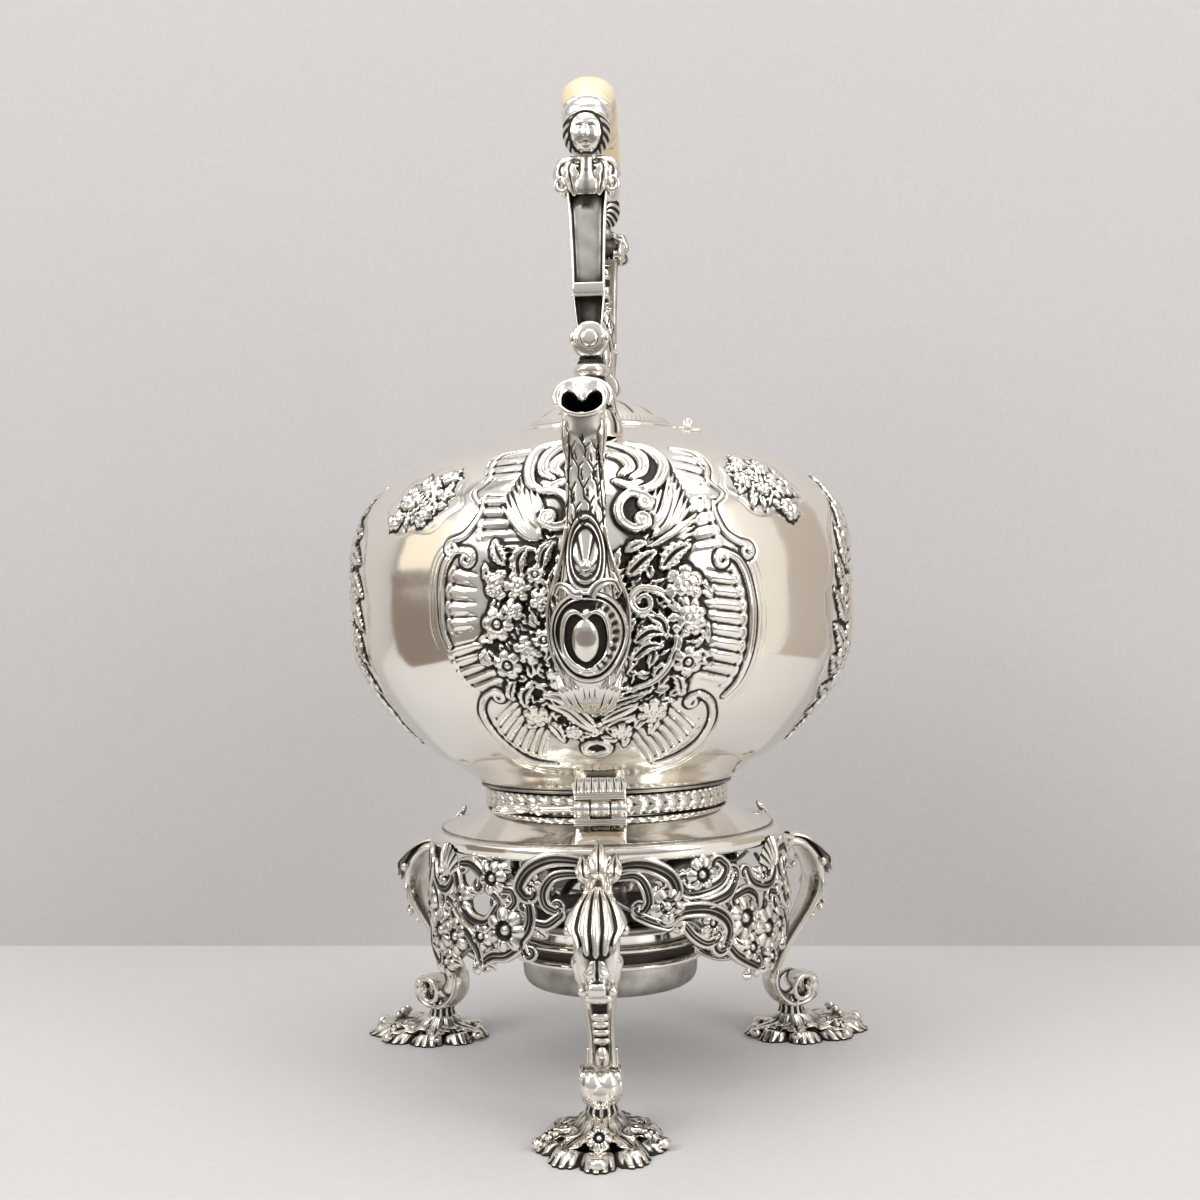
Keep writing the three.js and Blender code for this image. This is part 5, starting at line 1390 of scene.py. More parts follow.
legForm = {
    # distance from the axis, height, half width, half depth, from the inner curl over the knee to the
    # lower scroll
    "run": (
        (88.0, 72.6, 3.2, 1.0), (85.8, 70.6, 4.0, 1.4), (83.2, 72.2, 4.6, 1.9), (82.4, 76.4, 5.0, 2.3),
        (84.6, 80.2, 5.4, 2.5), (88.8, 80.6, 6.6, 2.7), (93.4, 77.6, 7.4, 2.9), (97.2, 72.0, 7.9, 3.1),
        (98.6, 65.8, 7.8, 3.1), (97.5, 59.4, 7.4, 3.0), (94.2, 53.2, 6.7, 2.8), (89.5, 46.8, 5.8, 2.6),
        (84.5, 40.4, 5.1, 2.5), (79.8, 34.0, 4.8, 2.4), (76.6, 28.0, 4.8, 2.4), (75.7, 22.4, 4.9, 2.4),
        (77.7, 17.4, 5.2, 2.4), (81.9, 13.9, 5.9, 2.3), (87.2, 12.9, 6.0, 2.2), (92.2, 14.4, 6.3, 2.1),
        (94.6, 18.6, 6.4, 1.9), (93.3, 22.7, 6.5, 1.7), (89.5, 24.2, 6.4, 1.5), (86.9, 21.8, 6.3, 1.3),
        (87.8, 19.0, 6.0, 1.0),
    ),
    "shellRun": ((86.0, 85.2), (91.5, 83.5), (97.3, 78.5), (101.0, 72.5), (102.4, 66.6)),
    "shellSpread": 10.9,
    "ribs": (45.2, 42.0, 38.7, 35.3, 32.0),
    "knobHeight": 24.2,
}


# A scallop shell down the knee: flutes spread from its hinge at the top, and each ends in a round lobe.
def kneeShell():
    rows, cols = 46, 61
    run = smoothPath([(0, -r, z) for r, z in legForm["shellRun"]], rows)
    along = unit(np.gradient(run, axis=0))
    across = np.array([1.0, 0, 0])
    out = np.cross(across, along)
    out = out * np.sign((out @ np.array([0, -1.0, 0.3])).mean())
    u = np.linspace(0, 1, rows)[:, None]
    v = np.linspace(-1, 1, cols)[None, :]
    flutes = 2.5
    fold = np.abs(np.cos(math.pi * flutes * v))
    spread = (
        legForm["shellSpread"] * (0.24 + 0.76 * np.sin(math.pi * 0.5 * np.clip(u * 1.25, 0, 1)) ** 1.5)
        * (1 - 0.26 * smoothStep(0.74, 1.0, u))
    )
    droop = 2.4 * fold * u**3 - 5.4 * v**2 * u**2
    dome = (
        2.6 * (1 - v**2) * np.sin(math.pi * (0.15 + 0.75 * u)) - 1.2 + 1.5 * fold * smoothStep(0.05, 0.4, u)
        + 1.5 * smoothStep(0.6, 1, u)
    )
    face = (
        run[:, None] + across * (v * spread)[..., None] + out[:, None] * dome[..., None]
        + along[:, None] * droop[..., None]
    )
    made = sheet(face, 1.6, (0, -1, 0.2), 0.4)
    made["dark"][:, :cols] = np.clip(
        0.85 * (1 - fold) ** 2.2 * smoothStep(0.05, 0.3, u) + made["dark"][:, :cols] * 0.4 + 0.1, 0, 1
    )
    # The painted shade on the back is halved.
    made["dark"][:, cols:] *= 0.5
    return made


# The lobed bud that laps over the rim: three petals round a bright middle one.
def rimBud():
    grids = []
    for x, lean, wide, high in ((-5.0, -2.4, 2.9, 8.6), (5.0, 2.4, 2.9, 8.6), (0, 0, 3.5, 14.0)):
        path = [
            (x * 0.3, -73.0, 85.6), (x, -76.6, 87.2), (x * 1.1, -75.8, 85.6 + high * 0.5),
            (x * 0.7 + lean, -71.2, 85.4 + high)
        ]
        grids.append(castLeaf(path, wide, (0, -1, 0.15), veins=2, height=2.0, thickness=2.0, blunt=0.04))
    grids.append(bead((-4.6, -74.8, 87.2), (3.0, 2.7, 2.4)))
    grids.append(bead((4.6, -74.8, 87.2), (3.0, 2.7, 2.4)))
    grids.append(bead((0, -77.0, 86.4), (2.7, 2.4, 2.2)))
    bridge = smoothPath(
        [(0, -86.6, 82.4), (0, -81.0, 83.8), (0, -75.4, 85.4), (0, -71.2, 88.0), (0, -69.4, 92.6)], 26
    )
    grids.append(strap(bridge, np.linspace(5.4, 4.2, 26), 1.9, (0, -0.4, 1), 0.3, 12))
    return grids


# The leg's middle line with its widths, that line in space, and the way out of its face at each point.
def legLine():
    rows = smoothPath(legForm["run"], 150)
    path = np.stack([np.zeros(len(rows)), -rows[:, 0], rows[:, 1]], axis=1)
    along = unit(np.gradient(path, axis=0))
    out = np.cross(np.array([1.0, 0, 0]), along)
    if out[60] @ np.array([0, -1.0, 0]) < 0:
        out = -out
    return rows, path, out


# The leg's bar, with a channel down its face that deepens on the shin. Its face carries added painted
# shade for the darker room it mirrors, and the painted shade on its back is lightened.
def legBar(rows, path, out):
    share = np.linspace(0, 1, len(rows))
    channel = 0.25 + 0.3 * smoothStep(0.38, 0.46, share) * (1 - smoothStep(0.62, 0.7, share))
    sides = 18
    made = [channelSection(amount, sides) for amount in channel]
    points = sweep(path, rows[:, 2], rows[:, 3], out, np.array([loop for loop, _ in made]))
    shades = np.array([dark for _, dark in made])
    shades = np.concatenate([shades[:1], shades, shades[-1:]])
    shades[:, :sides] += 0.16
    shades[:, sides:] *= 0.4
    return tubeGrid(points, shades)


# One side of the leg: a leaf and two beads at the knee, the rim of the lower scroll and the edge of the
# shin.
def legSide(rows, side):
    leaf = [
        (side * 3.0, -97.8, 70.0), (side * 5.6, -99.0, 63.0), (side * 5.4, -97.8, 57.0),
        (side * 3.4, -94.4, 51.4),
    ]
    curl = spiralPoints((88.5, 18.9), 6.6, 1.4, 30, 400, 50)
    rim = np.stack([np.full(len(curl), side * 6.4), -curl[:, 0], curl[:, 1]], axis=1)
    edge = rows[95:118]
    line = np.stack([side * edge[:, 2] * 0.98, -edge[:, 0], edge[:, 1]], axis=1)
    return [
        castLeaf(leaf, 2.9, (side * 0.3, -1, 0), veins=3, height=1.8, thickness=1.3),
        bead((side * 9.6, -97.5, 72.6), (1.5, 1.9, 1.7)),
        bead((side * 5.2, -98.6, 52.5), (1.5, 1.7, 1.6)),
        strap(rim, 0.9, 0.9, (side, 0, 0), 0.0, 8),
        strap(line, 0.7, 0.8, (side, -0.4, 0), 0.0, 8, 0.1),
    ]


# Under the shell: a bead painted fully dark as the shade of a hollow, a leaf with a clasp, then cross
# ribs and a long knob down the shin.
def legFront(rows, out):
    middle = [(0, -99.6, 64.0), (0, -99.6, 57.6), (0, -96.8, 51.6)]
    grids = [
        bead((0, -99.9, 65.4), (5.4, 2.4, 2.2), (0, -1, 0), dark=1.0),
        castLeaf(middle, 4.2, (0, -1, -0.1), veins=3, height=2.0, thickness=1.6),
        bead((0, -95.2, 49.2), (5.2, 1.7, 2.2), (0, -0.86, 0.5), (0, 0.5, 0.86)),
    ]
    shin = 75
    for z in legForm["ribs"]:
        near = shin + np.abs(rows[shin:110, 1] - z).argmin()
        place, normal = rows[near], out[near]
        centre = np.array([0, -place[0], place[1]]) + normal * place[3] * 0.55
        grids.append(bead(centre, (3.2, 1.55, 1.6), normal, (0, 0, 1)))
    place = rows[shin + np.abs(rows[shin:120, 1] - legForm["knobHeight"]).argmin()]
    centre = np.array([0, -place[0], place[1]]) + np.array([0, -1, 0]) * place[3] * 0.8
    return grids + [bead(centre, (2.5, 4.9, 2.3), (0, -1, 0), (0, 0, 1))]


# The heart at the lower scroll, the fluted neck over the foot, and the spur that curls out under the knee.
def legHeart():
    heart = np.array([0, -93.2, 18.6])
    grids = []
    for side in (-1, 1):
        grids.append(bead(heart + np.array([side * 2.9, -1.2, 1.2]), (4.1, 5.4, 3.6), (side * 0.2, -1, 0.1)))
        grids.append(bead(heart + np.array([side * 5.7, -0.2, 4.2]), (1.9, 2.0, 2.2), (0, -1, 0)))
    grids.append(bead(heart + np.array([0, -1.6, -1.6]), (5.0, 5.0, 3.7), (0, -1, -0.1)))
    neck = [(0.1, 7.8), (4.9, 8.2), (5.4, 9.6), (4.8, 11.0), (5.2, 13.5), (5.6, 15.0), (0.1, 16.0)]
    neckPlace = -86.0
    column = revolved(neck, 48, 0, neckPlace)
    angle = fullCircle(48)
    flute = 1 + 0.07 * np.cos(12 * angle)
    column[..., 0] *= flute
    column[..., 1] = neckPlace + (column[..., 1] - neckPlace) * flute
    grids.append(tubeGrid(column, 0.45 - 0.45 * np.cos(12 * angle)))
    spur = [(0, -100.0, 56.5), (0, -102.4, 54.6), (0, -102.0, 52.2), (0, -100.2, 52.6), (0, -100.4, 54.0)]
    return grids + [strap(smoothPath(spur, 24), 3.0, 0.9, (0, -1, 0), 0.0, 10)]


# One leg at the front: its bar, knee shell, bud, both sides, the leaf and beads before it, and its heart.
def legGrids():
    rows, path, out = legLine()
    grids = [legBar(rows, path, out), kneeShell()] + rimBud()
    for side in (-1, 1):
        grids += legSide(rows, side)
    return grids + legFront(rows, out) + legHeart()


# Foot and leg are made once, and turned by 0, 120 and 240 degrees.
def addLegs():
    feet, legs = footGrids(), legGrids()
    for place, degrees in (("front", 0), ("right", 120), ("left", 240)):
        makePiece(
            "castFoot" + place.title(), turnedGrids(feet, degrees), cast, "stand",
            ["foot_" + place]
        )
        makePiece(
            "castLeg" + place.title(), turnedGrids(legs, degrees), cast, "stand",
            ["leg_" + place]
        )


addLegs()
print("legs and feet are made")


# Aprons: pierced panels of scrolls and flowers on a drum between the legs

apron = {
    "radius": 67.6,
    "scrolls": (
        # (mm round the drum from the panel's middle, height), half width, curl radius at the start and at
        # the end
        (
            ((-67.5, 87.2), (-61.5, 89.4), (-54.0, 89.0), (-46.8, 85.2), (-44.0, 79.8), (-45.2, 77.2)), 1.9,
            0, -2.2
        ),
        (((-66.5, 84.6), (-59.0, 85.6), (-55.4, 82.2), (-54.0, 76.5), (-55.4, 73.4)), 1.3, 0, -2.0),
        (
            ((-42.5, 81.2), (-40.0, 78.6), (-33.5, 78.8), (-26.5, 81.0), (-23.3, 85.6), (-26.0, 88.6)), 1.7,
            -2.0, 1.8
        ),
        (((-39.5, 77.0), (-34.0, 74.2), (-29.0, 74.4), (-22.5, 76.6), (-18.6, 81.5)), 1.6, -1.8, 2.4),
        (
            (
                (-46.5, 69.6), (-44.0, 71.4), (-39.5, 72.4), (-31.5, 71.6), (-25.0, 68.0), (-22.4, 63.0),
                (-24.4, 57.4)
            ),
            2.0, -2.6, -2.4
        ),
        (((-42.0, 75.5), (-37.5, 79.6)), 0.9, 0, 0),
        (((-23.5, 58.5), (-19.5, 54.0), (-14.5, 50.8), (-8.0, 47.6)), 1.5, 2.0, 1.8),
        (((-19.0, 74.8), (-13.0, 76.2), (-8.0, 73.6), (-6.8, 69.8)), 1.3, 1.6, -1.8),
        (((-12.0, 83.4), (-9.4, 79.0), (-3.0, 76.6), (3.4, 76.8), (7.6, 80.6), (8.8, 84.4)), 1.5, 1.6, 1.6),
        (((68.0, 89.2), (63.0, 91.2), (54.0, 91.6), (46.0, 88.0), (41.8, 81.8), (43.6, 78.4)), 1.9, 0, 2.4),
        (((67.0, 85.6), (61.0, 86.6), (54.6, 85.4), (51.0, 80.5), (51.6, 75.5), (54.6, 73.6)), 1.3, 0, 1.8),
        (((45.4, 74.6), (45.8, 70.0), (44.6, 66.0), (41.8, 62.0), (43.2, 57.6)), 1.5, 1.8, 1.8),
        (((35.0, 79.8), (38.6, 79.4), (39.8, 76.0), (37.4, 73.2)), 1.1, 1.4, -1.4),
        (((10.6, 82.6), (12.5, 77.0), (16.5, 69.6), (22.0, 66.8), (28.0, 67.4), (32.6, 73.4)), 2.0, 2.2, 2.0),
        (((25.4, 80.4), (31.0, 77.6), (34.8, 74.0)), 1.1, -1.4, 1.2),
        (((14.0, 87.6), (20.0, 87.8), (25.0, 84.6), (24.6, 80.6)), 1.5, 1.4, -1.8),
        (((7.0, 67.6), (11.4, 64.6), (17.6, 62.2), (22.0, 57.4), (23.4, 52.8)), 1.5, -1.8, -1.6),
        (((41.0, 60.0), (35.6, 56.6), (29.6, 55.6), (24.4, 52.4)), 1.6, 1.8, 1.2),
        (((4.0, 73.2), (9.0, 71.6), (12.8, 68.4)), 1.2, 1.5, 1.2),
        (((-40.8, 66.6), (-37.6, 62.6), (-32.6, 59.6), (-27.6, 60.4)), 1.2, 1.4, 1.4),
        (((56.5, 71.4), (52.0, 68.4), (47.0, 68.8)), 1.2, 1.4, 1.2),
        (((-58.0, 71.6), (-53.0, 69.2), (-47.5, 67.2)), 1.2, -1.4, 1.4),
    ),
    "bars": (
        # thin stems that tie the flowers to the scrolls and the panel to the legs and the rim
        ((-67.5, 77.6), (-61.0, 73.8), (-55.0, 72.6), (-47.5, 74.5), (-41.0, 73.6)),
        ((67.5, 77.6), (61.0, 73.8), (54.5, 73.6), (47.5, 74.8), (45.0, 77.2)),
        ((-45.0, 67.0), (-38.0, 67.4), (-32.5, 63.0), (-27.0, 57.5), (-20.0, 56.0)),
        ((-21.0, 72.0), (-15.0, 66.5), (-8.5, 62.4), (-1.5, 60.5), (4.6, 62.0), (9.5, 60.0), (17.0, 61.6)),
        ((-19.6, 54.2), (-11.0, 55.0), (-4.0, 51.0), (2.0, 49.0), (8.0, 51.4), (15.0, 56.0), (20.6, 57.2)),
        ((-34.0, 84.5), (-29.8, 80.4)), ((30.5, 83.6), (33.4, 79.0), (36.6, 74.2)),
        ((36.0, 65.5), (40.0, 62.6)), ((36.0, 65.5), (30.6, 68.4)), ((36.0, 66.5), (36.4, 73.0)),
        ((-3.0, 80.0), (-1.0, 77.0)), ((24.6, 62.3), (25.0, 67.0)), ((29.0, 55.8), (24.6, 62.3)),
        ((13.5, 74.5), (17.0, 69.6)),
        ((-15.0, 66.5), (-12.0, 73.8)), ((-1.5, 60.5), (2.2, 66.6), (4.6, 72.0)),
        ((-6.6, 45.8), (-6.0, 50.4)),
        ((-30.0, 90.6), (-26.6, 88.6)), ((18.0, 90.6), (18.4, 88.0)), ((-50.0, 90.8), (-50.4, 87.8)),
        ((50.0, 91.0), (50.0, 90.0)),
    ),
    "flowers": (
        # mm round the drum, height, radius, petals, rise
        (-34.0, 84.4, 4.3, 6, 2.2), (-47.5, 74.5, 4.6, 5, 2.0), (-15.0, 66.4, 5.3, 6, 2.6),
        (-1.5, 60.5, 5.4, 7, 2.7),
        (-11.0, 55.0, 3.6, 5, 2.1), (2.0, 49.2, 3.7, 5, 2.1), (-3.0, 80.0, 2.6, 5, 1.6),
        (13.5, 74.4, 4.0, 6, 2.2),
        (30.4, 83.8, 4.2, 6, 2.3), (36.0, 65.6, 5.6, 7, 2.8), (24.4, 62.2, 3.6, 5, 2.0),
        (9.5, 60.0, 4.6, 6, 2.3),
        (-20.6, 82.0, 2.4, 5, 1.5), (-30.0, 66.6, 2.8, 5, 1.7), (46.4, 83.0, 2.4, 5, 1.4),
    ),
    "buds": (
        (-32.5, 63.0, 2.2, 3.0), (-27.0, 57.5, 2.0, 2.6), (23.6, 51.2, 2.6, 2.4), (43.0, 56.2, 1.8, 2.0),
        (-6.6, 45.4, 1.8, 2.6), (20.4, 91.0, 2.0, 1.8), (37.0, 72.0, 1.6, 2.0)
    ),
    "leaves": (
        # two ends and half width
        ((-14.8, 66.5), (-24.0, 66.2), 2.3), ((-15.0, 68.0), (-14.4, 75.4), 2.2),
        ((-1.5, 60.5), (-4.6, 70.2), 2.3),
        ((-1.2, 60.5), (6.6, 66.6), 2.2), ((-11.0, 55.0), (-18.0, 59.6), 2.2),
        ((2.0, 49.0), (-4.0, 45.4), 2.0),
        ((2.2, 49.4), (10.4, 48.6), 2.0), ((36.0, 65.6), (43.0, 70.0), 2.2),
        ((36.0, 65.0), (31.6, 58.6), 2.2),
        ((36.0, 66.6), (33.4, 73.6), 2.0), ((24.4, 62.4), (17.4, 65.8), 1.9), ((9.5, 60.0), (3.8, 55.2), 2.1),
        ((9.6, 60.2), (15.8, 66.0), 2.1), ((13.5, 74.4), (20.6, 76.6), 2.0), ((13.4, 74.8), (9.0, 79.4), 1.8),
        ((-47.6, 74.4), (-50.2, 81.8), 2.0), ((-34.0, 84.4), (-41.6, 86.6), 2.1),
        ((-34.0, 84.6), (-30.0, 90.6), 2.0),
        ((30.4, 84.0), (37.6, 86.6), 2.1), ((30.4, 84.0), (25.4, 90.0), 2.0),
        ((-45.8, 67.0), (-39.8, 63.2), 1.8),
        ((23.8, 52.0), (17.4, 50.4), 1.7), ((23.8, 52.0), (29.6, 50.2), 1.7),
        ((46.0, 67.0), (51.0, 63.0), 1.8),
        ((-9.8, 46.8), (-14.8, 45.6), 1.5), ((-3.0, 80.0), (-8.0, 84.0), 1.6),
    ),
    "shell": (4.2, 80.6, 92.8, 8.8),   # mm round the drum, hinge height, rim height, half width
}


# Bends a flat drawing round a drum: the angle is the sideways place over the drum's radius.
def onDrum(places):
    places = np.asarray(places, float)
    angle = places[..., 0] / apron["radius"]
    radius = apron["radius"]
    return around(radius, angle, places[..., 1])


# The level direction away from the drum's axis at each place of the drawing.
def drumOut(places):
    angle = np.asarray(places, float)[..., 0] / apron["radius"]
    return np.stack([np.sin(angle), -np.cos(angle), 0 * angle], axis=-1)


# A fan shell that stands on the rim: flutes spread from its hinge, with a lobe at the end of each.
def fanShell(middle, low, high, halfWidth, flutes, outward=2.6):
    u = np.linspace(0, 1, 26)[:, None]
    v = np.linspace(-1, 1, 73)[None, :]
    fold = np.abs(np.cos(math.pi * flutes * v / 2)) ** 0.8
    angle = v * 1.35
    reach = (high - low) * (0.14 + 0.86 * u) * (0.92 + 0.08 * fold)
    x = middle + reach * np.sin(angle) * halfWidth / (high - low)
    z = low + reach * np.cos(angle) + 0.12 * (high - low) * u
    face = onDrum(np.stack([x, z], axis=-1))
    lift = (
        0.8 + outward * np.sin(math.pi * (0.25 + 0.6 * u)) + 0.9 * fold * smoothStep(0.1, 0.4, u)
        - 0.9 * v**2
    )
    face = face + drumOut(np.stack([x, z], axis=-1)) * lift[..., None]
    made = sheet(face, 1.3, (0, -1, 0), 0.4)
    made["dark"][:, :73] = np.clip(
        0.95 * (1 - fold) ** 1.4 * smoothStep(0.0, 0.3, u) + made["dark"][:, :73] * 0.3, 0, 1
    )
    return made


# Each scroll bulges outwards from the drum in the middle and thins to its ends, where a bead closes
# each curl. Leaves and flowers lie on the same drum.
def apronGrids():
    grids = []
    for path, halfWidth, startCurl, endCurl in apron["scrolls"]:
        path = smoothPath(path, 30)
        if startCurl:
            path = np.concatenate([curlFrom(path[1], path[0], startCurl)[::-1], path[1:]])
        if endCurl:
            path = np.concatenate([path[:-1], curlFrom(path[-2], path[-1], endCurl)])
        path = evenSteps(path, max(int(len(path) * 0.7), 12))
        share = np.linspace(-1, 1, len(path))
        width = (halfWidth * 1.35 + 0.25) * (1.12 - 0.62 * np.abs(share) ** 2.2)
        lift = 1.6 * (1 - share**2) + 0.9 * np.abs(share) ** 3
        points = onDrum(path) + drumOut(path) * lift[:, None]
        # The straps' shade of 0.14 is painted shade, for the darker room that the aprons mirror.
        grids.append(strap(points, width, width * 0.75 + 0.3, drumOut(path), 0.5, 15, 0.14, 0.5))
        for at in (0, -1):
            if (startCurl, endCurl)[at]:
                place = path[at]
                grids.append(
                    bead(
                        onDrum(place) + drumOut(place) * 1.4, (halfWidth * 0.62, halfWidth * 0.62, 1.5),
                        drumOut(place)
                    )
                )
    for path in apron["bars"]:
        path = smoothPath(path, 8 * len(path))
        grids.append(tubeGrid(sweep(onDrum(path), 0.85, 1.0, drumOut(path), roundSection(8)), 0.35))
    for index, (x, z, radius, petals, rise) in enumerate(apron["flowers"]):
        place = np.array([x, z])
        grids.append(
            rosette(
                onDrum(place) + drumOut(place) * 1.2, drumOut(place), (0, 0, 1), radius * 1.5, petals,
                rise * 1.2, index * 0.7, 0.6, 48
            )
        )
    for x, z, half, tall in apron["buds"]:
        place = np.array([x, z])
        grids.append(bead(onDrum(place) + drumOut(place) * 0.7, (half, tall, 1.9), drumOut(place)))
    for start, end, halfWidth in apron["leaves"]:
        start, end = np.array(start), np.array(end)
        way = end - start
        bend = np.array([-way[1], way[0]]) * 0.14
        path = smoothPath([start + way * 0.1, start + way * 0.45 + bend, start + way * 0.8 + bend, end], 24)
        lift = np.interp(np.linspace(0, 1, 24), [0, 0.5, 1], [0.9, 1.9, 0.6])
        grids.append(
            castLeaf(
                onDrum(path) + drumOut(path) * lift[:, None], halfWidth * 1.55, drumOut(path[12]), veins=3,
                height=1.1, thickness=0.9, rows=20, cols=11
            )
        )
    middle, low, high, halfWidth = apron["shell"]
    grids.append(fanShell(middle, low, high, halfWidth, 9))
    return grids


# The apron is made once, and turned by 60, 180 and -60 degrees.
def addAprons():
    grids = apronGrids()
    for place, degrees in (("right", 60), ("rear", 180), ("left", -60)):
        makePiece(
            "castApron" + place.title(), turnedGrids(grids, degrees), cast, "stand",
            ["apron_" + place]
        )


addAprons()
print("aprons are made")


# Stand: skirt, laurel band, burner ring, brackets

standShape = {
    "skirt": (
        # radius, height: down the plain rim, under it, and back inside
        (46.3, 103.9), (48.6, 103.4), (51.4, 102.2), (55.2, 100.0), (59.4, 97.9), (63.2, 96.4),
        (64.6, 96.1), (65.2, 96.5),
        (66.0, 95.5), (67.6, 95.9), (69.0, 95.4), (69.6, 94.2), (69.5, 92.2), (69.0, 90.9), (67.4, 90.3),
        (65.6, 90.6),
        (64.9, 92.4), (63.4, 94.0), (59.0, 95.8), (54.6, 98.0), (50.8, 100.2), (46.3, 102.0),
    ),
    "band": (46.2, 104.2, 112.0),
    "bandLeaves": 48,
    "bandBeads": 84,
}


# A turned profile, with painted shade on its underside and inside, dark at its steps, and a faint ripple of
# tone round it.
def skirtGrids():
    profile = smoothPath(standShape["skirt"], 90)
    points = revolved(profile, 288)
    angle = fullCircle(288)
    x, z = profile[:, 0], profile[:, 1]
    dark = (
        0.55 * hump(x, 65.4, 0.7) * (z > 94.5) + 0.5 * smoothStep(103.0, 104.2, z)
        + 0.8 * ((z < 94.5) & (x < 65.5))
    )
    dark = dark + 0.35 * ((z < 101.5) & (x < 65.0) & (np.arange(len(z)) > 54))
    ripple = 0.5 + 0.5 * np.cos(6 * angle + 0.8)
    dark = dark[:, None] + 0.12 * ripple[None] * hump(x, 56, 6)[:, None]
    return [hoopGrid(points, dark)]


# The laurel band: overlapping leaves in pairs that lean one way, between two rows of beads.
def laurelGrids():
    inner, low, high = standShape["band"]
    cols = 1008
    angle = fullCircle(cols)[None, :]
    z = np.linspace(low, high, 30)[:, None]
    t = (z - low) / (high - low)
    beads = np.abs(np.cos(standShape["bandBeads"] * angle / 2))
    lean = angle * standShape["bandLeaves"] / fullTurn
    cell = (lean + 0.9 * np.abs(t - 0.5)) % 1.0
    leafHigh = (
        np.sqrt(np.maximum(np.sin(math.pi * np.clip(cell, 0, 1)), 0)) * (1 - (np.abs(t - 0.5) / 0.36) ** 4)
    )
    rib = hump(t, 0.5, 0.045)
    middle = 0.9 + 1.1 * np.clip(leafHigh, 0, 1) - 0.5 * rib
    lower = hump(t, 0.10, 0.075, 4) * (0.7 + 0.9 * beads)
    upper = hump(t, 0.90, 0.075, 4) * (0.7 + 0.9 * beads)
    inside = (np.abs(t - 0.5) < 0.36)
    rise = np.where(inside, middle, 0.2) + lower + upper
    radius = inner + np.clip(rise, 0, 2.35)
    dark = np.clip(0.9 - 0.5 * rise, 0.04, 0.75)
    face = around(radius, angle, z)
    lowEdge = around(44.4, angle, low)
    highEdge = around(44.4, angle, high)
    return [hoopGrid(np.concatenate([lowEdge, face, highEdge]), np.concatenate([dark[:1], dark, dark[-1:]]))]


# A turned ring with two rolled edges and a dark hollow between them.
def burnerRingGrids():
    angle = fullCircle(288)[None]
    run = smoothPath(
        [
            (36.3, 45.2), (37.4, 44.6), (38.4, 45.3), (38.3, 46.5), (37.3, 47.2), (36.9, 49.0),
            (37.3, 50.8), (38.4, 51.6), (38.4, 52.8), (37.4, 53.4), (36.3, 52.8), (35.9, 49.0), (36.3, 45.2)
        ],
        48
    )[:-1]
    radius = run[:, 0][:, None] + 0 * angle
    points = around(radius, angle, run[:, 1][:, None])
    dark = 0.95 * hump(run[:, 1], 49.0, 2.1, 4)[:, None] + 0.03 * np.cos(96 * angle)
    return [hoopGrid(points, dark)]


# A channelled strap from the burner ring out to the apron, with one leaf on it and a bead at the ring.
def bracketGrids():
    path = smoothPath(
        [
            (0, -38.6, 50.0), (0, -44.0, 47.8), (0, -50.5, 46.8), (0, -57.0, 48.4), (0, -62.0, 51.6),
            (0, -66.5, 53.0), (0, -71.0, 52.0)
        ],
        50
    )
    out = (0, -0.1, 1)
    width = np.interp(np.linspace(0, 1, 50), [0, 0.5, 1], [2.4, 3.4, 2.6])
    return [
        strap(path, width, 1.3, out, 0.4, 12),
        castLeaf(
            [(0, -45.0, 49.2), (0, -51.0, 48.6), (0, -57.5, 50.6), (0, -62.0, 53.6)], 3.4, (0, 0.1, 1),
            veins=4, height=1.0
        ),
        bead((0, -40.2, 49.6), (2.8, 2.4, 2.4)),
    ]


# Skirt, laurel band and ring are whole turns; one bracket is turned to three places.
def addStand():
    makePiece("standSkirt", skirtGrids(), plain, "stand", ["stand_skirt"])
    makePiece("laurelWreath", laurelGrids(), cast, "stand", ["laurel_band"])
    makePiece("beadedRing", burnerRingGrids(), plain, "stand", ["burner_ring"])
    arms = bracketGrids()
    for place, degrees in (("right", 60), ("rear", 180), ("left", -60)):
        makePiece(
            "castBracket" + place.title(), turnedGrids(arms, degrees), cast, "stand",
            ["burner_bracket_" + place]
        )


addStand()
print("skirt, laurel band, burner ring and brackets are made")


# Turned pieces: profiles of radius and height, each closed on the axis or back on itself

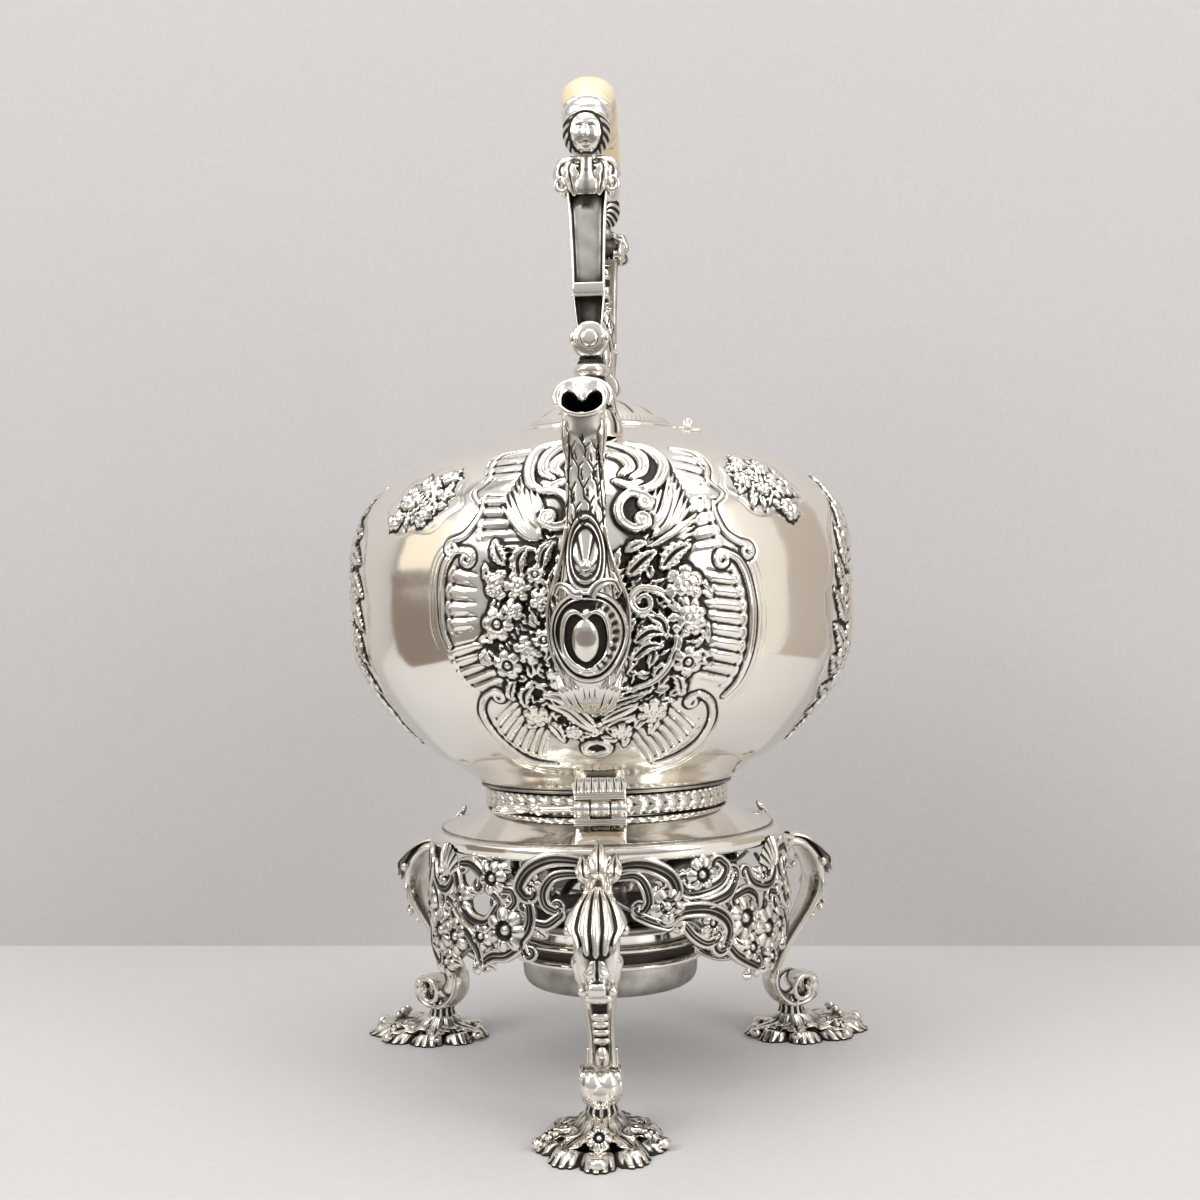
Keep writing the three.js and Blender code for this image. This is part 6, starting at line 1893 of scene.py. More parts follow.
turnedPieces = (
    # name, profile, x, y, closed on itself, flutes, body, CAD piece
    ("lampBowl", (
        (0.05, 33.1), (14.0, 33.1), (28.6, 33.2), (32.2, 34.1), (34.0, 36.2), (34.6, 39.2), (34.6, 44.0),
        (34.6, 50.0), (34.6, 56.6),
        (34.8, 57.6), (36.4, 58.1), (37.1, 59.2), (36.7, 60.3), (35.0, 60.5), (32.6, 60.4), (32.0, 59.0),
        (32.0, 44.0), (30.6, 38.6), (24.0, 36.0), (0.05, 35.4),
    ), 0, 0, False, 0, "lamp", "lamp_reservoir"),
    (
        "lampPlate",
        (
            (0.05, 62.2), (6.0, 62.2), (10.0, 62.0), (13.0, 61.6), (20.0, 61.9), (28.0, 61.7), (33.2, 62.2),
            (34.5, 61.6), (34.2, 60.9), (20.0, 60.85), (0.05, 60.85)
        ),
        0, 0, False, 0, "lamp", "lamp_top"
    ),
    (
        "wickHolder",
        (
            (4.25, 69.0), (5.2, 69.0), (5.5, 68.2), (5.1, 67.2), (5.3, 63.6), (6.0, 62.7), (6.0, 55.1),
            (4.25, 55.1)
        ),
        0, 0, True, 0, "lamp", "wick_tube"
    ),
    ("snuffer", (
        (0.05, 76.7), (0.9, 76.6), (1.5, 75.9), (1.3, 75.0), (0.9, 74.4), (1.6, 73.6), (4.6, 72.6),
        (6.6, 71.0), (7.0, 69.0), (7.0, 65.0), (7.6, 64.2), (7.6, 62.9), (6.6, 62.7),
        (6.2, 63.4), (6.2, 70.6), (4.0, 72.0), (0.05, 72.3),
    ), 0, 0, False, 0, "snuffer", "snuffer_cap"),
    (
        "kettleSole",
        (
            (0.05, 113.7), (30.0, 113.7), (48.0, 113.75), (49.8, 113.4), (49.9, 112.7), (49.0, 112.35),
            (47.0, 112.9), (44.0, 112.6), (20.0, 112.9), (0.05, 112.9)
        ),
        0, 0, False, 0, "kettle", "kettle_base"
    ),
    (
        "finialCollar",
        (
            (1.6, 266.55), (4.8, 266.5), (6.8, 266.0), (7.3, 265.4), (6.8, 264.8), (5.0, 264.65),
            (1.6, 264.65)
        ),
        0, 0, True, 24, "lid", "finial_washer"
    ),
)


# Painted shade on the lamp's top pieces and the kettle's sole, which lie in shadow under the kettle
shadeUnderKettle = {"lampPlate": 0.85, "snuffer": 0.45, "wickHolder": 0.6, "kettleSole": 0.5}


# Each profile is turned about its own axis, and flutes swell the radius by up to 3 percent.
def addTurned():
    for name, profile, x, y, closed, flutes, body, node in turnedPieces:
        run = smoothPath(profile + (profile[:1] if closed else ()), 8 * len(profile))
        if closed:
            run = run[:-1]
        points = revolved(run, 144, x, y)
        turn = fullCircle(144)
        if flutes:
            points[..., :2] *= (1 + 0.03 * np.abs(np.cos(flutes * turn / 2)))[None, :, None]
        # Pieces under the kettle add painted shade to their dark value.
        dark = np.clip(recess(points, 0.5, closed, True, (3, 7)), 0, 0.8) * 0.6 + shadeUnderKettle.get(name, 0.0)
        makePiece(
            name, [{"points": points, "wrapRows": closed, "wrapCols": True, "dark": dark}], plain, body,
            [node]
        )


addTurned()
print("lamp, base and washer are turned")


# Spout: a flattened tube that swells at its root, with a hooded mouth

spoutShape = {
    # distance from the axis, height, half width, half depth
    "run": (
        (88.0, 165.0, 11.8, 21.0), (96.0, 166.6, 12.0, 20.2), (102.0, 171.0, 11.4, 16.6),
        (107.0, 180.3, 9.7, 11.6),
        (108.8, 192.0, 8.0, 8.6), (108.2, 204.6, 6.9, 7.1), (107.5, 218.1, 6.6, 6.6),
        (107.6, 227.3, 6.5, 6.4),
        (108.6, 236.0, 6.7, 6.6), (110.6, 242.2, 7.1, 7.0), (113.2, 246.2, 7.6, 7.6),
        (115.6, 248.0, 8.0, 8.2),
    ),
    "steps": 260,
    "sides": 184,
    # the opening from its lower edge to the tongue that hangs from its top: across, down from the mouth's
    # middle
    "opening": (
        (0, 6.9), (3.6, 6.7), (6.0, 5.3), (6.7, 2.0), (6.2, -1.4), (4.7, -3.0), (2.9, -2.0), (1.3, 0.4),
        (0, 1.3)
    ),
    "openingMiddle": 3.6,
    "barkLow": 206.0,
    "barkHigh": 236.0,
    "barkPitch": 6.4,
    "barkWidth": 4.9,
    "groove": 0.34,
    "oval": (198.0, 5.9, 11.2),      # height of its middle, half width round the tube, half height
}


# How near each place of a flat map lies to any of the given lines: 1 on a line, 0 far from it.
def nearLines(x, y, lines, halfWidth):
    near = np.zeros(np.broadcast(x, y).shape)
    for line in lines:
        line = np.asarray(line, float)
        for a, b in zip(line[:-1], line[1:]):
            way = b - a
            share = np.clip(((x - a[0]) * way[0] + (y - a[1]) * way[1]) / max(way @ way, 1e-9), 0, 1)
            far = (x - a[0] - share * way[0]) ** 2 + (y - a[1] - share * way[1]) ** 2
            near = np.maximum(near, np.exp(-far / halfWidth**2))
    return near


# Bark: rows of pointed feathers, each a stem that forks upward, with short strokes beside the fork.
def barkLines():
    lines, form = [], spoutShape
    rng = np.random.default_rng(11)
    count = int((form["barkHigh"] - form["barkLow"]) / form["barkPitch"]) + 1
    for row in range(count):
        z = form["barkLow"] + row * form["barkPitch"]
        for col in range(-5, 6):
            x = (col + 0.5 * (row % 2)) * form["barkWidth"] + rng.uniform(-0.9, 0.9)
            y = z + rng.uniform(-1.4, 1.4)
            half = form["barkWidth"] / 2
            lines.append([
                (x, y - 3.6), (x + rng.uniform(-0.4, 0.4), y),
                (x - half * 0.8, y + 3.4 + rng.uniform(-1, 1))
            ])
            lines.append([(x, y), (x + half * 0.7, y + 2.6 + rng.uniform(-1, 1))])
            lines.append([(x - 0.5, y + 2.8), (x - 0.9, y + 5.0)])
            lines.append([(x + rng.uniform(-0.2, 1.2), y - 2.6), (x + rng.uniform(0.2, 1.6), y - 0.8)])
    return lines


# What stands on the spout's wall, and its oxide: bark on the neck, an oval frame with a shell and a
# pearl, a scoop under the mouth, and bands at the root. x runs round the spout in millimetres and z is
# the height.
def spoutRelief(x, z, length):
    form = spoutShape
    bark = nearLines(x, z, barkLines(), 0.30)
    scar = smoothStep(204, 208, z) * (1 - smoothStep(236, 240, z + 0.9 * np.abs(x)))
    scoop = np.exp(-((x / 4.6) ** 4)) * smoothStep(233.5, 237.0, z - 0.55 * np.abs(x)) * (np.abs(x) < 9)
    middle, halfWidth, halfHeight = form["oval"]
    reach = np.hypot(x / halfWidth, (z - middle) / halfHeight)
    front = np.abs(x) < 12
    rings = (hump(reach, 1.0, 0.085) + 0.8 * hump(reach, 0.78, 0.075)) * front
    pearlX, pearlZ = x, z - (middle - 4.4)
    spread = np.arctan2(x, z - (middle - 6.5))
    fan = np.abs(np.cos(spread * 6)) ** 0.6
    shell = (
        (reach < 0.68) * front * (0.25 + 0.75 * fan) * smoothStep(0.0, 3.0, np.hypot(x, z - (middle - 6.5)))
    )
    pearl = np.sqrt(np.maximum(1 - (pearlX**2 + pearlZ**2) / 1.7**2, 0))
    inner = smoothStep(0.72, 0.62, reach) * front
    wide = 8.2 + 0.06 * (206 - z)
    edges = (
        (hump(np.abs(x), wide, 0.55) + 0.8 * np.exp(-(((np.abs(x) - wide + 1.9) / 0.45) ** 2)))
        * smoothStep(178, 186, z) * (1 - smoothStep(230, 238, z))
    )
    rise = (
        0.85 * rings + 0.55 * shell + 1.2 * pearl - 0.5 * inner - form["groove"] * bark * scar
        - 0.75 * scoop + 0.5 * edges
    )
    rise = rise + 0.12 * np.sin(x * 1.3 + z * 0.35) * scar
    dark = 0.85 * bark * scar
    dark = dark + 0.95 * hump(reach, 0.89, 0.05) * front + 0.9 * hump(reach, 0.70, 0.05) * front
    dark = dark + 0.9 * hump(reach, 1.14, 0.07) * front
    dark = dark + 0.9 * (reach < 0.68) * front * (1 - fan) ** 1.2 * (pearl < 0.05) + 0.3 * scoop
    dark = (
        dark
        + 0.8 * np.exp(
            -(((np.abs(x) - wide + 0.95) / 0.4) ** 2)
        ) * smoothStep(178, 186, z) * (1 - smoothStep(230, 238, z))
    )
    flank = smoothStep(9.0, 12.0, np.abs(x)) * 0.35
    dark = dark + flank
    rootBands = np.clip(np.sin(length * 0.9 + 0.25 * np.abs(x)), 0, 1) * (z < 190) * 0.5
    dark, rise = dark + rootBands * (rise < 0.3), rise + 0.35 * rootBands
    return rise, dark


# The mouth: rings that lead from the outer edge over the lip to the heart-shaped opening, and down inside
# it.
def spoutMouth(rows, path, across, out, along, about):
    form = spoutShape
    mouth, side, down, ahead = path[-1], across[-1], out[-1], along[-1]
    loop = np.array(form["opening"], float)
    loop = np.concatenate([loop, loop[-2:0:-1] * np.array([-1, 1])])
    turn = np.arctan2(loop[:, 1] - form["openingMiddle"], loop[:, 0])
    order = np.argsort(turn)
    turn, far = turn[order], np.hypot(loop[:, 0], loop[:, 1] - form["openingMiddle"])[order]
    angle = (about + math.pi) % fullTurn - math.pi
    reachIn = np.interp(angle, np.concatenate([turn - fullTurn, turn, turn + fullTurn]), np.tile(far, 3))
    inside = np.stack([reachIn * np.cos(about), form["openingMiddle"] + reachIn * np.sin(about)], axis=1)
    outside = np.stack([rows[-1, 2] * np.cos(about), rows[-1, 3] * np.sin(about)], axis=1)
    upper = np.clip(-np.sin(about), 0, 1) ** 2
    lips = []
    for share, grow, lift in (
        (0, 0.35, 0.35), (0, 0.62, 0.95), (0, 0.5, 1.55), (0.02, 0.1, 1.95), (0.12, 0, 1.95),
        (0.35, 0, 1.2), (0.6, 0, 0.9), (0.8, 0, 1.1), (0.93, 0, 1.25), (1.0, 0, 0.95), (1.04, 0, 0.3)
    ):
        flat = outside * (1 - share) + inside * share
        flat = flat + unit(outside) * grow
        push = lift + upper * (0.9 * math.sin(math.pi * min(share, 1)) - 0.6 * share)
        lips.append(mouth + side * flat[:, :1] + down * flat[:, 1:] + ahead * push[:, None])
    lips = np.array(lips)
    deepRows = []
    for index, size in ((-8, 0.9), (-20, 0.86), (-36, 0.84), (-54, 0.82), (-70, 0.8)):
        centre = path[index]
        blend = min(1.0, -index / 36)
        base = inside * (1 - blend) + outside * blend * 0.84
        deepRows.append(centre + across[index] * base[:, :1] * size + out[index] * base[:, 1:] * size)
    return lips, deepRows


# Ellipses along the run, each wider by the relief at its angle, then over the lip and down inside. The
# sideways place of the relief is the angle from the front times 7.
def spoutGrid():
    form = spoutShape
    rows = smoothPath(form["run"], form["steps"])
    path = np.stack([np.zeros(len(rows)), -rows[:, 0], rows[:, 1]], axis=1)
    along = unit(np.gradient(path, axis=0))
    out = np.cross(np.array([1.0, 0, 0]), along)
    if out[len(out) // 2][1] > 0:
        out = -out
    t = fullCircle(form["sides"])[None]
    x = -(t - math.pi / 2) * 7.0
    x = (x + 7 * math.pi) % (14 * math.pi) - 7 * math.pi
    z = rows[:, 1][:, None] + 0 * t
    length = np.concatenate([[0], np.cumsum(np.linalg.norm(np.diff(path, axis=0), axis=1))])[:, None]
    rise, dark = spoutRelief(x, z, length)
    across = np.cross(along, unit(out))
    wideHalf, deepHalf = rows[:, 2][:, None] + rise, rows[:, 3][:, None] + rise
    wall = (
        path[:, None] + across[:, None] * (np.cos(t) * wideHalf)[..., None]
        + out[:, None] * (np.sin(t) * deepHalf)[..., None]
    )
    lips, deepRows = spoutMouth(rows, path, across, out, along, t[0])
    bottom = np.broadcast_to(path[-74], wall[0].shape)
    start = np.broadcast_to(path[0], wall[0].shape)
    points = np.concatenate([start[None], wall, lips, np.array(deepRows), bottom[None]])
    lipDark = np.zeros(lips.shape[:2])
    lipDark[0] = 0.55
    lipDark[-1] = 0.5
    # The rows down inside the mouth are painted fully dark as shade.
    dark = np.concatenate([
        dark[:1], np.clip(dark, 0, 1), lipDark, np.full((len(deepRows) + 1, points.shape[1]), 1.35)
    ])
    return tubeGrid(points, dark)


# The hood: a reeded ring behind the mouth, open at the bottom, with a small leaf on each side of the neck.
def spoutTrim():
    grids = []
    angle = np.radians(np.linspace(-28, 208, 72))
    for grow, back, size in ((0.0, 0.0, 0.85), (-0.9, -1.1, 0.55)):
        x = (9.3 + grow) * np.cos(angle)
        rise = (6.7 + grow) * np.sin(angle)
        y = -(112.2 + back) + rise * 0.42
        path = np.stack([x, y, 249.4 + rise * 0.9], axis=1)
        grids.append(tubeGrid(sweep(path, size, size, (0, -1, 0.4), roundSection(12)), 0.05))
    for x in (-8.4, 8.4, -5.2, 5.2, -1.8, 1.8, 0):
        path = [
            (x * 0.3, -96.0, 145.4), (x * 0.7, -104.0, 148.4), (x, -109.6, 153.0),
            (x * 1.25, -111.6 + 0.06 * x * x, 158.5)
        ]
        grids.append(
            castLeaf(path, 2.3, (0, -1, -0.35), veins=3, height=0.9, thickness=1.4, rows=28, cols=13)
        )
    for side in (-1, 1):
        path = [
            (side * 6.6, -112.4, 243.0), (side * 6.6, -113.0, 238.5), (side * 6.2, -112.4, 233.0),
            (side * 5.6, -111.6, 228.0)
        ]
        grids.append(
            castLeaf(path, 2.0, (side * 0.8, -0.6, 0), veins=3, height=0.8, thickness=0.8, rows=26, cols=11)
        )
    return grids


shield = {
    "middle": (0.4, 170.6),
    "halfWidth": 12.4,
    "halfHeight": 16.0,
    "front": (
        (153, 110.5), (156, 112.0), (162, 115.4), (168, 116.8), (174, 118.0), (180, 118.3), (187, 118.0)
    ),
}


# The shield is a polar grid: a pear-shaped boss, an inner rim, gadroons along its right side and a double
# outer rim.
def shieldGrid():
    sides, rings = 256, 92
    t = fullCircle(sides)[None]
    r = np.linspace(0.001, 1, rings)[:, None]
    shift = -1.5 * (1 - r)
    x = (
        shield["middle"][0] + shift
        + shield["halfWidth"] * r * np.sin(t) * (1 + 0.17 * np.cos(t) - 0.05 * np.cos(2 * t))
    )
    z = (
        shield["middle"][1] + 0.8 * (1 - r)
        + shield["halfHeight"] * r * np.cos(t) * (1 - 0.06 * np.cos(t) ** 8)
    )
    table = np.array(shield["front"], float)
    base = np.interp(z, table[:, 0], table[:, 1])
    drop = np.abs(x)
    base = base - 0.012 * drop**2 - 0.0036 * drop**3

    def ridge(at, width, sharp=2):
        return np.exp(-np.abs((r - at) / width) ** sharp)

    fromTop = np.abs((t + math.pi) % fullTurn - math.pi)
    right = smoothStep(0.1, 0.45, np.sin(t))
    egg = np.hypot((x + 0.5) / 4.7, (z - 169.6) / 7.2)
    boss = np.sqrt(np.maximum(1 - egg**2, 0))
    heart = (
        1 - 0.28 * np.exp(-((fromTop / 0.33) ** 2)) + 0.1 * hump(fromTop, 0.8, 0.45)
        + 0.12 * hump(fromTop, math.pi, 0.35)
    )
    ring = np.hypot((x + 0.4) / 7.7, (z - 170.2) / 9.6) / heart
    gadroon = np.abs(np.cos(13 * t + 2.4 * r)) ** 0.7
    rise = (
        2.2 * boss + 1.9 * np.exp(-(np.abs((ring - 1) / 0.135) ** 3)) + 1.5 * ridge(0.82, 0.04, 3)
        + 2.0 * ridge(0.94, 0.055, 3) + 0.25
    )
    rise = rise + right * ridge(0.71, 0.06, 4) * (0.7 + 1.0 * gadroon)
    ball = np.hypot(x - 0.2, z - 178.4) / 1.7
    rise = rise + 1.6 * np.sqrt(np.maximum(1 - ball**2, 0))
    rise = np.minimum(rise, 2.45) * (1 - smoothStep(0.985, 1.0, r) * 0.8)
    gap = (egg > 0.97) * (ring < 0.9)
    dark = (
        0.95 * gap + 1.0 * (1 - 0.75 * right) * (ring > 1.12) * (r < 0.775) + 0.95 * ridge(0.88, 0.02)
        + 0.9 * right * (1 - gadroon) * ridge(0.71, 0.07, 4) + 0.6 * ridge(1.0, 0.03)
    )
    dark = np.clip(dark, 0, 1) * (ball > 1)
    face = np.stack([x, -(base + rise), z + 0 * t], axis=-1)
    back = np.stack([x[::-1] * 0.995, -(base[::-1] - 1.2), (z + 0 * t)[::-1]], axis=-1)
    points = np.concatenate([face, back[2::6], back[-1:]])
    # The back against the body is painted fully dark as shade.
    return tubeGrid(points, np.concatenate([dark, np.ones((len(points) - rings, sides))]))


# Two curled straps at the shield's top, and a fine round rim from above it down each side.
def shieldTrim():
    grids = []
    right = [
        (1.6, -120.0, 183.8), (3.4, -119.8, 186.8), (6.4, -118.6, 188.4), (9.2, -116.6, 188.2),
        (10.8, -115.0, 185.6)
    ]
    left = [
        (-1.0, -120.0, 184.4), (-3.8, -119.4, 184.6), (-6.4, -118.0, 187.0), (-9.0, -115.8, 187.4),
        (-10.6, -114.2, 184.6)
    ]
    for path in (right, left):
        path = smoothPath(path, 30)
        grids.append(strap(path, np.linspace(1.7, 0.9, 30), 1.0, (0, -1, 0.2), 0.3, 10))
    for side in (-1, 1):
        rim = smoothPath(
            [
                (side * 6.2, -112.6, 207.0), (side * 7.4, -111.8, 200.0), (side * 9.6, -110.6, 192.0),
                (side * 12.6, -107.4, 184.0), (side * 13.4, -106.0, 176.0), (side * 12.4, -105.6, 166.0),
                (side * 8.6, -107.6, 158.0)
            ],
            60
        )
        grids.append(tubeGrid(sweep(rim, 0.7, 0.7, (side * 0.5, -1, 0), roundSection(10)), 0.0))
    return grids


# The spout with its trim is one piece, and the shield at its root another.
def addSpout():
    makePiece("castSpout", [spoutGrid()] + spoutTrim(), cast, "kettle", ["spout"])
    makePiece("castShield", [shieldGrid()] + shieldTrim(), cast, "kettle", ["spout_shield"])


addSpout()
print("spout and shield are made")


# Lid, finial and hinges

lidShape = {
    "outside": (
        (0.05, 264.2), (5.0, 264.2), (8.0, 263.7), (11.0, 263.2), (14.0, 262.6), (19.0, 260.9),
        (23.5, 258.4), (27.0, 255.6), (29.6, 253.2),
        (30.8, 252.3), (31.6, 252.2), (32.4, 251.9), (32.95, 251.3), (32.7, 250.5), (31.8, 250.1),
        (30.2, 250.0),
    ),
    "inside": (
        (30.1, 249.0), (30.1, 247.0), (29.3, 246.9), (29.2, 250.4), (26.0, 254.8), (19.0, 259.4),
        (9.0, 262.3), (0.05, 262.7)
    ),
    "lobes": 16,
}


# The lid's dome carries broad lobes with a leaf border above its plain rim.
def lidGrid():
    outside = smoothPath(lidShape["outside"], 84)
    inside = smoothPath(lidShape["inside"], 24)
    angle = fullCircle(384)[None]
    radius = outside[:, 0][:, None]
    lobe = np.abs(np.cos(lidShape["lobes"] * angle / 2)) ** 0.5
    belt = smoothStep(9.5, 13.0, radius) * (1 - smoothStep(24.5, 27.5, radius))
    border = hump(radius, 28.6, 1.5, 4)
    leaf = np.abs(np.sin(48 * angle + radius * 0.8)) ** 0.6
    height = outside[:, 1][:, None] - 0.9 * (1 - lobe) * belt - 0.35 * (1 - leaf) * border
    dark = (
        0.85 * (1 - lobe) ** 1.2 * belt + 0.7 * (1 - leaf) * border + 0.7 * hump(radius, 30.6, 0.35)
        + 0.6 * hump(radius, 8.8, 0.35)
    )
    top = around(radius, angle, height)
    under = revolved(inside, 384)
    # The underside is painted dark as shade.
    dark = np.concatenate([np.broadcast_to(dark, top.shape[:2]), np.full(under.shape[:2], 0.55)])
    return tubeGrid(np.concatenate([top, under]), dark)


# A bar with a round section that changes along a straight line: distances and radii from a profile.
def turnedAlong(profile, start, way, sides=48):
    way = unit(np.asarray(way, float))
    side = unit(np.cross(way, (0.3, 0.2, 1.0)))
    other = np.cross(way, side)
    profile = np.asarray(profile, float)
    turn = fullCircle(sides)
    ring = np.cos(turn)[:, None] * side + np.sin(turn)[:, None] * other
    return np.asarray(start, float) + profile[:, None, :1] * way + profile[:, None, 1:] * ring[None]


# A plate with rounded edges between two corners.
def plate(low, high, edge=0.5, dark=0.0):
    low, high = np.asarray(low, float), np.asarray(high, float)
    middle, half = (low + high) / 2, (high - low) / 2
    turn = fullCircle(64)
    sharp = 0.18
    loop = np.stack(
        [
            np.sign(np.cos(turn)) * np.abs(np.cos(turn)) ** sharp,
            np.sign(np.sin(turn)) * np.abs(np.sin(turn)) ** sharp
        ],
        axis=1
    )
    levels = [(-1, 0.0), (-1, 0.5), (-1, 1 - edge / half[0])]
    levels += [
        (-1 + edge * 0.3 / half[2], 1 - edge * 0.3 / half[0]), (-1 + edge / half[2], 1.0),
        (1 - edge / half[2], 1.0), (1 - edge * 0.3 / half[2], 1 - edge * 0.3 / half[0])
    ]
    levels += [(1, 1 - edge / half[0]), (1, 0.5), (1, 0.0)]
    rings = [
        np.concatenate([loop * half[:2] * size, np.full((64, 1), level * half[2])], axis=1) for level,
        size in levels
    ]
    return tubeGrid(np.array(rings) + middle, dark)


# A turned bud whose radius sinks by up to 12 percent between eight lobes, with five leaves round it.
def finialGrids():
    profile = smoothPath([
        (0.05, 266.95), (4.9, 267.0), (4.6, 268.0), (2.9, 269.4), (2.2, 271.6), (2.9, 273.6), (4.9, 275.2),
        (6.2, 279.0), (6.5, 283.6),
        (5.9, 288.4), (4.4, 292.6), (2.4, 295.6), (1.5, 297.4), (2.0, 298.8), (1.7, 300.2), (0.6, 300.8),
        (0.05, 300.85),
    ], 120)
    points = revolved(profile, 96)
    angle = fullCircle(96)[None]
    bud = (smoothStep(273.5, 277.0, profile[:, 1]) * (1 - smoothStep(293.0, 297.0, profile[:, 1])))[:, None]
    lobe = np.abs(np.cos(4 * angle + 0.05 * (profile[:, 1][:, None] - 275))) ** 0.6
    points[..., :2] *= (1 - 0.12 * bud * (1 - lobe))[..., None]
    grids = [
        tubeGrid(points, 0.85 * bud * (1 - lobe) ** 1.1 + 0.5 * hump(profile[:, 1][:, None], 271.6, 1.2))
    ]
    for index in range(5):
        turn = fullTurn * index / 5
        way = np.array([math.sin(turn), -math.cos(turn), 0])
        path = [
            way * 2.6 + (0, 0, 272.4), way * 5.2 + (0, 0, 275.6), way * 6.1 + (0, 0, 280.4),
            way * 5.9 + (0, 0, 284.6)
        ]
        grids.append(castLeaf(path, 2.5, way, veins=3, height=0.5, thickness=0.6, rows=22, cols=11))
    return grids


# A hollow cylinder along x with a ring line cut in near each end.
def barrel(fromX, toX, radius=3.45, rho=52.5, z=107.8):
    length = toX - fromX
    profile = [(0, 1.62), (0, radius - 0.5), (0.5, radius), (1.0, radius), (1.3, radius - 0.3), (1.6, radius)]
    profile += [
        (length - 1.6, radius), (length - 1.3, radius - 0.3), (length - 1.0, radius),
        (length - 0.5, radius), (length, radius - 0.5), (length, 1.62)
    ]
    return hoopGrid(turnedAlong(profile, (fromX, -rho, z), (1, 0, 0)), 0.15)


# Two stand barrels outside, one kettle barrel between them, plates, and seven small leaves side by side.
def hingeGrids():
    stand = [barrel(-9.8, -3.9), barrel(3.9, 9.8)]
    for side in (-1, 1):
        low, high = sorted((side * 3.95, side * 9.75))
        stand.append(plate((low, -54.4, 102.6), (high, -52.5, 106.0), 0.5, 0.1))
    stand.append(plate((-9.7, -56.8, 102.0), (9.7, -54.0, 103.1), 0.4, 0.05))
    stand.append(plate((-9.7, -56.4, 103.2), (9.7, -54.0, 104.2), 0.4, 0.05))
    kettle = [barrel(-3.45, 3.45)]
    kettle.append(plate((-3.4, -54.4, 109.6), (3.4, -51.0, 112.0), 0.5, 0.1))
    kettle.append(plate((-9.7, -57.0, 111.5), (9.7, -50.5, 112.5), 0.4, 0.05))
    kettle.append(plate((-9.7, -57.8, 112.6), (9.7, -50.5, 114.0), 0.4, 0.05))
    shell = []
    for index in range(7):
        x = (index - 3) * 2.7
        path = [(x, -57.0, 113.6), (x, -58.8, 114.8), (x, -60.0, 117.4), (x * 0.96, -60.6, 119.8)]
        shell.append(
            castLeaf(
                path, 1.9, (0, -1, 0.2), veins=2, height=0.6, thickness=1.8, rows=20, cols=11, blunt=0.35
            )
        )
    return stand, kettle + shell


# A turned pin along x whose head holds a ring, both drawn out by the same length.
def pullPin(drawn=0.0):
    x = -drawn
    profile = [
        (0, 0.02), (0, 1.2), (0.4, 1.46), (30.5, 1.46), (31.2, 2.2), (32.4, 2.4), (33.4, 2.0), (34.0, 1.2),
        (34.6, 1.2), (34.6, 0.02)
    ]
    pin = tubeGrid(turnedAlong(profile, (9.7 + x, -52.5, 107.8), (-1, 0, 0)), 0.1)
    turn = fullCircle(72)
    tube = fullCircle(16)
    radius = 6.15 + 0.82 * np.cos(tube)[:, None]
    ring = np.stack(
        [
            -32.8 + x + radius * np.cos(turn), -52.5 + radius * np.sin(turn),
            107.8 + 0.9 * np.sin(tube)[:, None] + 0 * turn
        ],
        axis=-1
    )
    return [pin, hoopGrid(ring, 0.1 + 0 * radius)]


# Two leaf knuckles outside, one lid knuckle between them, and a plain pin through all.
def lidHingeGrids():
    leaf = [
        hoopGrid(
            turnedAlong(
                [(0, 0.95), (0, 1.6), (0.4, 1.95), (3.7, 1.95), (4.1, 1.6), (4.1, 0.95)],
                (35.4, start, 253.3), (0, 1, 0), 32
            ),
            0.1
        )
        for start in (-8.0, 3.9)
    ]
    leaf.append(plate((35.6, -7.9, 249.9), (40.3, 7.9, 251.2), 0.4, 0.1))
    for low in (-7.9, 4.0):
        leaf.append(plate((34.6, low, 250.2), (36.8, low + 3.9, 252.6), 0.4, 0.1))
    pin = tubeGrid(
        turnedAlong(
            [(0, 0.02), (0, 0.75), (15.9, 0.75), (15.9, 0.02)], (35.4, -7.95, 253.3), (0, 1, 0), 20
        ),
        0.1
    )
    knuckle = hoopGrid(
        turnedAlong(
            [(0, 0.95), (0, 1.6), (0.4, 1.95), (6.9, 1.95), (7.3, 1.6), (7.3, 0.95)], (35.4, -3.65, 253.3),
            (0, 1, 0), 32
        ),
        0.1
    )
    tab = plate((32.0, -3.6, 251.0), (35.4, 3.6, 252.6), 0.4, 0.1)
    return leaf, pin, [knuckle, tab]


# The hinges are made once and turned by 0 and 180 degrees. The rear pin is drawn by 15.
def addLidAndHinges():
    leaf, pin, knuckle = lidHingeGrids()
    makePiece("lidDome", [lidGrid()] + knuckle, plain, "lid", ["lid"])
    makePiece("lidHingeLeaf", leaf, plain, "kettle", ["lid_hinge_leaf"])
    makePiece("lidHingePin", [pin], plain, "kettle", ["lid_hinge_pin"])
    makePiece("budFinial", finialGrids(), cast, "lid", ["finial"])
    stand, kettle = hingeGrids()
    for place, degrees in (("front", 0), ("rear", 180)):
        drawn = 0.0 if place == "front" else 15.0
        makePiece(
            "standHinge" + place.title(), turnedGrids(stand, degrees), cast, "stand",
            ["stand_hinge_leaf_" + place]
        )
        makePiece(
            "kettleHinge" + place.title(), turnedGrids(kettle, degrees), cast, "kettle",
            ["kettle_hinge_leaf_" + place]
        )
        makePiece(
            "ringPin" + place.title(), turnedGrids(pullPin(drawn), degrees), plain, place + "_pin",
            ["hinge_pin_" + place]
        )


addLidAndHinges()
print("lid, finial, hinges and pins are made")


# Handle: sockets, pins, arms with leaf collars and mask heads, ferrules and the ivory grip

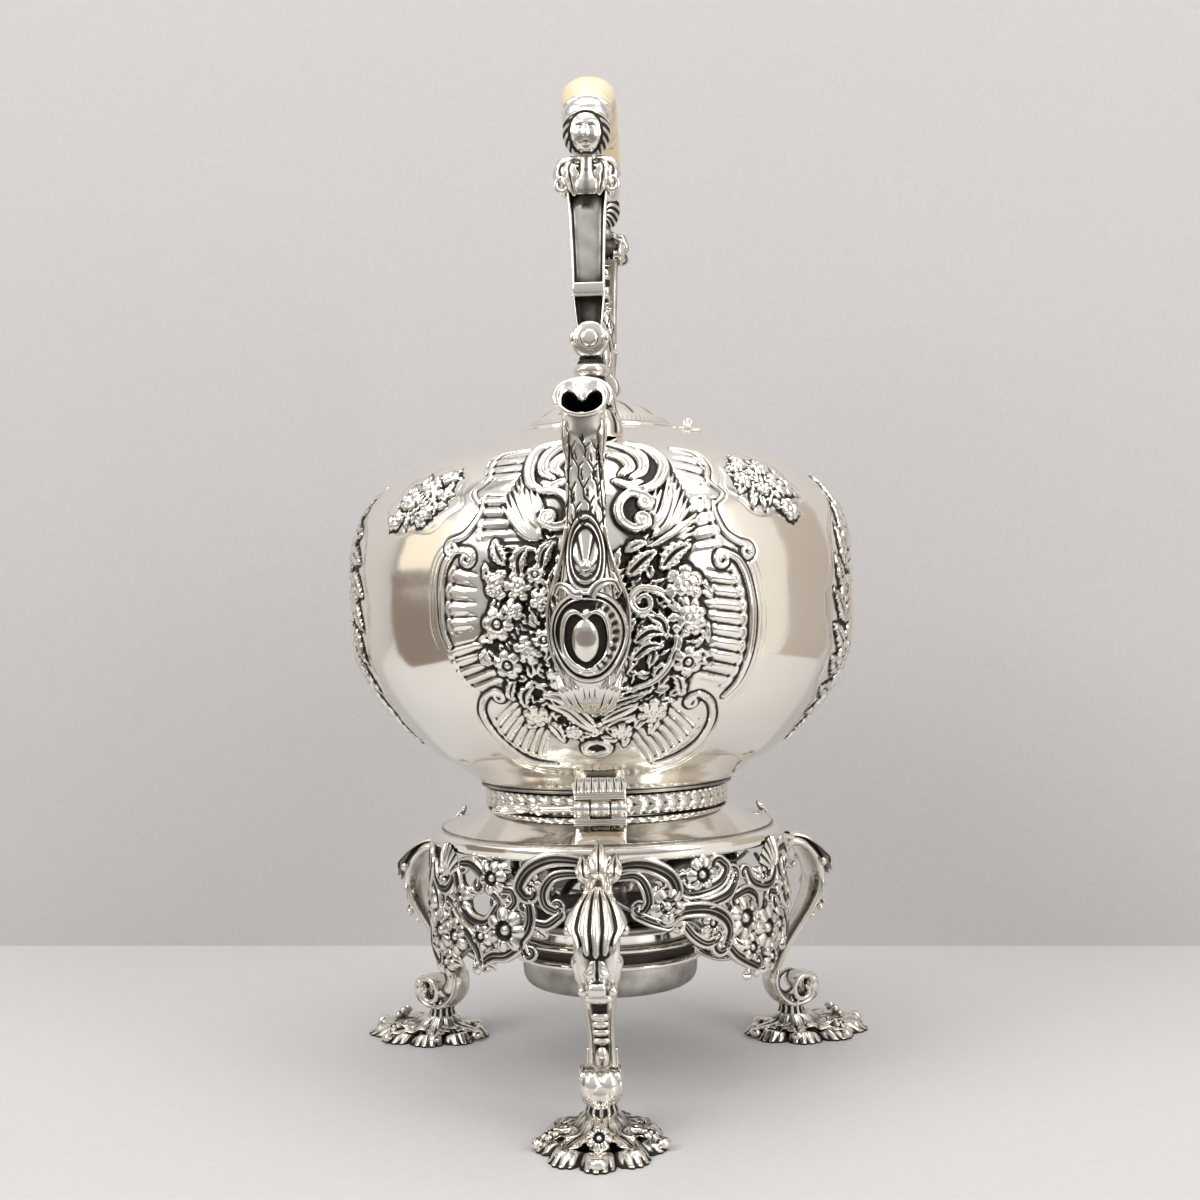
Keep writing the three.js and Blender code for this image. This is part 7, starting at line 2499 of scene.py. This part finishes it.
handle = {
    "pivot": (56.0, 278.0),
    "gripRun": (
        (46.5, 365.2), (38.4, 372.9), (23.4, 378.6), (0.0, 379.75), (-23.4, 378.6), (-38.4, 372.9),
        (-46.5, 365.2)
    ),
    # distance from the axis, height, half width, half depth
    "armLow": (
        (59.5, 277.0, 3.9, 1.6), (59.5, 284.0, 4.9, 1.9), (58.9, 291.0, 5.7, 2.3), (58.5, 294.6, 6.1, 2.8)
    ),
    "armHigh": (
        (57.9, 297.6, 5.9, 2.5), (57.2, 306.0, 6.1, 2.4), (56.4, 316.0, 6.5, 2.5), (55.4, 326.0, 7.0, 2.7),
        (54.0, 334.0, 7.6, 3.0)
    ),
}


# A strap with raised edges and a low floor, dark in the corners beside the edges, with ends that darken
# as a bell curve of the share of the length.
def tray(run, steps, floor=-0.2, base=0.0, sides=9):
    rows = smoothPath(run, steps)
    x = np.concatenate([[-1, -1, -0.93, -0.86, -0.8], np.linspace(-0.7, 0.7, sides), [0.8, 0.86, 0.93, 1, 1]])
    face = np.concatenate([
        [0.2, 0.75, 0.95, 0.75, floor + 0.25], np.full(sides, floor), [floor + 0.25, 0.75, 0.95, 0.75, 0.2]
    ])
    face[5:-5] += 0.12 * (1 - np.linspace(-1, 1, sides) ** 2)
    under = np.linspace(1, -1, 9)
    loop = np.concatenate([np.stack([x, face], 1), np.stack([under * 0.96, -0.9 - 0.1 * (1 - under**2)], 1)])
    # The underside carries painted shade of 0.3.
    dark = np.concatenate([
        [0.3, 0.05, 0.0, 0.25, 1.0], 0.22 + 0.12 * np.abs(np.linspace(-1, 1, sides)) ** 3,
        [1.0, 0.25, 0.0, 0.05, 0.3], np.full(9, 0.3)
    ])
    path = np.stack([np.zeros(steps), -rows[:, 0], rows[:, 1]], axis=1)
    points = sweep(path, rows[:, 2], rows[:, 3], (0, -1, 0), loop)
    share = np.concatenate([[0], np.linspace(0, 1, steps), [1]])[:, None]
    ends = 0.25 * (np.exp(-((share / 0.1) ** 2)) + hump(1, share, 0.1))
    points[:, 5:-14, 1] += 0.3 * np.sin(17 * share + 2.4 * x[5:-5]) * np.sin(7 * share + 1)
    shades = np.broadcast_to(dark, points.shape[:2]).copy()
    shades[:, 5:-14] = shades[:, 5:-14] + ends + base
    return tubeGrid(points, shades)


maskForm = {
    "middle": (52.0, 355.2),    # distance from the axis, height
    "half": (8.4, 7.3, 9.3),
    "tiltDegrees": 4,
}


# The mask is a ball raised and sunk by simple mounds: across goes from -1 to 1 between the temples, and
# rise from the chin at -1 to the crown at 1. The eyes lie half way up, the nose ends half way from the
# eyes to the chin, and the mouth lies a third of the way from the nose to the chin. The hair is parted in
# waves under a band.
def maskGrid():
    rows, cols = 116, 140
    polar = np.linspace(0.012, math.pi - 0.012, rows)[:, None]
    turn = np.linspace(-math.pi, math.pi, cols, endpoint=False)[None]
    x, y, z = np.sin(polar) * np.sin(turn), -np.sin(polar) * np.cos(turn), np.cos(polar) + 0 * turn
    front = smoothStep(0.15, 0.5, -y)
    a = x / 0.86
    b = z * 1.0

    def mound(atX, atY, wide, tall, power=2):
        return np.exp(-np.abs((a - atX) / wide) ** power - np.abs((b - atY) / tall) ** power)

    oval = np.hypot(a / 0.80, (b + 0.18) / 0.80)
    face = (1 - smoothStep(0.88, 1.02, oval)) * front
    rise = 0.0
    for side in (-1, 1):
        rise = (
            rise - 0.85 * mound(side * 0.33, -0.03, 0.19, 0.10)
            + 0.72 * mound(side * 0.33, -0.04, 0.12, 0.065)
        )
        rise = (
            rise + 0.42 * mound(side * 0.34, 0.135, 0.22, 0.05)
            + 0.35 * mound(side * 0.42, -0.36, 0.22, 0.20)
        )
        rise = rise + 0.34 * mound(side * 0.11, -0.335, 0.055, 0.05)
    nose = (
        np.exp(-((a / (0.075 + 0.05 * smoothStep(0.1, -0.33, b))) ** 2)) * smoothStep(0.16, -0.28, b)
        * (1 - smoothStep(-0.34, -0.42, b))
    )
    rise = (
        rise + 1.55 * nose + 0.42 * mound(0, -0.535, 0.20, 0.035) + 0.5 * mound(0, -0.625, 0.16, 0.042)
        - 0.4 * mound(0, -0.578, 0.21, 0.018)
    )
    rise = rise + 0.55 * mound(0, -0.84, 0.2, 0.1) + 0.12 * mound(0, 0.32, 0.5, 0.2)
    lines = 0.9 * mound(0, -0.578, 0.2, 0.020)
    for side in (-1, 1):
        lid = b + 0.035 + 1.2 * (a - side * 0.33) ** 2
        lines = lines + 0.9 * hump(lid, 0.075, 0.020) * hump(a, side * 0.33, 0.17, 4)
        lines = lines + 0.5 * np.exp(-(((lid + 0.03) / 0.020) ** 2)) * hump(a, side * 0.33, 0.13, 4)
        lines = (
            lines + 0.55 * mound(side * 0.17, -0.30, 0.03, 0.08)
            + 0.35 * mound(side * 0.16, 0.02, 0.04, 0.08)
        )
    hair = (1 - (1 - smoothStep(0.90, 1.04, oval)) * front) * smoothStep(-0.95, -0.7, b)
    part = np.arctan2(a, b + 0.35)
    wave = np.sin(20 * part + 5.0 * np.sin(3.2 * np.hypot(a, b)) * np.sign(a))
    band = np.exp(-np.abs((b - 0.70 + 0.28 * a**2) / 0.105) ** 4)
    rise = rise * face + hair * (0.75 + 0.22 * wave) * (1 - band) + band * 1.25
    bandEdge = hump(np.abs(b - 0.70 + 0.28 * a**2), 0.125, 0.022)
    dark = lines * face + hair * (1 - band) * (0.42 - 0.42 * wave) + 0.9 * bandEdge
    dark = dark + 0.9 * hump(oval, 1.0, 0.05) * front * (1 - band)
    half = np.array(maskForm["half"])
    points = np.stack([x, y, z], axis=-1) * (half + rise[..., None] * 0.55)
    lean = math.radians(maskForm["tiltDegrees"])
    spin = np.array([[1, 0, 0], [0, math.cos(lean), math.sin(lean)], [0, -math.sin(lean), math.cos(lean)]])
    rho, high = maskForm["middle"]
    return tubeGrid(points @ spin.T + np.array([0, -rho, high]), np.clip(dark, 0, 1))


# A turned button on the side of the arm.
def knob(side):
    profile = [
        (0, 0.02), (0, 2.6), (0.7, 3.4), (1.3, 2.6), (1.9, 2.5), (2.6, 4.4), (3.4, 4.9), (4.1, 4.4),
        (4.5, 3.4), (4.7, 3.3), (5.0, 2.6), (5.2, 1.2), (5.25, 0.02)
    ]
    made = turnedAlong(smoothPath(profile, 60), (side * 5.2, -53.2, 336.0), (side, 0, 0), 40)
    return tubeGrid(made, 0.12)


# On each side two leaves, a knob and a curl, and in the middle a tongue over a bead.
def collarGrids():
    grids = []
    for side in (-1, 1):
        for x, low, wide, depth in ((8.2, 332.0, 3.0, 56.0), (5.0, 330.4, 3.2, 57.6)):
            path = [
                (side * 3.6, -54.6, 345.0), (side * (x + 1.0), -depth, 341.4),
                (side * (x + 0.7), -depth - 1.0, 337.0), (side * (x - 0.6), -depth - 0.8, low)
            ]
            grids.append(castLeaf(path, wide, (side * 0.45, -1, 0), veins=4, height=1.2, thickness=1.8))
        grids.append(knob(side))
        curl = spiralPoints((side * 8.8, 334.4), 3.0, 0.9, 90, -side * 380, 36)
        path = np.stack([curl[:, 0], np.full(36, -56.8), curl[:, 1]], axis=1)
        grids.append(strap(path, 0.8, 0.9, (0, -1, 0), 0.0, 8))
    tongue = [(0, -56.0, 344.6), (0, -57.4, 341.6), (0, -59.0, 337.0), (0, -60.0, 333.0), (0, -59.4, 330.6)]
    path = smoothPath(tongue, 36)
    width = np.interp(np.linspace(0, 1, 36), [0, 0.15, 0.5, 0.8, 1], [2.4, 2.1, 2.6, 4.4, 3.6])
    grids.append(
        strap(
            path, width, np.interp(np.linspace(0, 1, 36), [0, 0.7, 1], [1.2, 1.5, 1.2]), (0, -1, 0), 0.25,
            12
        )
    )
    grids.append(bead((0, -53.0, 338.6), (7.6, 4.2, 6.4), (0, -1, 0), dark=0.45))
    return grids


# The pointed scales on the inner side of the arm lie on a swelling; small scrolls fill the space above it.
def innerGrids():
    rows, cols = 90, 72
    polar = np.linspace(0.02, math.pi - 0.02, rows)[:, None]
    turn = fullCircle(cols)[None]
    z = np.cos(polar)
    u, v = turn * 8 / fullTurn, (1 - polar / math.pi) * 9
    row = np.floor(v)
    cell = (u + 0.5 * (row % 2)) % 1.0 - 0.5
    tip = v - row
    edge = np.abs(cell) * 2 - (1 - tip) ** 0.7
    gaps = np.exp(-((edge / 0.13) ** 2)) + 0.8 * np.exp(-((cell / 0.05) ** 2)) * (tip < 0.7)
    rise = 0.35 * (1 - tip) - 0.25 * gaps
    radius = np.sin(polar) + 0 * turn
    points = np.stack(
        [(5.6 * radius + rise) * np.sin(turn), -(4.4 * radius + rise) * np.cos(turn), 13.0 * z + 0 * turn],
        axis=-1
    )
    grids = [tubeGrid(points + np.array([0, -51.2, 300.6]), np.clip(gaps, 0, 1))]
    for centre, radius, first, sweepTurn in (
        ((50.2, 318.0), 4.0, -90, 420), ((49.6, 327.0), 3.4, 90, -420), ((52.0, 311.8), 2.6, 180, 380)
    ):
        curl = spiralPoints(centre, radius, radius * 0.3, first, sweepTurn, 44)
        path = np.stack([np.zeros(44), -curl[:, 0], curl[:, 1]], axis=1)
        grids.append(
            strap(
                path, np.linspace(4.4, 2.8, 44), 0.9, path - np.array([0, -centre[0], centre[1]]), 0.0, 10,
                0.15
            )
        )
    grids.append(bead((0, -51.2, 322.6), (3.6, 9.5, 2.4), (0, -1, 0), dark=0.6))
    return grids


# Both trays of the arm, the pivot's lug, the small plinth, beads, the collar, the inner side and the head.
def armGrids():
    rho, high = handle["pivot"]
    grids = [tray(handle["armLow"], 30, -0.55, 0.22), tray(handle["armHigh"], 60, -0.25)]
    profile = [
        (0, 0.02), (0, 4.6), (0.4, 6.0), (1.2, 6.75), (1.9, 6.6), (2.6, 5.9), (3.2, 4.4), (3.4, 3.4),
        (3.4, 3.3)
    ]
    lug = turnedAlong(smoothPath(profile, 40), (0, -rho - 2.1, high), (0, -1, 0), 64)
    grids.append(tubeGrid(lug, 0.0))
    grids.append(plate((-5.9, -61.3, 294.0), (5.9, -55.6, 298.2), 0.7))
    grids.append(plate((-6.3, -61.0, 293.2), (6.3, -55.9, 294.0), 0.3))
    for side in (-1, 1):
        grids.append(bead((side * 6.0, -61.8, high), (1.35, 2.3, 1.4), (0, -1, 0)))
    grids.append(bead((0, -51.0, 344.6), (5.4, 4.2, 3.4), dark=0.3))
    grids.append(bead((0, -48.8, 362.4), (9.2, 7.2, 7.4), (0, -1, -0.1), sides=44))
    return grids + collarGrids() + innerGrids() + [maskGrid()]


# A turned foot whose radius sinks between ten petals and swells at 24 reeds, with the eye of the pivot
# above it and five leaves round it.
def socketGrids():
    rho, high = handle["pivot"]
    profile = smoothPath([
        (0.05, 243.0), (10.6, 241.8), (11.7, 243.4), (11.6, 246.6), (10.6, 249.4), (9.2, 251.6),
        (7.7, 252.9), (7.3, 254.4), (8.0, 256.4),
        (7.9, 258.2), (7.0, 260.0), (6.9, 261.0), (5.6, 262.6), (5.0, 264.0), (5.9, 265.2), (6.5, 266.4),
        (6.2, 268.0), (4.9, 269.2), (4.2, 270.6), (0.05, 271.0),
    ], 130)
    points = revolved(profile, 96, 0, -rho)
    angle = fullCircle(96)[None]
    z = profile[:, 1][:, None]
    petal = np.abs(np.cos(5 * angle)) ** 0.6
    skirt = smoothStep(242.0, 244.0, z) * (1 - smoothStep(250.5, 252.5, z))
    reed = np.abs(np.cos(12 * angle)) ** 0.7 * hump(z, 257.0, 1.6, 4)
    away = points - np.array([0, -rho, 0])
    away[..., 2] = 0
    points = points + away * (0.07 * reed - 0.13 * skirt * (1 - petal))[..., None]
    dark = 0.85 * skirt * (1 - petal) ** 1.2 + 0.5 * (reed < 0.6) * hump(z, 257.0, 1.8, 4)
    dark = dark + 0.9 * hump(z, 263.4, 1.1) + 0.8 * hump(z, 253.6, 0.8) + 0.8 * smoothStep(268.4, 269.4, z)
    grids = [tubeGrid(points, np.clip(dark, 0, 1))]
    profile = [(0, 0.02), (0, 5.6), (0.5, 6.4), (1.2, 6.8), (2.2, 6.8), (2.9, 6.4), (3.4, 5.6), (3.4, 0.02)]
    grids.append(tubeGrid(turnedAlong(profile, (0, -rho + 1.7, high), (0, -1, 0), 56), 0.3))
    grids.append(bead((0, -rho, 271.4), (4.2, 1.75, 2.4), dark=0.7))
    for turn in (0, 72, 144, 216, 288):
        way = np.array([math.sin(math.radians(turn)), -math.cos(math.radians(turn)), 0])
        middle = np.array([0, -rho, 0])
        path = [
            middle + way * 5.4 + (0, 0, 262.0), middle + way * 8.0 + (0, 0, 257.4),
            middle + way * 9.2 + (0, 0, 252.0), middle + way * 11.4 + (0, 0, 247.6)
        ]
        grids.append(
            castLeaf(
                path, 2.7, way + np.array([0, 0, 0.2]), veins=4, height=0.7, thickness=0.8, rows=26, cols=11
            )
        )
    return grids


# The pivot is a turned pin with a low round head, along y.
def pinGrids():
    rho, high = handle["pivot"]
    profile = [
        (0, 0.02), (0, 2.7), (0.3, 2.85), (7.3, 2.85), (7.4, 3.1), (8.0, 3.1), (8.5, 2.6), (8.7, 1.4),
        (8.72, 0.02)
    ]
    return [tubeGrid(turnedAlong(profile, (0, -rho + 1.72, high), (0, -1, 0), 40), 0.0)]


# The ferrule is a short oval tube round the grip's end, with a bead at each edge.
def ferruleGrids():
    rows = smoothPath([(p[0], p[1]) for p in handle["gripRun"]], 181)
    end, way = rows[0], unit(rows[0] - rows[1])
    profile = [
        (0.25, 0.0), (0.25, 0.5), (0.25, 0.9), (0.35, 0.96), (0.7, 0.98), (1.1, 0.955), (1.5, 0.955),
        (1.9, 0.98), (2.3, 0.96), (2.5, 0.88), (2.5, 0.5), (2.5, 0.0)
    ]
    path = np.array([[0, -(end[0] + way[0] * d), end[1] + way[1] * d] for d, _ in profile])
    size = np.array([s for _, s in profile])
    flat = np.array([0, -way[0], way[1]])
    out = np.cross(np.array([1.0, 0, 0]), flat)
    loop = roundSection(64)
    points = (
        path[:, None] + np.array([1.0, 0, 0]) * (loop[None, :, :1] * (size * 9.6)[:, None, None])
        + out * (loop[None, :, 1:] * (size * 7.2)[:, None, None])
    )
    return [tubeGrid(points, 0.3 * (size < 0.957)[:, None] * (size > 0.9)[:, None])]


# Ellipses along the curved run, smaller by up to 12 percent near both ends and rounded off there by
# rings of 0, 50, 80 and 95 percent.
def gripGrid():
    rows = smoothPath([(p[0], p[1]) for p in handle["gripRun"]], 181)
    share = np.abs(np.linspace(-1, 1, 181))
    size = 1 - 0.12 * smoothStep(0.72, 1.0, share)
    path = np.stack([np.zeros(181), -rows[:, 0], rows[:, 1]], axis=1)
    loop = roundSection(96)
    end = np.array([0, 0.5, 0.8, 0.95])
    path = np.concatenate([
        np.repeat(path[:1], 4, axis=0) + np.outer([0, 0, 0.05, 0.2], path[1] - path[0]), path[1:-1],
        np.repeat(path[-1:], 4, axis=0) + np.outer([0.2, 0.05, 0, 0], path[-2] - path[-1])
    ])
    size = np.concatenate([size[:1] * end, size[1:-1], size[-1:] * end[::-1]])
    along = unit(np.gradient(rows, axis=0))
    along = np.stack([np.zeros(181), -along[:, 0], along[:, 1]], axis=1)
    along = np.concatenate([np.repeat(along[:1], 4, axis=0), along[1:-1], np.repeat(along[-1:], 4, axis=0)])
    out = np.cross(np.array([1.0, 0, 0]), along)
    points = (
        path[:, None] + np.array([1.0, 0, 0]) * (loop[None, :, :1] * (size * 9.95)[:, None, None])
        + out[:, None] * (loop[None, :, 1:] * (size * 6.95)[:, None, None])
    )
    return tubeGrid(points, 0.0)


ivoryLook = {
    "light": (0.76, 0.65, 0.44),
    "deep": (0.58, 0.43, 0.22),
    "crack": (0.20, 0.11, 0.05),
    "grain": 34.0,
    "roughness": 0.28,
}


# Ivory: a warm ground that browns in soft clouds, with fine lines across the grip that a noise bends.
def ivoryMaterial():
    material, nodes, links, shader, _ = newMaterial("oldIvory")
    place = nodes.new("ShaderNodeTexCoord")
    cloud = nodes.new("ShaderNodeTexNoise")
    cloud.inputs["Scale"].default_value = ivoryLook["grain"]
    cloud.inputs["Detail"].default_value = 5
    links.new(place.outputs["Object"], cloud.inputs["Vector"])
    ground = nodes.new("ShaderNodeValToRGB")
    ground.color_ramp.elements[0].position = 0.36
    ground.color_ramp.elements[0].color = ivoryLook["deep"] + (1,)
    ground.color_ramp.elements[1].position = 0.58
    ground.color_ramp.elements[1].color = ivoryLook["light"] + (1,)
    links.new(cloud.outputs["Fac"], ground.inputs["Fac"])
    stretch = nodes.new("ShaderNodeMapping")
    stretch.inputs["Scale"].default_value = (45, 150, 45)
    links.new(place.outputs["Object"], stretch.inputs["Vector"])
    cracks = nodes.new("ShaderNodeTexVoronoi")
    cracks.feature = "DISTANCE_TO_EDGE"
    cracks.inputs["Scale"].default_value = 1.0
    links.new(stretch.outputs["Vector"], cracks.inputs["Vector"])
    thin = nodes.new("ShaderNodeMapRange")
    thin.inputs["From Min"].default_value = 0.0
    thin.inputs["From Max"].default_value = 0.022
    thin.inputs["To Min"].default_value = 1.0
    thin.inputs["To Max"].default_value = 0.0
    links.new(cracks.outputs["Distance"], thin.inputs["Value"])
    patch = nodes.new("ShaderNodeTexNoise")
    patch.inputs["Scale"].default_value = 70
    links.new(place.outputs["Object"], patch.inputs["Vector"])
    some = nodes.new("ShaderNodeMapRange")
    some.inputs["From Min"].default_value = 0.48
    some.inputs["From Max"].default_value = 0.60
    links.new(patch.outputs["Fac"], some.inputs["Value"])
    both = nodes.new("ShaderNodeMath")
    both.operation = "MULTIPLY"
    links.new(thin.outputs["Result"], both.inputs[0])
    links.new(some.outputs["Result"], both.inputs[1])
    mix = nodes.new("ShaderNodeMix")
    mix.data_type = "RGBA"
    links.new(both.outputs[0], mix.inputs["Factor"])
    links.new(ground.outputs["Color"], mix.inputs[6])
    mix.inputs[7].default_value = ivoryLook["crack"] + (1,)
    links.new(mix.outputs[2], shader.inputs["Base Color"])
    bump = nodes.new("ShaderNodeBump")
    bump.invert = True
    bump.inputs["Strength"].default_value = 0.4
    bump.inputs["Distance"].default_value = 0.0003
    links.new(both.outputs[0], bump.inputs["Height"])
    links.new(bump.outputs["Normal"], shader.inputs["Normal"])
    shader.inputs["Roughness"].default_value = ivoryLook["roughness"]
    shader.inputs["Subsurface Weight"].default_value = 0.12
    shader.inputs["Subsurface Radius"].default_value = (0.004, 0.0025, 0.0012)
    return material


# A fine wave along z gives the wick's colour and its bump.
def wickMaterial():
    material, nodes, links, shader, _ = newMaterial("cottonWick")
    place = nodes.new("ShaderNodeTexCoord")
    weave = nodes.new("ShaderNodeTexWave")
    weave.bands_direction = "Z"
    weave.inputs["Scale"].default_value = 900
    weave.inputs["Distortion"].default_value = 2
    links.new(place.outputs["Object"], weave.inputs["Vector"])
    char = nodes.new("ShaderNodeValToRGB")
    char.color_ramp.elements[0].color = (0.62, 0.56, 0.44, 1)
    char.color_ramp.elements[1].color = (0.80, 0.76, 0.66, 1)
    links.new(weave.outputs["Fac"], char.inputs["Fac"])
    links.new(char.outputs["Color"], shader.inputs["Base Color"])
    bump = nodes.new("ShaderNodeBump")
    bump.inputs["Strength"].default_value = 0.5
    bump.inputs["Distance"].default_value = 0.0003
    links.new(weave.outputs["Fac"], bump.inputs["Height"])
    links.new(bump.outputs["Normal"], shader.inputs["Normal"])
    shader.inputs["Roughness"].default_value = 0.9
    return material


# A turned wick with six strands that wind round it, each a cosine of 2 percent of the radius.
def wickGrid():
    profile = smoothPath(
        [(0.05, 35.4), (3.7, 35.6), (3.9, 38.0), (3.9, 66.0), (3.95, 69.6), (3.4, 70.4), (0.05, 70.5)], 90
    )
    points = revolved(profile, 48)
    angle = fullCircle(48)[None]
    strand = np.cos(6 * angle + profile[:, 1][:, None] * 0.55)
    points[..., :2] *= (1 + 0.02 * strand)[..., None] * 0.98
    return {"points": points, "wrapCols": True}


# Arm, socket, pin and ferrule are made once, and turned by 0 and 180 degrees.
def addHandle():
    arms, sockets, pins, ferrules = armGrids(), socketGrids(), pinGrids(), ferruleGrids()
    for place, degrees in (("front", 0), ("rear", 180)):
        makePiece(
            "castSocket" + place.title(), turnedGrids(sockets, degrees), cast, "kettle",
            ["handle_socket_" + place]
        )
        makePiece(
            "pivotPin" + place.title(), turnedGrids(pins, degrees), plain, "kettle",
            ["pivot_pin_" + place]
        )
        makePiece(
            "castArm" + place.title(), turnedGrids(arms, degrees), cast, "handle",
            ["handle_arm_" + place]
        )
        makePiece(
            "castFerrule" + place.title(), turnedGrids(ferrules, degrees), plain, "handle",
            ["ferrule_" + place]
        )
    makePiece("ivoryGrip", [gripGrid()], ivoryMaterial(), "handle", ["grip"])
    makePiece("cottonWick", [wickGrid()], wickMaterial(), "lamp", ["wick"])


addHandle()
print("handle and wick are made")
